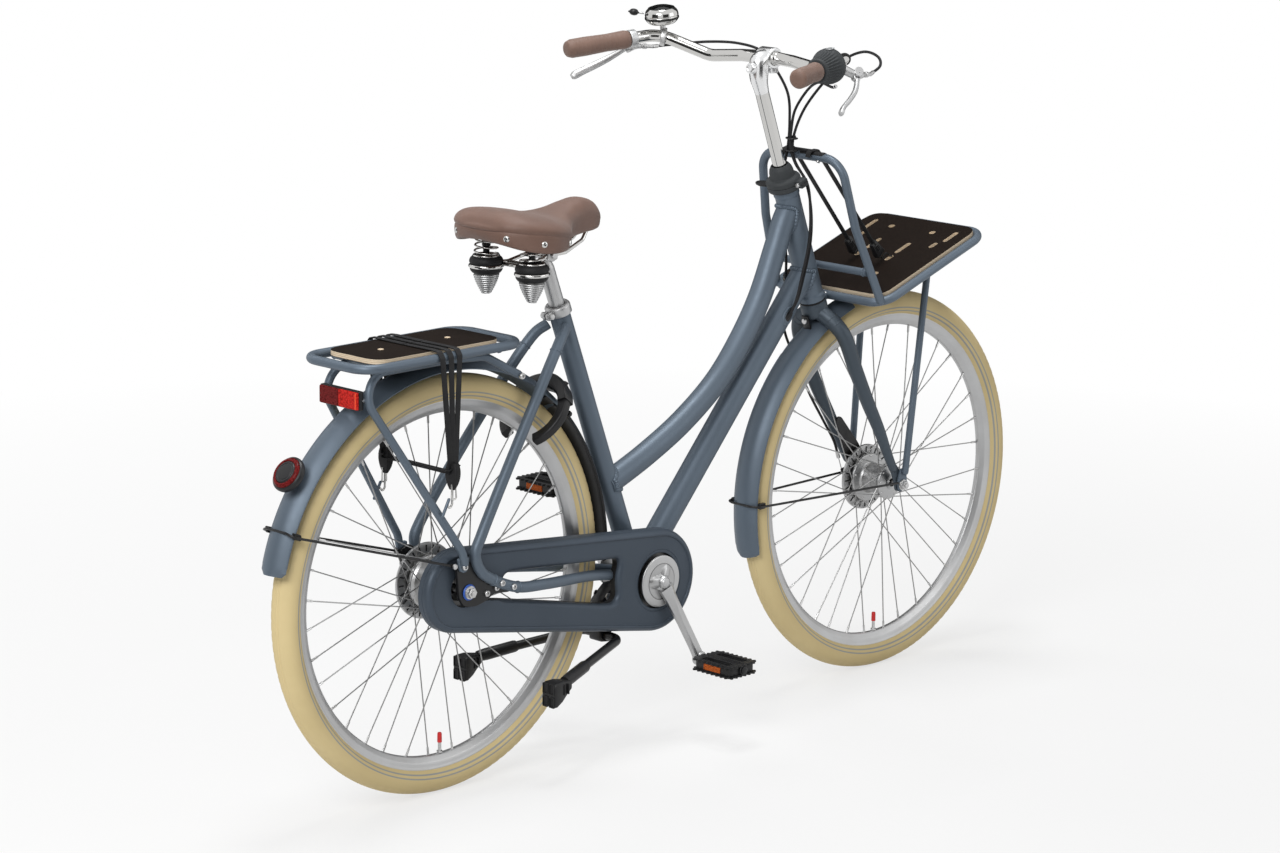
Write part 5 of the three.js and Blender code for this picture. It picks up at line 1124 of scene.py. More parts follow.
def crank_arm(piece, side, boss, ahead):
    """A forged arm: a five-cornered section whose ridge wanders across it, from the hub to the
    pedal's boss, with a lobed hub whose rise falls off with (r / edge)^2 inside edge = 15 + 16 w^1.5."""
    across = np.cross(LEFT * side, ahead)
    share = np.linspace(0.07, 0.985, 26)
    out = boss + np.interp(share, [0.04, 0.2, 0.5, 0.85, 1], [1.5, 4, 11, 17, 18])
    half = np.interp(share, [0, 0.08, 0.2, 0.5, 0.85, 1], [18, 15, 12, 10.2, 9.8, 10.5])
    thick = np.interp(share, [0, 0.2, 0.5, 1], [6.5, 6.5, 6.0, 6.2])
    ridge = np.interp(share, [0, 0.15, 0.5, 1], [0.55, 0.40, -0.45, -0.62])
    rings = []
    for s, y, w, t, r in zip(share, out, half, thick, ridge):
        flat = softened([(-w, -t), (w, -t), (w, 0.25 * t), (r * w, 1.05 * t), (-w, 0.35 * t)], 1.3, 3)
        centre = BRACKET + ahead * CRANK_LENGTH * s + LEFT * side * y
        rings.append(centre + across * flat[:, :1] + LEFT * side * flat[:, 1:])
    piece.add(skin(rings), SATIN_ALLOY)
    pedal = BRACKET + ahead * CRANK_LENGTH
    end = softened([(0, 9), (10, 9), (13, 11), (13, 22.5), (11, 25), (6.5, 25.4), (6, 24), (0, 24)], 1.2, 3,
                   False)
    piece.add(turned(end, pedal + LEFT * side * boss, LEFT * side, 48), SATIN_ALLOY)
    piece.add(rod(pedal + LEFT * side * (boss + 20), pedal + LEFT * side * (boss + 112), 4.6, 20),
              DARK_STEEL)
    start = math.atan2(ahead[2], ahead[0])
    angle = np.linspace(0, 2 * np.pi, 96, endpoint=False)
    weight = 0.5 + 0.5 * np.cos(3 * (angle - start))
    edge = 15 + 16 * weight ** 1.5
    r = np.array([0.02, 6, 10, 13, 16, 19, 22, 25, 28, 31])
    rise = 6.4 * np.clip(1 - (r[:, None] / edge) ** 2, 0, 1) ** 0.7
    y = boss - 4.6 + rise + 0.8 * (1 - r[:, None] / 31)
    dome = np.stack([r[:, None] * np.cos(angle), y, r[:, None] * np.sin(angle)], -1)
    under = upright(ring_outline(31, 96), boss - 8)
    dome[..., 1] *= side
    under[:, 1] *= side
    piece.add(skin(BRACKET + np.vstack([[under], dome[::-1]])), HUB_ALLOY)
    piece.add(turned([(31, -8), (31, -4.6), (29, -4.9), (29, -8)], BRACKET + LEFT * side * boss,
                     LEFT * side, 64),
              HUB_ALLOY)
    cap = [(0, 2), (12.2, 2), (12, 6), (10.6, 8.4), (9.6, 8.8), (9.2, 8.0), (8.6, 8.0), (7.5, 9.6),
           (4, 10.6), (0, 10.9)]
    piece.add(turned(cap, BRACKET + LEFT * side * (boss - 2), LEFT * side, 48), SATIN_ALLOY)


def cranks():
    piece = Piece("crank_right_skin", "crank", "crank_right")
    crank_arm(piece, -1, 72, CRANK_AHEAD)
    ring = softened([(30, 63.2), (46.5, 63.2), (46.5, 65.3), (45.8, 66.3), (44, 66.9), (34, 68.2),
                     (32.6, 67.9), (32, 66.6), (30, 66.6)], 0.5, 2)
    piece.add(turned(ring, BRACKET, -LEFT, 96), SATIN_ALLOY)
    holes = [ring_outline(30, 48)]
    wheel = BRACKET + LEFT * CHAIN_LINE
    piece.add(plate(toothed_outline(38), -1.3, 1.3, wheel, AHEAD, UP, holes, 0.3), DARK_STEEL)
    piece.add(turned([(8.4, 43), (36, 43), (36, 46), (20, 52), (16, 62), (16, 67), (8.4, 67)], BRACKET,
                     -LEFT, 48),
              DARK_STEEL)
    piece.add(rod(BRACKET - LEFT * 66, BRACKET + LEFT * 62, 8.4, 32), DARK_STEEL)
    piece.make(sharp=30)
    piece = Piece("crank_left_skin", "crank", "crank_left")
    crank_arm(piece, 1, 66, -CRANK_AHEAD)
    piece.make(sharp=30)


def pedal(name, side, boss, ahead):
    """A cage of two flanges with a wavy edge, walls between them that hold a reflector front and
    back, and a barrel with slanted ribs over and under."""
    centre = BRACKET + ahead * CRANK_LENGTH + LEFT * side * (boss + 78)
    piece = Piece(f"{name}_skin", name.replace("pedal_", "") + "_pedal", name)
    edge = resampled(rounded_box(34.4, 46.2, 10, 8), 0.7)
    turns = np.linspace(0, 2 * np.pi, len(edge), endpoint=False)
    edge = grown(edge, 3.2 * np.clip(0.3 + np.cos(28 * turns), -0.25, 1))
    windows = [rounded_box(7.4, 33, 4, 4) + (x, 0) for x in (-18.6, 18.6)]
    for low in (-10.9, 7.4):
        piece.add(plate(edge, low, low + 3.5, centre, AHEAD, LEFT, windows, 0.6), PLASTIC)
    wall = rounded_box(31.5, 43.5, 8, 6)
    piece.add(plate(wall, -7.6, 7.6, centre, AHEAD, LEFT, windows, 0.3), PLASTIC)
    for x in (-1, 1):
        place = centre + AHEAD * x * 31.6
        piece.add(block((40, 11, 2.2), place, LEFT, UP, 1.2, 0.5), ORANGE)
        piece.add(block((44, 1.2, 3.4), place + UP * 6.4, LEFT, UP, 0.4, 0.3), PLASTIC)
        piece.add(block((44, 1.2, 3.4), place - UP * 6.4, LEFT, UP, 0.4, 0.3), PLASTIC)
    rib = block((17, 1.6, 1.8), (0, 0, 0), AHEAD, LEFT, 0.5, 0.4)
    places = [centre + LEFT * y + UP * z for z in (-10.6, 10.6) for y in np.arange(-38, 39, 4.2)]
    slants = [point(1, 0.5 * math.copysign(1, (p - centre)[1]), 0) for p in places]
    piece.add(placed(rib, places, slants, [point(-s[1], s[0], 0) for s in slants]), PLASTIC)
    piece.add(turned(softened([(5.2, -47.5), (9, -47.5), (9.6, -46), (9.6, 46), (9, 47.5), (5.2, 47.5)],
                              0.6, 2),
                     centre, LEFT, 32), PLASTIC)
    piece.add(turned([(0, 48), (7, 48), (7, 49.5), (5, 50.4), (0, 50.4)], centre, LEFT * side, 32), PLASTIC)
    piece.make()


def kickstand():
    """Two bent tubes with cuffs and ribbed feet, joined by their cross tube."""
    piece = Piece("kickstand_skin", "stand", "kickstand")
    leg = bent([(385, 1, 200), (385, -46, 199), (232, -96, 180)], 20, 12)
    piece.add(tube(leg, 8, 28), BLACK_PAINT, True)
    cuff = [(262, -87, 183.7), (258, -88.3, 183.2), (205, -104.6, 175.8), (190, -109, 174)]
    piece.add(tube(cuff, [9.6, 10.6, 10.8, 9.5], 28), PLASTIC, True)
    stations = [(196, 172, 10, 9), (182, 170, 17, 11.5), (170, 168, 23.5, 14), (156, 165, 26.4, 16.6),
                (151.5, 164, 25.6, 16.4), (150, 164, 24, 15)]
    rings = []
    for x, z, h, w in stations:
        flat = rounded_box(w, 0.8 * h, 4.5, 5)
        rings.append(point(x, -112, z - 0.2 * h) + LEFT * flat[:, :1] + UP * flat[:, 1:])
    piece.add(skin(rings), PLASTIC, True)
    for y in (-7.8, 7.8):
        for z in (147.5, 170.5):
            frame_ring = rounded_box(6.6, 9.6, 2, 3)
            hollow = rounded_box(5.0, 8.0, 1.5, 3)
            piece.add(plate(frame_ring, -1.2, 1.2, (149.4, -112 + y, z), -LEFT, UP, [hollow], 0.4), PLASTIC,
                      True)
            piece.add(plate(hollow, -0.8, -0.3, (149.6, -112 + y, z), -LEFT, UP, bevel=0.1), RUBBER, True)
    for low in (168, 178, 188):
        piece.add(block((2.2, 19, 30), (low - 4, -112, 166.5), AHEAD, UP, 2, 0.6), PLASTIC, True)
    piece.make()


def rear_axle():
    """Axle, washers and nuts, with a blue collar behind the right nut."""
    piece = Piece("rear_axle_skin", "frame", "rear_axle")
    piece.add(rod(REAR_AXLE - LEFT * 87, REAR_AXLE + LEFT * 87, 5, 28), ZINC)
    blue = softened([(5.5, 73.3), (13.6, 73.3), (14, 74), (13.2, 76), (5.5, 76)], 0.5, 2)
    piece.add(turned(blue, REAR_AXLE, -LEFT, 40), BLUE)
    for side in (-1, 1):
        washer = [(5.3, 73.3 + 2.7 * (side < 0)), (11.5, 73.3 + 2.7 * (side < 0)), (11.2, 77.4),
                  (5.3, 77.4)]
        piece.add(turned(washer, REAR_AXLE, LEFT * side, 40), ZINC)
        nut = [(5.2, 77.4), (9.4, 77.4), (9.4, 83.6), (8.2, 84.6), (5.2, 84.6)]
        piece.add(turned(nut, REAR_AXLE, LEFT * side, 6), ZINC)
    piece.make()


def front_axle():
    piece = Piece("front_axle_skin", "steering", "front_axle")
    piece.add(rod(FRONT_AXLE - LEFT * 76, FRONT_AXLE + LEFT * 76, 4.5, 28), ZINC)
    for side in (-1, 1):
        washer = [(4.8, 64.8), (10.6, 64.8), (10.2, 66.6), (4.8, 66.6)]
        piece.add(turned(washer, FRONT_AXLE, LEFT * side, 40), ZINC)
        nut = [(4.7, 66.6), (8.4, 66.6), (8.4, 72.6), (7.3, 73.5), (4.7, 73.5)]
        piece.add(turned(nut, FRONT_AXLE, LEFT * side, 6), ZINC)
    piece.make()


def rear_brake_plate():
    """Drum cover turned round the axle, and the arm that holds it to the stay."""
    piece = Piece("rear_brake_plate_skin", "frame", "rear_brake_plate")
    drum = softened([(5.4, 40.5), (40, 40.5), (40, 44), (38, 50.5), (34, 52.5), (24, 54.5), (21, 60),
                     (5.4, 60)], 1, 3)
    piece.add(turned(drum, REAR_AXLE, LEFT, 72), BLACK_PAINT)
    arm = softened([(-10, -26), (30, -34), (118, -28), (130, -18), (118, -8), (20, 10)], 7)
    piece.add(plate(arm, -57, -52, REAR_AXLE, AHEAD, UP, bevel=0.9), BLACK_PAINT)
    nut = [(0, 57), (6, 57), (6, 60.5), (4.8, 61.5), (0, 61.5)]
    piece.add(turned(nut, REAR_AXLE + point(118, 0, -18), LEFT, 6), ZINC)
    piece.add(block((12, 6, 14), REAR_AXLE + point(-20, 52, 26), AHEAD, LEFT, 2, 0.8), BLACK_PAINT)
    piece.make()


def front_brake_plate():
    """Drum cover, the reaction arm up to the fork leg, and the cable's cam lever."""
    piece = Piece("front_brake_plate_skin", "steering", "front_brake_plate")
    drum = softened([(4.9, 33.5), (38, 33.5), (38, 37), (36, 41.5), (32, 43), (22, 44.5), (19.5, 48),
                     (4.9, 48)], 0.9, 3)
    piece.add(turned(drum, FRONT_AXLE, LEFT, 72), BLACK_PAINT)
    arm = softened([(-24, -12), (12, -14), (22, 10), (-8, 64), (-62, 126), (-76, 118), (-46, 52)], 8)
    piece.add(plate(arm, -45.5, -40, FRONT_AXLE, AHEAD, UP, bevel=0.9), BLACK_PAINT)
    lever = softened([(-30, -22), (-14, -26), (-40, 22), (-52, 20)], 4)
    piece.add(plate(lever, -48, -44.7, FRONT_AXLE, AHEAD, UP, bevel=0.7), BLACK_PAINT)
    for x, z, r in ((-22, -19, 5.0), (-44, 14, 4.2), (-66, 116, 4.6)):
        piece.add(turned([(0, 45.5), (r, 45.5), (r, 49), (r * 0.7, 50.2), (0, 50.2)],
                         FRONT_AXLE + point(x, 0, z), LEFT, 24), ZINC)
    piece.make()


# Saddle

# Stations from back to nose: x, half width, and the heights of the crown, the side seam and the hem
CUSHION = [(88, 30, 974, 958, 944), (96, 62, 984, 960, 936), (116, 86, 988, 958, 928),
           (145, 102, 985, 955, 922), (178, 108, 979, 950, 920), (208, 98, 972, 945, 922),
           (236, 72, 970, 943, 924), (262, 47, 975, 946, 926), (290, 34, 983, 951, 928),
           (318, 29, 987, 955, 930), (342, 25, 981, 952, 931), (357, 18, 969, 948, 933),
           (363, 8, 956, 947, 940)]
SADDLE_CLAMP = SEAT_TOP + SEAT_AXIS * 103
SPRING_FOOT = point(160, -56, 884)


def saddle_plan():
    """The saddle's outline from above, anticlockwise from the middle of its back."""
    right = [(x, -half) for x, half, *_ in CUSHION]
    loop = [(85.5, 0), *right, (364.5, 0), *[(x, -y) for x, y in right[::-1]], (85.5, 0)]
    return resampled(smooth(loop, 400)[:-1], 2.6)


def saddle_cushion():
    """Rings inside one another: a band from the hem to a seam, sunk at the back, then a crown that
    closes on the middle line, its height sqrt(1 - (1 - q)^2.6), q being the share of the way in."""
    dense = smooth(CUSHION, 160)
    plan = saddle_plan()
    spine = np.stack([np.clip(plan[:, 0], 122, 346), 0 * plan[:, 0]], 1)

    def heights(x):
        return [np.interp(x, dense[:, 0], dense[:, k]) for k in (2, 3, 4)]

    def ring(flat, z):
        return np.column_stack([flat, np.broadcast_to(z, len(flat))])

    rings = []
    for q in (0.85, 0.5, 0.25):
        inner = grown(plan, -9)
        flat = inner + (spine - inner) * q
        rings.append(ring(flat, heights(flat[:, 0])[2] + 13))
    seam = np.clip((232 - plan[:, :1]) / 60, 0, 1)
    band = [(-10, 0.40, 0), (-8.4, 0.12, 0), (-6.6, 0.0, 0), (-4.4, -0.03, 0), (-2.4, 0.03, 0),
            (-1.1, 0.14, 0), (-0.2, 0.30, 0), (0.4, 0.5, 0), (0.7, 0.68, -0.1), (0.9, 0.80, -0.6),
            (1.0, 0.86, -1.1), (1.1, 0.90, -1.9), (1.2, 0.93, -2.0), (1.3, 0.955, -1.3), (1.35, 1.0, -0.7),
            (1.4, 1.08, -0.2), (1.45, 1.16, 0)]
    outward = unit(grown(plan, 1) - plan)
    for inset, share, sunk in band:
        flat = grown(plan, inset) + outward * sunk * seam
        _, side, hem = heights(flat[:, 0])
        rings.append(ring(flat, hem + (side - hem) * share))
    edge = grown(plan, 1.45)
    for t in np.linspace(0.13, 1, 30):
        q = t * t
        flat = edge + (spine - edge) * q
        top, side, _ = heights(flat[:, 0])
        rings.append(ring(flat, side + 2.6 + (top - side - 2.6) * np.sqrt(1 - (1 - q) ** 2.6)))
    piece = Piece("saddle_cushion_skin", "saddle", "saddle_cushion")
    piece.add(skin(rings), BROWN)
    made = piece.make(sharp=70)
    return plan, heights


def saddle_trim(plan, heights):
    """Domed rivets along the back band, each square to the plan's outline where it sits."""
    piece = Piece("saddle_rivets", "saddle")
    along = unit(np.roll(plan, -1, 0) - np.roll(plan, 1, 0))
    for angle in (-150, -118, -86, 150, 118, 86):
        turn = np.degrees(np.arctan2(plan[:, 1], plan[:, 0] - 200))
        i = int(np.argmin(np.abs(turn - angle)))
        _, side, hem = heights(plan[i, 0])
        out = point(along[i, 1], -along[i, 0], 0)
        place = point(*plan[i], hem + (side - hem) * 0.46) - out * 0.4
        dome = [(0, 0), (5.4, 0), (5.4, 0.9), (4.4, 2.0), (2.4, 2.8), (1.2, 2.7), (0, 2.4)]
        piece.add(turned(dome, place, out, 28), CHROME)
    piece.make()


def coil_path(foot, radius, height, turns):
    """A helix: foot + (r cos a, r sin a, h), with r and h given by the share of the way along."""
    share = np.linspace(0, 1, int(turns * 36))
    angle = share * turns * 2 * np.pi
    return foot + np.stack([radius(share) * np.cos(angle), radius(share) * np.sin(angle), height(share)], 1)


def saddle_springs():
    """A side: open coil above, a rubber barrel with a bright ring, and a close-wound cone below."""
    for name, side in (("saddle_spring_right", False), ("saddle_spring_left", True)):
        piece = Piece(f"{name}_skin", "saddle", name)
        flip = mirror if side else same
        upper = coil_path(SPRING_FOOT, lambda t: 20.5 - 2.5 * t, lambda t: 15 + 26 * t, 2.6)
        piece.add(flip(tube(upper, 1.7, 12, domed=True)), CHROME)
        lower = coil_path(SPRING_FOOT, lambda t: 20.5 - 14.5 * t ** 1.35, lambda t: -18.5 - 33.5 * t, 9.0)
        piece.add(flip(tube(lower, 2.05, 10, domed=True)), SATIN_ALLOY)
        rubber = softened([(7.5, -17), (23, -17), (27.5, -12), (28.5, -6.5), (26.5, -4), (27, -1),
                           (29.6, 3), (28, 9), (23, 13.5), (7.5, 13.5)], 2.5, 4)
        piece.add(flip(turned(rubber, SPRING_FOOT, UP, 56)), RUBBER)
        piece.add(flip(turned(ring_outline(1, 14) * (2.2, 3.2) + (28.2, -4.2), SPRING_FOOT, UP, 64)),
                  CHROME)
        piece.add(flip(turned(ring_outline(2.0, 12, (21.5, 13.6)), SPRING_FOOT, UP, 56)), CHROME)
        piece.add(flip(turned([(0, -20), (21, -20), (21, -17), (0, -17)], SPRING_FOOT, UP, 40)), DARK_STEEL)
        piece.make(sharp=45)


def saddle_frame():
    """Bright rails from the nose through the clamp to the springs, black posts and their plates."""
    piece = Piece("saddle_frame_skin", "saddle", "saddle_frame")
    rail = bent([(338, -9, 936), (322, -12, 914), (272, -21, 899), (226, -22, 898), (187, -31, 887),
                 (160, -56, 885)],
                14, 8)
    piece.add(tube(rail, 3.5, 20), CHROME, True)
    cross = bent([(166, -50, 882.5), (176, -36, 884), (176, 36, 884), (166, 50, 882.5)], 16, 8)
    piece.add(tube(cross, 3.4, 18), CHROME)
    piece.add(rod((187, -31, 887), (187, 31, 887), 3.2, 18), CHROME)
    post = softened([(0, -14), (5.6, -14), (5.6, 28), (7.5, 30), (7.5, 41), (15, 42.5), (15, 47.5),
                     (0, 47.5)], 0.8, 2,
                    False)
    piece.add(turned(post, SPRING_FOOT, UP, 32), BLACK_PAINT, True)
    middle = softened([(0, -27), (11, -27), (12, -25.5), (12, -15.5), (9.5, -14), (9.5, 14), (12, 15.5),
                       (12, 25.5), (11, 27), (0, 27)], 0.6, 2, False)
    piece.add(turned(middle, SADDLE_CLAMP, LEFT, 40), SATIN_ALLOY)
    for y in (-22, 22):
        piece.add(block((24, 17, 9), SADDLE_CLAMP + LEFT * y - UP * 1, AHEAD, UP, 4, 1.2), ZINC)
        hexagon = turned([(0, 27), (6.4, 27), (6.4, 31.4), (5.4, 32.4), (0, 32.4)], SADDLE_CLAMP,
                         LEFT * math.copysign(1, y), 6)
        piece.add(hexagon, ZINC)
    piece.make()


def seatpost():
    """A straight tube that draws in to its clamp."""
    profile = [(0, -130), (POST_RADIUS, -130), (POST_RADIUS, 74), (12.6, 79), (11.4, 84), (11.2, 93),
               (0, 95)]
    piece = Piece("seatpost_skin", "saddle", "seatpost")
    piece.add(turned(softened(profile, 1.2, 3, False), SEAT_TOP, SEAT_AXIS, 64), SATIN_ALLOY)
    piece.make()


# Fork and front carrier


def fork():
    """Legs whose radius tapers along a smooth line, a turned crown, and the axle plates."""
    route = smooth([(935, -10, 709, 15), (942, -36, 694, 15), (954, -55, 668, 14.5), (984, -60, 600, 13.5),
                    (1021, -60, 532, 12.5), (1055, -59, 476, 11), (1082, -58, 426, 9), (1100, -57, 395, 8)],
                   90)
    piece = Piece("fork_skin", "steering", "fork")
    # The fork wears the frame's slate made darker: painted shade, not a different paint.
    piece.add(tube(route[:, :3], route[:, 3], 44, domed=True), FORK_SHADE_SLATE, True)
    crown = [(0, -34), (21, -34), (25, -29), (25, -9), (23.8, -6), (23.8, -3.4), (0, -3.4)]
    piece.add(turned(softened(crown, 3, 5, False), HEAD_FOOT, HEAD_AXIS, 64), FORK_SHADE_SLATE)
    piece.add(turned(softened([(0, -3.4), (24.6, -3.4), (24.6, -0.4), (0, -0.4)], 0.6, 2, False), HEAD_FOOT,
                     HEAD_AXIS,
                     64), RUBBER)
    piece.add(rod(on_steering(-20), on_steering(249), 14.3, 40), DARK_STEEL)
    lug = softened([(1090, 404), (1106, 404), (1134, 372), (1134, 352), (1124, 345), (1110, 350),
                    (1106, 368)], 5)
    hole = ring_outline(4.9, 20, (1121, 361))
    piece.add(plate(lug, 53, 58.5, (0, 0, 0), AHEAD, UP, [hole], 1.0), FORK_SHADE_SLATE, True)
    for i in (12, 17):
        piece.add(weld_ring(route[i, :3], route[i + 1, :3] - route[i, :3], route[i, 3] - 0.6, 1.2),
                  FORK_SHADE_SLATE, True)
    piece.make()


PLATFORM_TILT = math.atan(0.344)
PLATFORM_AHEAD = point(math.cos(PLATFORM_TILT), 0, math.sin(PLATFORM_TILT))
PLATFORM_UP = point(-math.sin(PLATFORM_TILT), 0, math.cos(PLATFORM_TILT))


def on_platform(along, left, up=0.0):
    return point(968, 0, 735.5) + PLATFORM_AHEAD * along + LEFT * left + PLATFORM_UP * up


def both_ways(half):
    """A half path that starts in the middle plane, followed by its mirror image the other way."""
    return np.vstack([half, flipped(half)[::-1]])


def front_carrier():
    """A bent ring for the platform, the hoop behind it, cross tubes, struts with eyes and welds."""
    piece = Piece("front_carrier_skin", "steering", "front_carrier")
    ring = bent([on_platform(0, -1), on_platform(0, -136), on_platform(303, -136), on_platform(303, -1)],
                36, 10)
    piece.add(tube(both_ways(ring), 8, 28, closed=True), SLATE)
    hoop = bent([on_platform(4, -128, 4), (917, -110, 878), (889, -96, 1003), (889, -1, 1003)], 42, 12)
    piece.add(tube(both_ways(hoop), 8, 28, domed=True), SLATE)
    piece.add(rod((946, -116, 794), (946, 116, 794), 7, 24), SLATE)
    for along in (66, 207):
        piece.add(rod(on_platform(along, -132, -2), on_platform(along, 132, -2), 5.5, 24), SLATE)
        for side in (-1, 1):
            piece.add(weld_ring(on_platform(along, side * 129, -2), LEFT, 5.5, 1.3), SLATE)
    for y in (-109, 109):
        piece.add(weld_ring(point(946, y * 0.985, 794), LEFT, 7, 1.4), SLATE)
    top = on_platform(207, -78, -2)
    low = point(1124, -67, 386)
    piece.add(rod(top, low, 6.5, 28, domed=True), SLATE, True)
    piece.add(weld_ring(top - unit(top - low) * 5, top - low, 6.5, 1.3), SLATE, True)
    eye = softened([(1115, 392), (1131, 392), (1134, 366), (1130, 350), (1112, 350), (1109, 366)], 5)
    hole = ring_outline(4.9, 20, (1121, 361))
    piece.add(plate(eye, 59, 64, (0, 0, 0), AHEAD, UP, [hole], 0.9), SLATE, True)
    piece.add(rod(on_steering(-12, 25.6), on_steering(-12, 36), 7, 24), SLATE)
    piece.add(turned(softened([(0, 0), (7.6, 0), (7.6, 3.5), (6.4, 5), (3.4, 5), (3.1, 3), (0, 3)], 0.4, 2,
                              False),
                     on_steering(-12, 34), HEAD_FORWARD, 32), ZINC)
    piece.add(rod((889, -4, 1005.6), (889, -56, 1005.6), 7.2, 28, domed=True), RUBBER)
    piece.add(turned([(0, 0), (4, 0), (3.6, 1.6), (2, 2.2), (0, 2.2)], (884, -46, 996),
                     point(-0.6, 0, -0.8), 24), ZINC)
    piece.make()


def slot_outline(half, radius, at):
    """A slot: a straight run closed by a half circle at each end."""
    angle = np.radians(np.linspace(-90, 90, 9))
    end = np.stack([half - radius + radius * np.cos(angle), radius * np.sin(angle)], 1)
    return np.vstack([end, -end]) + at


def board(piece, outline, low, high, origin, right, up, holes):
    """Dark film on both faces, and bare plies round the edge and in the slots between them."""
    piece.add(plate(outline, high - 0.5, high, origin, right, up, holes, 0.2), BOARD)
    piece.add(plate(outline, low, low + 0.5, origin, right, up, holes, 0.2), BOARD)
    core = [grown(h if area_of(h) > 0 else h[::-1], 0.1) for h in holes]
    piece.add(plate(grown(outline, -0.1), low + 0.5, high - 0.5, origin, right, up, core, 0.1), BIRCH)


def area_of(loop):
    return np.sum(loop[:, 0] * np.roll(loop[:, 1], -1) - loop[:, 1] * np.roll(loop[:, 0], -1)) / 2


def front_board():
    piece = Piece("front_board_skin", "steering", "front_board")
    holes = [slot_outline(half, 5, (at, side * left)) for side in (-1, 1)
             for at, left, half in ((97, 99, 21), (58, 88, 11), (31, 36, 22), (-11, 37, 11))]
    holes += [ring_outline(6.5, 20, (at, side * left)) for side in (-1, 1)
              for at, left in ((102, 50), (-72, 54))]
    board(piece, rounded_box(143.5, 128.6, 31, 12), 0, 9, on_platform(152, 0, 4), PLATFORM_AHEAD, LEFT,
          holes)
    piece.make()


def front_straps():
    """Two flat rubber bands from the hoop to wedge blocks, with a wire from each block to a slot."""
    piece = Piece("front_straps_skin", "steering", "front_straps")
    for side in (-1, 1):
        hook = on_platform(119, side * 31, 42)
        top = point(898, side * 30, 1014.8)
        aim = unit(hook - top)
        over = bent([(874, side * 30, 1003), (876, side * 30, 1013), (898, side * 30, 1015), hook], 9, 8)
        piece.add(swept(over, rounded_box(1.7, 5.2, 1.4, 4), 1.0, up=LEFT), RUBBER)
        body = [hook - aim * 16, hook - aim * 14.5, hook - aim * 2, hook + aim * 9, hook + aim * 15,
                hook + aim * 18]
        piece.add(swept(body, rounded_box(1, 0.58, 0.22, 4), [5.6, 7.4, 8.8, 10.8, 10.4, 6.5], up=LEFT),
                  PLASTIC)
        for step in (-9, -5, -1, 3):
            piece.add(block((15.5, 1.2, 11.4), hook + aim * step, LEFT, aim, 0.6, 0.4), PLASTIC)
        wire = smooth([hook + aim * 14, hook + aim * 26 + LEFT * side * 1.5,
                       on_platform(138, side * 35, 24), on_platform(145, side * 36, 14.6),
                       on_platform(150, side * 36, 12)], 30)
        piece.add(tube(wire, 1.3, 12), RUBBER)
    piece.add(tube(bent([(882, -30, 1014.2), (882, 30, 1014.2)], 4), 3.0, 20, domed=True), RUBBER)
    piece.make()


def headlamp():
    """A turned bowl with a ribbed lens set inside its rim, on a small bracket."""
    aim = point(math.cos(-0.12), 0, math.sin(-0.12))
    foot = point(1228, 0, 782)
    piece = Piece("headlamp_skin", "steering", "headlamp")
    bowl = [(0, 0), (14, 2), (27, 14), (32, 30), (32, 42), (30.8, 44.6), (29, 44.6), (28.6, 41), (0, 41)]
    piece.add(turned(softened(bowl, 2, 4, False), foot, aim, 72), PLASTIC)
    lens = [(28.2, 41.1), (28, 43), (20, 44.2), (10, 44.8), (0, 45), (0, 42), (28.2, 41)]
    piece.add(turned(lens, foot, aim, 64), CLEAR)
    for radius in (8, 15, 22):
        piece.add(turned(ring_outline(0.7, 8, (radius, 44)), foot, aim, 56), CLEAR)
    hold = softened([(1236, 800), (1250, 800), (1262, 819), (1244, 812)], 3)
    piece.add(plate(hold, -9, 9, (0, 0, 0), AHEAD, UP, bevel=1.0), BLACK_PAINT)
    piece.make()


# Rear carrier, lamp and locks

CARRIER_Z = 771.5


def rear_carrier():
    """A flat bent hoop, a bent tube under each side down to the dropout, cross tubes and feet."""
    piece = Piece("rear_carrier_skin", "frame", "rear_carrier")
    hoop = bent([(-231, -1, CARRIER_Z), (-231, -80, CARRIER_Z), (120, -80, CARRIER_Z),
                 (120, -1, CARRIER_Z)], 46, 12)
    piece.add(tube(both_ways(hoop), 8, 28, closed=True), SLATE)
    side = bent([(118, -68, 716), (52, -56, 754), (-20, -47, 757), (-235, -47, 757), (-22, -80, 436),
                 (-17, -81, 416)], 40, 14)
    piece.add(tube(side, 7, 28, domed=True), SLATE, True)
    foot = softened([(-29, 424), (-5, 424), (-8, 402), (-16, 398), (-25, 402)], 4)
    piece.add(plate(foot, 73.6, 80, (0, 0, 0), AHEAD, UP, bevel=1.2), SLATE, True)
    head = [(0, 0), (5.6, 0), (5.6, 3.6), (4.6, 4.8), (2.9, 4.8), (2.6, 2.4), (0, 2.4)]
    piece.add(turned(head, (-17, -80, 409), -LEFT, 28), ZINC, True)
    piece.add(rod((-70, -85, 506), (-56, -85, 532), 2.6, 16, domed=True), SLATE, True)
    for x in (68, -60, -165):
        piece.add(rod((x, -76, 766), (x, 76, 766), 5.5, 24), SLATE)
        piece.add(weld_ring(point(x, -73, 766.5), LEFT, 5.5, 1.3), SLATE, True)
    piece.add(rod((118, -71.5, 715), (118, -62, 717), 5, 24), SLATE, True)
    piece.add(turned(head, (118, -75, 714.4), -LEFT, 28), ZINC, True)
    piece.make()


def rear_board():
    piece = Piece("rear_board_skin", "frame", "rear_board")
    board(piece, rounded_box(140, 67, 34, 12), 0, 9, (-55, 0, 773.2), AHEAD, LEFT, [])
    for at in (-74, 74):
        disc = softened([(0, 8.6), (5.4, 8.6), (5.2, 9.5), (4.4, 9.9), (0, 9.9)], 0.3, 2, False)
        piece.add(turned(disc, (-55 + at, 0, 773.2), UP, 32), BIRCH)
    piece.make()


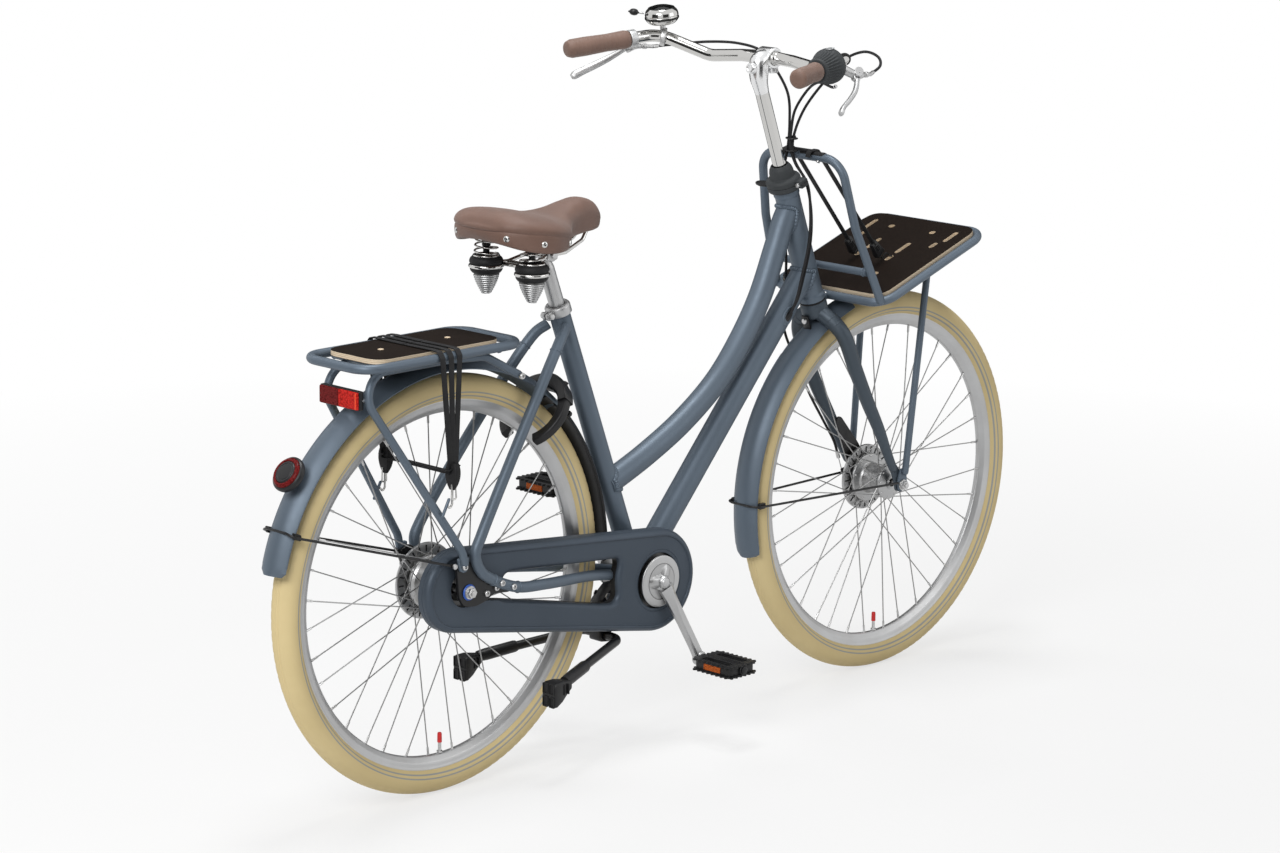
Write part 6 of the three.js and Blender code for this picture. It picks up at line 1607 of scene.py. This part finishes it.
def flat_band(stations):
    """A flat section with rounded edges carried along stations that run across the bike: each
    station plus x * along + y * (run x along), with along kept as level as the run allows."""
    path = np.array(stations, float)
    run = unit(np.gradient(path, axis=0))
    along = unit(AHEAD - run * (run @ AHEAD)[:, None])
    normal = np.cross(run, along)
    section = rounded_box(5.6, 1.0, 0.9, 3)
    return skin(path[:, None] + along[:, None] * section[:, :1] + normal[:, None] * section[:, 1:])


def rear_straps():
    """Three rubber bands over the board, drawn together into a clasp with a hook on each side."""
    piece = Piece("rear_straps_skin", "frame", "rear_straps")
    for band in (-1, 0, 1):
        x, low = -56 + band * 19, -45 + band * 5
        half = bent([(x, -1, 783.7), (x, -68, 784.2), (x, -84, 783.2), (x, -91, 773), (low, -83.6, 575)], 7,
                    7)
        piece.add(flat_band(both_ways(half)), RUBBER)
    foot = point(-45, -83, 570)
    clasp = smooth([(*(foot + (x, 0, z)), wide) for x, z, wide in
                    ((0, 22, 10.5), (0, 12, 13.2), (-0.4, 0, 13.4), (-1, -12, 10.5), (-2, -23, 5))], 30)
    piece.add(swept(clasp[:, :3], rounded_box(1, 0.5, 0.3, 4), clasp[:, 3], up=AHEAD), RUBBER, True)
    piece.add(block((25, 2.2, 12.6), foot + (-0.2, 0, 14), unit(point(1, 0, 0.25)), UP, 1, 0.8), RUBBER,
              True)
    loop = bent([foot + at for at in ((3, -3, -14), (4, -3.6, -39), (-6.5, -3.6, -39), (-5.5, -3, -14))],
                3.5, 5)
    piece.add(tube(loop, 1.5, 14, closed=True), CHROME, True)
    hook = bent([foot + at for at in ((-2, -0.5, -22), (-2.6, -0.5, -48), (-8, -0.5, -54),
                                      (-13, -0.5, -48))], 6, 8)
    piece.add(tube(hook, 2, 16, domed=True), CHROME, True)
    piece.make()


LIGHT_AXIS = unit(point(-334, 0, 247))


def rear_light():
    """A round lamp on the mudguard: black body, red ring and a dark middle."""
    foot = REAR_AXLE + LIGHT_AXIS * 387.6
    piece = Piece("rear_light_skin", "frame", "rear_light")
    body = softened([(0, 0), (9, 0), (12, 11), (24, 11), (29.6, 14.6), (31, 20), (30.4, 24), (27.4, 26.8),
                     (27, 25.2), (0, 25.2)], 1.2, 3, False)
    piece.add(turned(body, foot, LIGHT_AXIS, 72), PLASTIC)
    ring = softened([(20, 25.4), (27.0, 25.4), (26.8, 27.6), (24.6, 30.0), (22, 31.0), (20, 30.4)], 0.8, 3)
    piece.add(turned(ring, foot, LIGHT_AXIS, 72), RED)
    middle = softened([(0, 25.4), (19.7, 25.4), (19.7, 29.6), (18.0, 31.4), (15.6, 31.6), (14.8, 30.8),
                       (14, 31.6), (0, 32)], 0.7, 3, False)
    piece.add(turned(middle, foot, LIGHT_AXIS, 64), PLASTIC)
    piece.make()


def rear_reflector():
    """A long reflector in a black tray on the carrier legs: its left half of small prisms is darker."""
    piece = Piece("rear_reflector_skin", "frame", "rear_reflector")
    centre = point(-214, 0, 715)
    piece.add(block((97, 32, 9), centre, LEFT, UP, 3, 1.0), PLASTIC)
    for side, finish in ((1, RED), (-1, BRIGHT_RED)):
        piece.add(block((46.5, 29, 6), centre + (-5.4, side * 23.4, 0), LEFT, UP, 2.5, 1.4), finish)
    piece.add(block((1.8, 27, 4), centre + (-7.6, -43, 0), LEFT, UP, 0.8, 0.6), RED_EDGE)
    for y in (-46, 46):
        piece.add(rod(centre + (2, y * 0.98, 0), centre + (12, y * 0.98, 0), 3.6, 20), ZINC)
    piece.make()


LOCK_OUT = point(math.cos(math.radians(50)), 0, math.sin(math.radians(50)))
LOCK_AXIS = point(-0.76604, 0, 0.64279)
LOCK_CENTRE = point(221.7617, 0, 625.2853)


def lock_arc(start, end, radius=60.0, lift=0.0, steps=60):
    """Points round the ring lock: zero degrees points to the hub, positive to the right."""
    angle = np.radians(np.linspace(start, end, steps))[:, None]
    return LOCK_CENTRE + LOCK_AXIS * lift + (-LOCK_OUT * np.cos(angle) - LEFT * np.sin(angle)) * radius


def ring_lock():
    """A crescent whose section swells towards its body, a key barrel, and a slot for the knob."""
    piece = Piece("ring_lock_skin", "frame", "ring_lock")
    path = lock_arc(34, 326, steps=110)
    share = np.linspace(34, 326, 110)
    swell = np.clip(1 - np.abs(share - 180) / 62, 0, 1)
    size = 9.2 + 4.6 * swell * swell * (3 - 2 * swell)
    section = rounded_box(1, 0.92, 0.5, 5)
    piece.add(swept(path, section, size, up=LOCK_AXIS), PLASTIC)
    cover = lock_arc(118, 242, 62, 0, 60)
    piece.add(swept(cover, rounded_box(8.6, 13.2, 3, 5), 1.0, up=LOCK_AXIS), BLACK_PAINT)
    slot = lock_arc(40, 116, 60, -9.2, 40)
    piece.add(swept(slot, rounded_box(2.6, 0.8, 0.5, 3), 1.0, up=LOCK_AXIS), RUBBER)
    barrel = lock_arc(252, 252, 60, 0, 1)[0]
    piece.add(turned([(0, 8), (9.6, 8), (9.6, 17), (8.4, 18.4), (6, 18.4), (5.6, 17.2), (0, 17.2)], barrel,
                     -LOCK_AXIS,
                     40), BLACK_PAINT)
    keyway = [(0, 16), (5.2, 16), (5.2, 18), (1.2, 18.2), (1.0, 17.4), (0, 17.4)]
    piece.add(turned(keyway, barrel, -LOCK_AXIS, 28), ZINC)
    for at in (150, 210):
        foot = lock_arc(at, at, 66, 0, 1)[0]
        piece.add(rod(foot, foot + LOCK_OUT * 9, 4.6, 20), BLACK_PAINT)
    piece.make()
    piece = Piece("ring_lock_bolt_skin", "lock_bolt", "ring_lock_bolt")
    piece.add(tube(lock_arc(38, 114, 60, 0, 40), 3.8, 20, domed=True), ZINC)
    knob = lock_arc(107, 107, 60, 0, 1)[0]
    grip = softened([(0, 6), (2.6, 6), (2.6, 15), (5.5, 15.4), (5.5, 20.5), (4.4, 22), (0, 22)], 0.6, 3,
                    False)
    piece.add(turned(grip, knob, -LOCK_AXIS, 32), PLASTIC)
    piece.make()


def steering_lock():
    """Ring and cone of dark grey rubber over the head tube, a clamp lug, and a lever on the left."""
    piece = Piece("steering_lock_skin", "frame", "steering_lock")
    base = on_steering(226.3)
    lower = softened([(15.2, 0), (26.6, 0), (30.6, 1.6), (32, 4), (32, 10.4), (31.2, 11.2), (15.2, 11.2)],
                     0.8, 3)
    upper = softened([(15.2, 11.8), (31.2, 11.8), (32, 12.8), (32, 19.4), (30.6, 22), (27.6, 24.4),
                      (23.2, 25.6), (22.8, 28), (22.2, 36), (20.6, 42), (17.2, 47.6), (15.2, 49.6)], 1.2, 4)
    piece.add(turned(lower, base, HEAD_AXIS, 72), GREY_RUBBER)
    piece.add(turned(upper, base, HEAD_AXIS, 72), GREY_RUBBER)
    piece.add(turned([(15.2, 10), (30.8, 10), (30.8, 13), (15.2, 13)], base, HEAD_AXIS, 64), PLASTIC)
    lug = on_steering(238.3, 8, -36)
    piece.add(block((20, 15, 15), lug, HEAD_FORWARD, HEAD_AXIS, 4, 1.5), GREY_RUBBER)
    piece.add(block((18, 3, 9), lug - LEFT * 4.2, HEAD_FORWARD, HEAD_AXIS, 1, 0.5), PLASTIC)
    head = [(0, 0), (4.4, 0), (4.4, 3.4), (3.4, 4.2), (2.3, 4.2), (2.0, 2), (0, 2)]
    piece.add(turned(head, lug + HEAD_FORWARD * -10, -HEAD_FORWARD, 28), ZINC)
    piece.make()
    piece = Piece("steering_lock_lever_skin", "lock_lever", "steering_lock_lever")
    outline = softened([(-7, 26), (7, 26), (8, 44), (3, 58), (-4, 58), (-9, 44)], 5)
    piece.add(plate(outline, 0, 5.4, on_steering(234.6, -12), HEAD_FORWARD, LEFT, bevel=1.8, steps=4),
              PLASTIC)
    for at in (42, 47, 52):
        piece.add(block((9, 1.2, 6.4), on_steering(237.3, -12.5, at), HEAD_FORWARD, LEFT, 0.5, 0.5),
                  PLASTIC)
    piece.make()


# Stem, handlebar and its fittings

BAR_CENTRE = point(797, 0, 1187)
GRIP_BEND = point(752, -230, 1212)
BAR_END = point(565, -279, 1194)
BAR_RUN = unit(BAR_END - GRIP_BEND)
GRIP_OUT = unit(np.cross(UP, BAR_RUN))
GRIP_UP = np.cross(BAR_RUN, GRIP_OUT)
GRIP_LENGTH = 128
BAR_SIDE = bent([(797, -26, 1187), (794, -62, 1186), (784, -130, 1180), GRIP_BEND, BAR_END - BAR_RUN * 3],
                48, 14)


def on_grip(along, out=0.0, up=0.0):
    return BAR_END + BAR_RUN * (along - GRIP_LENGTH) + GRIP_OUT * out + GRIP_UP * up


def stem():
    """A bright quill and a forged head that swells towards the clamp round the bar."""
    piece = Piece("stem_skin", "cockpit", "stem")
    piece.add(rod(on_steering(116), on_steering(432), 12.5, 56), CHROME)
    neck = smooth([[*on_steering(420), 12.8], [*on_steering(434), 14.2], [*on_steering(447, 1), 16.4],
                   [*on_steering(462, 6), 17.6], [*on_steering(474, 12), 17.4], [*BAR_CENTRE, 16.6]], 60)
    piece.add(tube(neck[:, :3], neck[:, 3], 48, domed=True), ALLOY)
    clamp = softened([(13.2, -17), (17.6, -17), (19, -15.4), (19, 15.4), (17.6, 17), (13.2, 17)], 0.8, 3)
    piece.add(turned(clamp, BAR_CENTRE, LEFT, 64), ALLOY)
    piece.add(block((20, 14, 12), BAR_CENTRE + point(10, 0, -22), AHEAD, UP, 4, 1.6), ALLOY)
    head = [(0, 0), (5, 0), (5, 3), (4, 4), (2.6, 4), (2.4, 2), (0, 2)]
    piece.add(turned(head, BAR_CENTRE + point(12, -6, -23), -LEFT, 28), ZINC)
    cap_axis = unit(on_steering(474, -16) - on_steering(466, -2))
    cap = softened([(0, 0), (9.8, 0), (9.8, 13), (8.6, 15.6), (5.6, 16.4), (5.0, 14.6), (0, 14.6)], 0.8, 3,
                   False)
    piece.add(turned(cap, on_steering(466, -2), cap_axis, 48), ALLOY)
    piece.make()


def handlebar():
    """One bent tube that thickens from 11.1 to 12.7 mm where the stem holds it."""
    middle = np.array([(797, y, 1187) for y in (-25, -22, 22, 25)], float)
    path = np.vstack([BAR_SIDE[::-1], middle, flipped(BAR_SIDE)])
    share = np.clip((27 - np.abs(path[:, 1])) / 4, 0, 1)
    piece = Piece("handlebar_skin", "cockpit", "handlebar")
    piece.add(tube(path, BAR_RADIUS + 1.6 * share, 40), CHROME)
    for side in (-1, 1):
        end = BAR_END * (1, -side, 1)
        run = BAR_RUN * (1, -side, 1)
        piece.add(turned([(0, -1), (BAR_RADIUS, -1), (BAR_RADIUS, 1), (0, 1.5)], end - run * 4, run, 32),
                  CHROME)
    piece.make()


def grips():
    """Turned handles with a palm swell, and fine rings cut round all but their ends."""
    for name, length, mirrored in (("grip_right", 72, False), ("grip_left", GRIP_LENGTH, True)):
        along = np.linspace(0.5, length - 2, 90)
        share = along / length
        swell = np.interp(share, [0, 0.06, 0.35, 0.7, 0.92, 1], [15.6, 17.0, 15.9, 17.3, 17.0, 13.5])
        cut = (0.16 < share) & (share < 0.88) & (np.arange(90) % 6 == 0)
        profile = [(11.6, 0.4), *zip(swell - 0.45 * cut, along), (12, length), (6, length + 0.9),
                   (0, length + 1)]
        surface = turned(profile, on_grip(GRIP_LENGTH - length), BAR_RUN, 48)
        piece = Piece(f"{name}_skin", "cockpit", name)
        piece.add(mirror(surface) if mirrored else surface, GRIP_BROWN)
        piece.make(sharp=50)


def grip_shifter():
    """A cone with ribs round it: radius + 0.9 cos(30 a) over the ribbed part."""
    profile = np.array([(11.6, 0), (26, 0), (29, 1.2), (31, 4), (31, 13.4), (30, 15), (27, 22), (24.2, 31),
                        (22.2, 41), (21.4, 49), (19.6, 52.6), (11.6, 53)])
    profile = softened(profile, 0.9, 3)
    angle = np.linspace(0, 2 * np.pi, 240, endpoint=False)
    ribbed = np.clip((profile[:, 1] - 17) / 2, 0, 1) * np.clip((49.5 - profile[:, 1]) / 1.5, 0, 1)
    radius = profile[:, 0] + np.cos(30 * angle)[:, None] * 0.9 * ribbed * (profile[:, 0] > 16)
    around = GRIP_OUT * np.cos(angle)[:, None, None] + GRIP_UP * np.sin(angle)[:, None, None]
    points = on_grip(1) + BAR_RUN * profile[None, :, 1:] + around * radius[..., None]
    piece = Piece("grip_shifter_skin", "shifter", "grip_shifter")
    piece.add((points.reshape(-1, 3), [quads(240, len(profile), True)]), GREY_RUBBER)
    window = on_grip(10, 4, 31)
    piece.add(block((16, 11, 1.4), window, BAR_RUN, unit(np.cross(GRIP_UP, BAR_RUN)), 3, 0.5), CLEAR)
    piece.make(sharp=60)


LEVER_PIVOT = on_grip(-24, 37, -20)
LEVER_RUN = unit(on_grip(82, 60, -61) - LEVER_PIVOT)
LEVER_AXIS = unit(np.cross(LEVER_RUN, on_grip(0) - LEVER_PIVOT))
LEVER_ACROSS = np.cross(LEVER_AXIS, LEVER_RUN)
LEVER_ROOT = [(-5, 5), (5, 6), (16, 3), (16, -8), (4, -7), (-5, -5), (-7, 0)]


def brake_levers():
    """A side: a clamp and a cast body that ends in a fork, and the lever that turns in it."""
    for side, mirrored in (("right", False), ("left", True)):
        flip = mirror if mirrored else same
        piece = Piece(f"brake_perch_{side}_skin", "cockpit", f"brake_perch_{side}")
        clamp = softened([(11.4, -13.6), (15.2, -13.6), (16, -12.8), (16, -0.9), (15.2, 0), (11.4, 0)], 0.6,
                         3)
        piece.add(flip(turned(clamp, on_grip(-1.4), BAR_RUN, 48)), PALE_SILVER)
        body = smooth([[*on_grip(-10, 10, -5), 9.6], [*on_grip(-12, 20, -10), 10.0],
                       [*on_grip(-19, 31, -17), 9.6], [*on_grip(-32, 37, -21.4), 8.2],
                       [*on_grip(-44, 38, -23), 5.8]], 40)
        piece.add(flip(tube(body[:, :3], body[:, 3], 28, domed=True, squash=0.8)), PALE_SILVER)
        for up in (-6.9, 6.9):
            cheek = softened([(-9, -8), (8, -7), (11, 0), (8, 7), (-9, 8), (-16, 0)], 5)
            piece.add(flip(plate(cheek, up - 1.9, up + 1.9, LEVER_PIVOT, LEVER_RUN, LEVER_ACROSS,
                                 bevel=0.8)),
                      PALE_SILVER)
        piece.add(flip(rod(LEVER_PIVOT - LEVER_AXIS * 9.8, LEVER_PIVOT + LEVER_AXIS * 9.8, 3.0, 24)), ZINC)
        barrel = [(0, 0), (4.6, 0), (4.6, 9), (3.6, 9.4), (3.6, 13), (5.0, 13.4), (5.0, 20), (3.4, 20.6),
                  (3.4, 33), (0, 33)]
        mouth = on_grip(-40, 38, -22.6)
        piece.add(flip(turned(barrel, mouth, on_grip(-72, 37.5, -28) - mouth, 28)), ZINC)
        piece.add(flip(turned([(0, 14), (4, 14), (4, 18), (0, 18.6)], on_grip(-8, 0, 0), -GRIP_UP, 24)),
                  ZINC)
        piece.make()
        piece = Piece(f"brake_lever_{side}_skin", f"{side}_brake_lever", f"brake_lever_{side}")
        root = softened(LEVER_ROOT, 3, 4)
        piece.add(flip(plate(root, -4.1, 4.1, LEVER_PIVOT, LEVER_RUN, LEVER_ACROSS, bevel=1.6, steps=4)),
                  PALE_SILVER)
        line = smooth([(8, -2, 4.2, 4.2), (22, -5, 5.0, 4.4), (46, -7.4, 6.2, 4.6), (78, -4.2, 7.0, 4.4),
                       (98, -0.4, 7.2, 4.2), (110, 0.4, 7.6, 4.6), (118, -0.2, 7.0, 4.8),
                       (122, -0.6, 4.6, 3.2)], 60)
        path = LEVER_PIVOT + LEVER_RUN * line[:, :1] + LEVER_ACROSS * line[:, 1:2]
        angle = np.linspace(0, 2 * np.pi, 28, endpoint=False)[:, None]
        cosine, sine = np.cos(angle), np.sin(angle)
        blade = [p + LEVER_AXIS * (cosine * wide) + LEVER_ACROSS * (sine * deep)
                 for p, wide, deep in zip(path, line[:, 2], line[:, 3])]
        piece.add(flip(skin(blade)), PALE_SILVER)
        piece.make(sharp=45)


BELL_BAR = point(752.57, 218.77, 1207.81)
BELL_CENTRE = BELL_BAR + point(-3, 0, 23)


def bell():
    """Two rounded shells with a seam between them, on a clamp round the bar; the crown and a band under
    the seam are near-black, a painted dark reflection in the chrome. The thumb lever is a piece by itself."""
    axis = unit(point(-0.12, 0, 1))
    piece = Piece("bell_skin", "cockpit", "bell")
    dome = softened([(0, 0), (14, 0), (23, 2), (29.4, 8), (31, 14.6), (30.2, 15.4), (30.2, 16.6),
                     (31, 17.4), (29.4, 25), (24, 30.8), (14, 33.8), (0, 34.6)], 2.6, 5, False)
    piece.add(turned(dome, BELL_CENTRE, axis, 96), CHROME)
    # The crown and the band under the seam are near-black: painted dark reflection in the chrome.
    crown = softened([(0, 33), (24.6, 29.6), (24.0, 31.4), (14, 34.5), (0, 35.4)], 0.6, 3, False)
    piece.add(turned(crown, BELL_CENTRE, axis, 80), DARK_REFLECTION_CHROME)
    piece.add(turned([(30.3, 13.2), (31.3, 14.2), (31.3, 11.4), (30.2, 10.0)], BELL_CENTRE, axis, 80),
              DARK_REFLECTION_CHROME)
    i = int(np.argmin(np.abs(flipped(BAR_SIDE)[:, 1] - 218.77)))
    run = unit(flipped(BAR_SIDE)[i + 1] - flipped(BAR_SIDE)[i])
    clamp = softened([(11.6, -4.5), (16.2, -4.5), (17, -3.8), (17, 3.8), (16.2, 4.5), (11.6, 4.5)], 0.5, 2)
    piece.add(turned(clamp, BELL_BAR, run, 48), ZINC)
    piece.add(rod(BELL_BAR + point(-1, 0, 11), BELL_CENTRE + point(0, 0, 2), 5, 28), ZINC)
    piece.add(rod(BELL_BAR + point(-9, -12, 2), BELL_BAR + point(9, -12, 2), 2.6, 16, domed=True), ZINC)
    piece.make(sharp=40)
    run = unit(point(-0.72, 0.66, 0.12))
    foot = BELL_CENTRE + point(-2, 0, 16)
    piece = Piece("bell_lever_skin", "bell_thumb_lever", "bell_lever")
    piece.add(rod(foot + run * 32.4, foot + run * 46, 2, 16), ZINC)
    knob = smooth([[*(foot + run * along), radius] for along, radius in
                   ((43, 2.6), (45, 6.4), (49, 8.4), (53, 8.4), (57, 6.4), (59, 2.6))], 26)
    piece.add(tube(knob[:, :3], knob[:, 3], 28, domed=True, squash=0.72), PLASTIC)
    piece.make()


# Cables

CLIP = point(871, 5.2, 1024)
BARREL_END = on_grip(-73, 37.5, -28.2)
LEFT_BRAKE_LINE = [BARREL_END * (1, -1, 1), (826, 252, 1186), (858, 205, 1192), (868, 136, 1194),
                   (868, 80, 1184), (870, 46, 1153), (875, 22, 1112), (874, 16, 1060), (870, 15, 1022),
                   (868, 20, 990), (872, 40, 945), (888, 42, 880), (900, 42, 810), (908, 50, 740),
                   (926, 68, 670), (960, 66, 600), (998, 64, 532), (1034, 60, 476), (1058, 54, 434),
                   (1068, 51, 402)]
RIGHT_BRAKE_LINE = [BARREL_END, (812, -250, 1194), (848, -214, 1204), (872, -160, 1206), (880, -110, 1188),
                    (880, -68, 1150), (878, -17, 1091), (874, 2, 1048), (870, 4, 1022), (868, -4, 995),
                    (880, -20, 958), (884, -31, 910), (884, -32, 850), (868, -31, 785), (852, -29, 740),
                    (843, -22, 722), (834, -10, 708)]
SHIFTER_LINE = [on_grip(14, 14, -34), (720, -230, 1165), (790, -160, 1150), (850, -70, 1144),
                (875, -21, 1120), (873, 3, 1084), (868, 6, 1050), (865, 5, 1022), (866, -6, 992),
                (876, -28, 955), (876, -37, 905), (874, -37, 850), (858, -35, 784), (846, -31, 738),
                (837, -23, 714), (827, -10, 699)]
# Stations of the left brake line beside the head tube, and where it meets the fork
BESIDE_HEAD = 11
ON_FORK = 15
CABLE_RADIUS = 2.5


def cable(name, nodes, route, rides):
    """One length of housing: a round tube along the route."""
    piece = Piece(name, rides, *nodes)
    piece.add(tube(route, CABLE_RADIUS, 16), RUBBER)
    return piece


def metres(at):
    return tuple((np.array(at, float) - (CENTRE_X, 0, 0)) / 1000)


def brake_cable_leg(route, low, end, ferrule):
    """The front brake's housing from beside the head tube to its arm, with two clips on the fork."""
    leg = cable("left_brake_cable_leg", [], route[low:], ("frame", "steering", metres(route[low]), end))
    leg.add(turned(ferrule, route[-1], route[-4] - route[-1], 24), ZINC)
    leg.add(rod(route[-1], route[-1] + point(8, -2, -26), 0.9, 10), ZINC)
    for at in (0.66, 0.80):
        i = int(at * len(route))
        leg.add(turned([(2.6, -4), (4.2, -4), (4.2, 4), (2.6, 4)], route[i], route[i + 1] - route[i], 20),
                PLASTIC)
    leg.make()


def cables():
    """Each housing in lengths: the upper one follows the bar's height, the others follow the steering
    from the clip on the hoop down to the frame, and the front brake's goes on to the fork."""
    ferrule = [(0, 0), (3.6, 0), (3.6, 11), (2.9, 13), (0, 13)]
    for name, line, joins, nodes in (("right_brake", RIGHT_BRAKE_LINE, 8, ["frame_cables"]),
                                     ("shifter", SHIFTER_LINE, 7, []),
                                     ("left_brake", LEFT_BRAKE_LINE, 8, ["front_brake_cable"])):
        route = smooth(line, 260)
        clip, low = (int(np.argmin(np.linalg.norm(route - np.array(line[at], float), axis=1)))
                     for at in (joins, BESIDE_HEAD))
        upper = cable(f"{name}_cable_upper", [], route[:clip + 1],
                      ("cockpit", "steering", metres(line[0]), metres(CLIP)))
        upper.add(turned(ferrule, route[0], route[3] - route[0], 24), ZINC)
        upper.make()
        if name != "left_brake":
            low = len(route) - 1
        cable(f"{name}_cable_lower", nodes, route[clip:low + 1],
              ("steering", "frame", metres(CLIP), metres(route[low]))).make()
        if name == "left_brake":
            brake_cable_leg(route, low, metres(line[ON_FORK]), ferrule)
    tie = Piece("cable_tie", "steering")
    for z in (1012, 1034):
        band = smooth([(x, y, z) for x, y in
                       ((860, 0), (864, 14), (872, 20), (878, 10), (876, -2), (866, -5), (860, 0))], 48)
        tie.add(tube(band[:-1], 1.4, 10, closed=True), PLASTIC)
    tie.add(block((9, 8, 7), (880, 12, 1034), AHEAD, LEFT, 2, 0.8), PLASTIC)
    tie.make()


# Studio and camera


WALL_DISTANCE = 3.1


def dark_wall(start, end, tall):
    """A curved dark wall that only mirror-like surfaces see, for the dark bands in the chrome."""
    turn = np.radians(np.linspace(start, end, 25))
    foot = WALL_DISTANCE * np.stack([np.cos(turn), np.sin(turn), 0 * turn], 1)
    mesh = bpy.data.meshes.new("dark_wall")
    mesh.from_pydata(np.vstack([foot, foot + UP * tall]).tolist(), [], quads(2, 25, False, False).tolist())
    mesh.materials.append(WALL_CLOTH)
    wall = bpy.data.objects.new("dark_wall", mesh)
    bpy.context.scene.collection.objects.link(wall)
    wall.visible_camera = wall.visible_diffuse = wall.visible_transmission = wall.visible_shadow = False


def any_of(tree, outputs):
    """The largest of a light path's outputs: one where a ray is of any of the named kinds."""
    path = tree.nodes.new("ShaderNodeLightPath")
    value = path.outputs[outputs[0]]
    for name in outputs[1:]:
        most = tree.nodes.new("ShaderNodeMath")
        most.operation = "MAXIMUM"
        tree.links.new(value, most.inputs[0])
        tree.links.new(path.outputs[name], most.inputs[1])
        value = most.outputs[0]
    return value


SEEN_RAYS = ("Is Camera Ray", "Is Transmission Ray", "Is Glossy Ray")


def floor():
    """A pale floor that the camera and mirrors see partly as plain white, wholly so far from the bike."""
    ground = bpy.data.objects.new("studio_floor", bpy.data.meshes.new("studio_floor"))
    reach = 30.0
    ground.data.from_pydata([(-reach, -reach, 0), (reach, -reach, 0), (reach, reach, 0),
                             (-reach, reach, 0)],
                            [], [(0, 1, 2, 3)])
    bpy.context.scene.collection.objects.link(ground)
    f = Finish("pale floor", (0.72, 0.72, 0.72), 0.9)
    ground.data.materials.append(f.material)
    white = f.node("ShaderNodeEmission", {"Color": (1, 1, 1, 1), "Strength": 1.0})
    spread = f.node("ShaderNodeVectorMath", operation="LENGTH")
    f.link(f.place, spread.inputs[0])
    far = f.node("ShaderNodeMapRange", {"From Min": 1.1, "From Max": 3.2, "To Min": 0.68, "To Max": 1.0})
    f.link(spread.outputs["Value"], far.inputs["Value"])
    fade = f.node("ShaderNodeMixShader")
    f.link(f.maths("MULTIPLY", any_of(f.tree, SEEN_RAYS), far.outputs["Result"]), fade.inputs[0])
    f.link(f.shader.outputs[0], fade.inputs[1])
    f.link(white.outputs[0], fade.inputs[2])
    f.link(fade.outputs[0], f.tree.nodes["Material Output"].inputs["Surface"])


def sky():
    """Soft even light, which the camera and mirrors see as plain white."""
    world = bpy.data.worlds.new("studio")
    bpy.context.scene.world = world
    world.use_nodes = True
    tree = world.node_tree
    light = tree.nodes["Background"]
    white = tree.nodes.new("ShaderNodeBackground")
    for shade, strength in ((light, 0.29), (white, 1.0)):
        shade.inputs["Color"].default_value = (1, 1, 1, 1)
        shade.inputs["Strength"].default_value = strength
    mix = tree.nodes.new("ShaderNodeMixShader")
    tree.links.new(any_of(tree, SEEN_RAYS), mix.inputs[0])
    tree.links.new(light.outputs[0], mix.inputs[1])
    tree.links.new(white.outputs[0], mix.inputs[2])
    tree.links.new(mix.outputs[0], tree.nodes["World Output"].inputs["Surface"])


def lamp(name, place, aim, size, power):
    light = bpy.data.lights.new(name, "AREA")
    light.shape = "RECTANGLE"
    light.size, light.size_y = size
    light.energy = power
    made = bpy.data.objects.new(name, light)
    made.location = place
    made.rotation_euler = (Vector(aim) - Vector(place)).to_track_quat("-Z", "Y").to_euler()
    bpy.context.scene.collection.objects.link(made)


def camera():
    """The camera of the photograph: its place, turn and lens were fitted to both wheels' circles."""
    yaw, pitch, roll = (math.radians(a) for a in (44.43, -12.6, 0.6))
    toward = point(math.cos(yaw) * math.cos(pitch), math.sin(yaw) * math.cos(pitch), math.sin(pitch))
    right = unit(np.cross(toward, UP))
    over = np.cross(right, toward)
    level_right = right * math.cos(roll) + over * math.sin(roll)
    level_over = over * math.cos(roll) - right * math.sin(roll)
    place = point(-4.1647 - CENTRE_X / 1000, -4.5525, 2.0139)
    lens = bpy.data.cameras.new("camera")
    lens.lens = 36 * 3780.3 / 1280
    lens.sensor_width = 36
    made = bpy.data.objects.new("camera", lens)
    axes = np.stack([level_right, level_over, -toward], 1)
    made.matrix_world = Matrix([[*row, where] for row, where in zip(axes, place)] + [[0, 0, 0, 1]])
    bpy.context.scene.collection.objects.link(made)
    bpy.context.scene.camera = made
    bpy.context.scene.view_settings.view_transform = "Standard"


def studio():
    """Pale floor and world, four soft lamps, dark walls for the chrome, and the camera."""
    floor()
    sky()
    lamp("key lamp", (-4.4, -1.6, 3.6), (0, 0, 0.6), (3.0, 2.4), 185)
    lamp("fill lamp", (2.4, -4.2, 2.6), (0, 0, 0.6), (2.6, 2.0), 25)
    lamp("rim lamp", (1.2, 3.6, 3.4), (0, 0, 0.6), (3.0, 1.6), 60)
    lamp("top lamp", (0.0, 0.2, 4.6), (0, 0, 0.3), (1.1, 1.1), 85)
    for start, end, tall in ((0, 92, 4.2), (150, 196, 2.4), (-128, -84, 2.4)):
        dark_wall(start, end, tall)
    camera()


studio()
head_tube()
top_tube()
down_tube()
seat_tube()
bracket_shell()
rear_stay("rear_stay_right", -1)
rear_stay("rear_stay_left", 1)
seat_clamp()
rear_mudguard()
front_mudguard()
wheels()
chaincase()
chain()
rear_sprocket()
cranks()
pedal("pedal_right", -1, 72, CRANK_AHEAD)
pedal("pedal_left", 1, 66, -CRANK_AHEAD)
kickstand()
rear_axle()
front_axle()
rear_brake_plate()
front_brake_plate()
plan, heights = saddle_cushion()
saddle_trim(plan, heights)
saddle_springs()
saddle_frame()
seatpost()
fork()
front_carrier()
front_board()
front_straps()
headlamp()
rear_carrier()
rear_board()
rear_straps()
rear_light()
rear_reflector()
ring_lock()
steering_lock()
stem()
handlebar()
grips()
grip_shifter()
brake_levers()
bell()
cables()
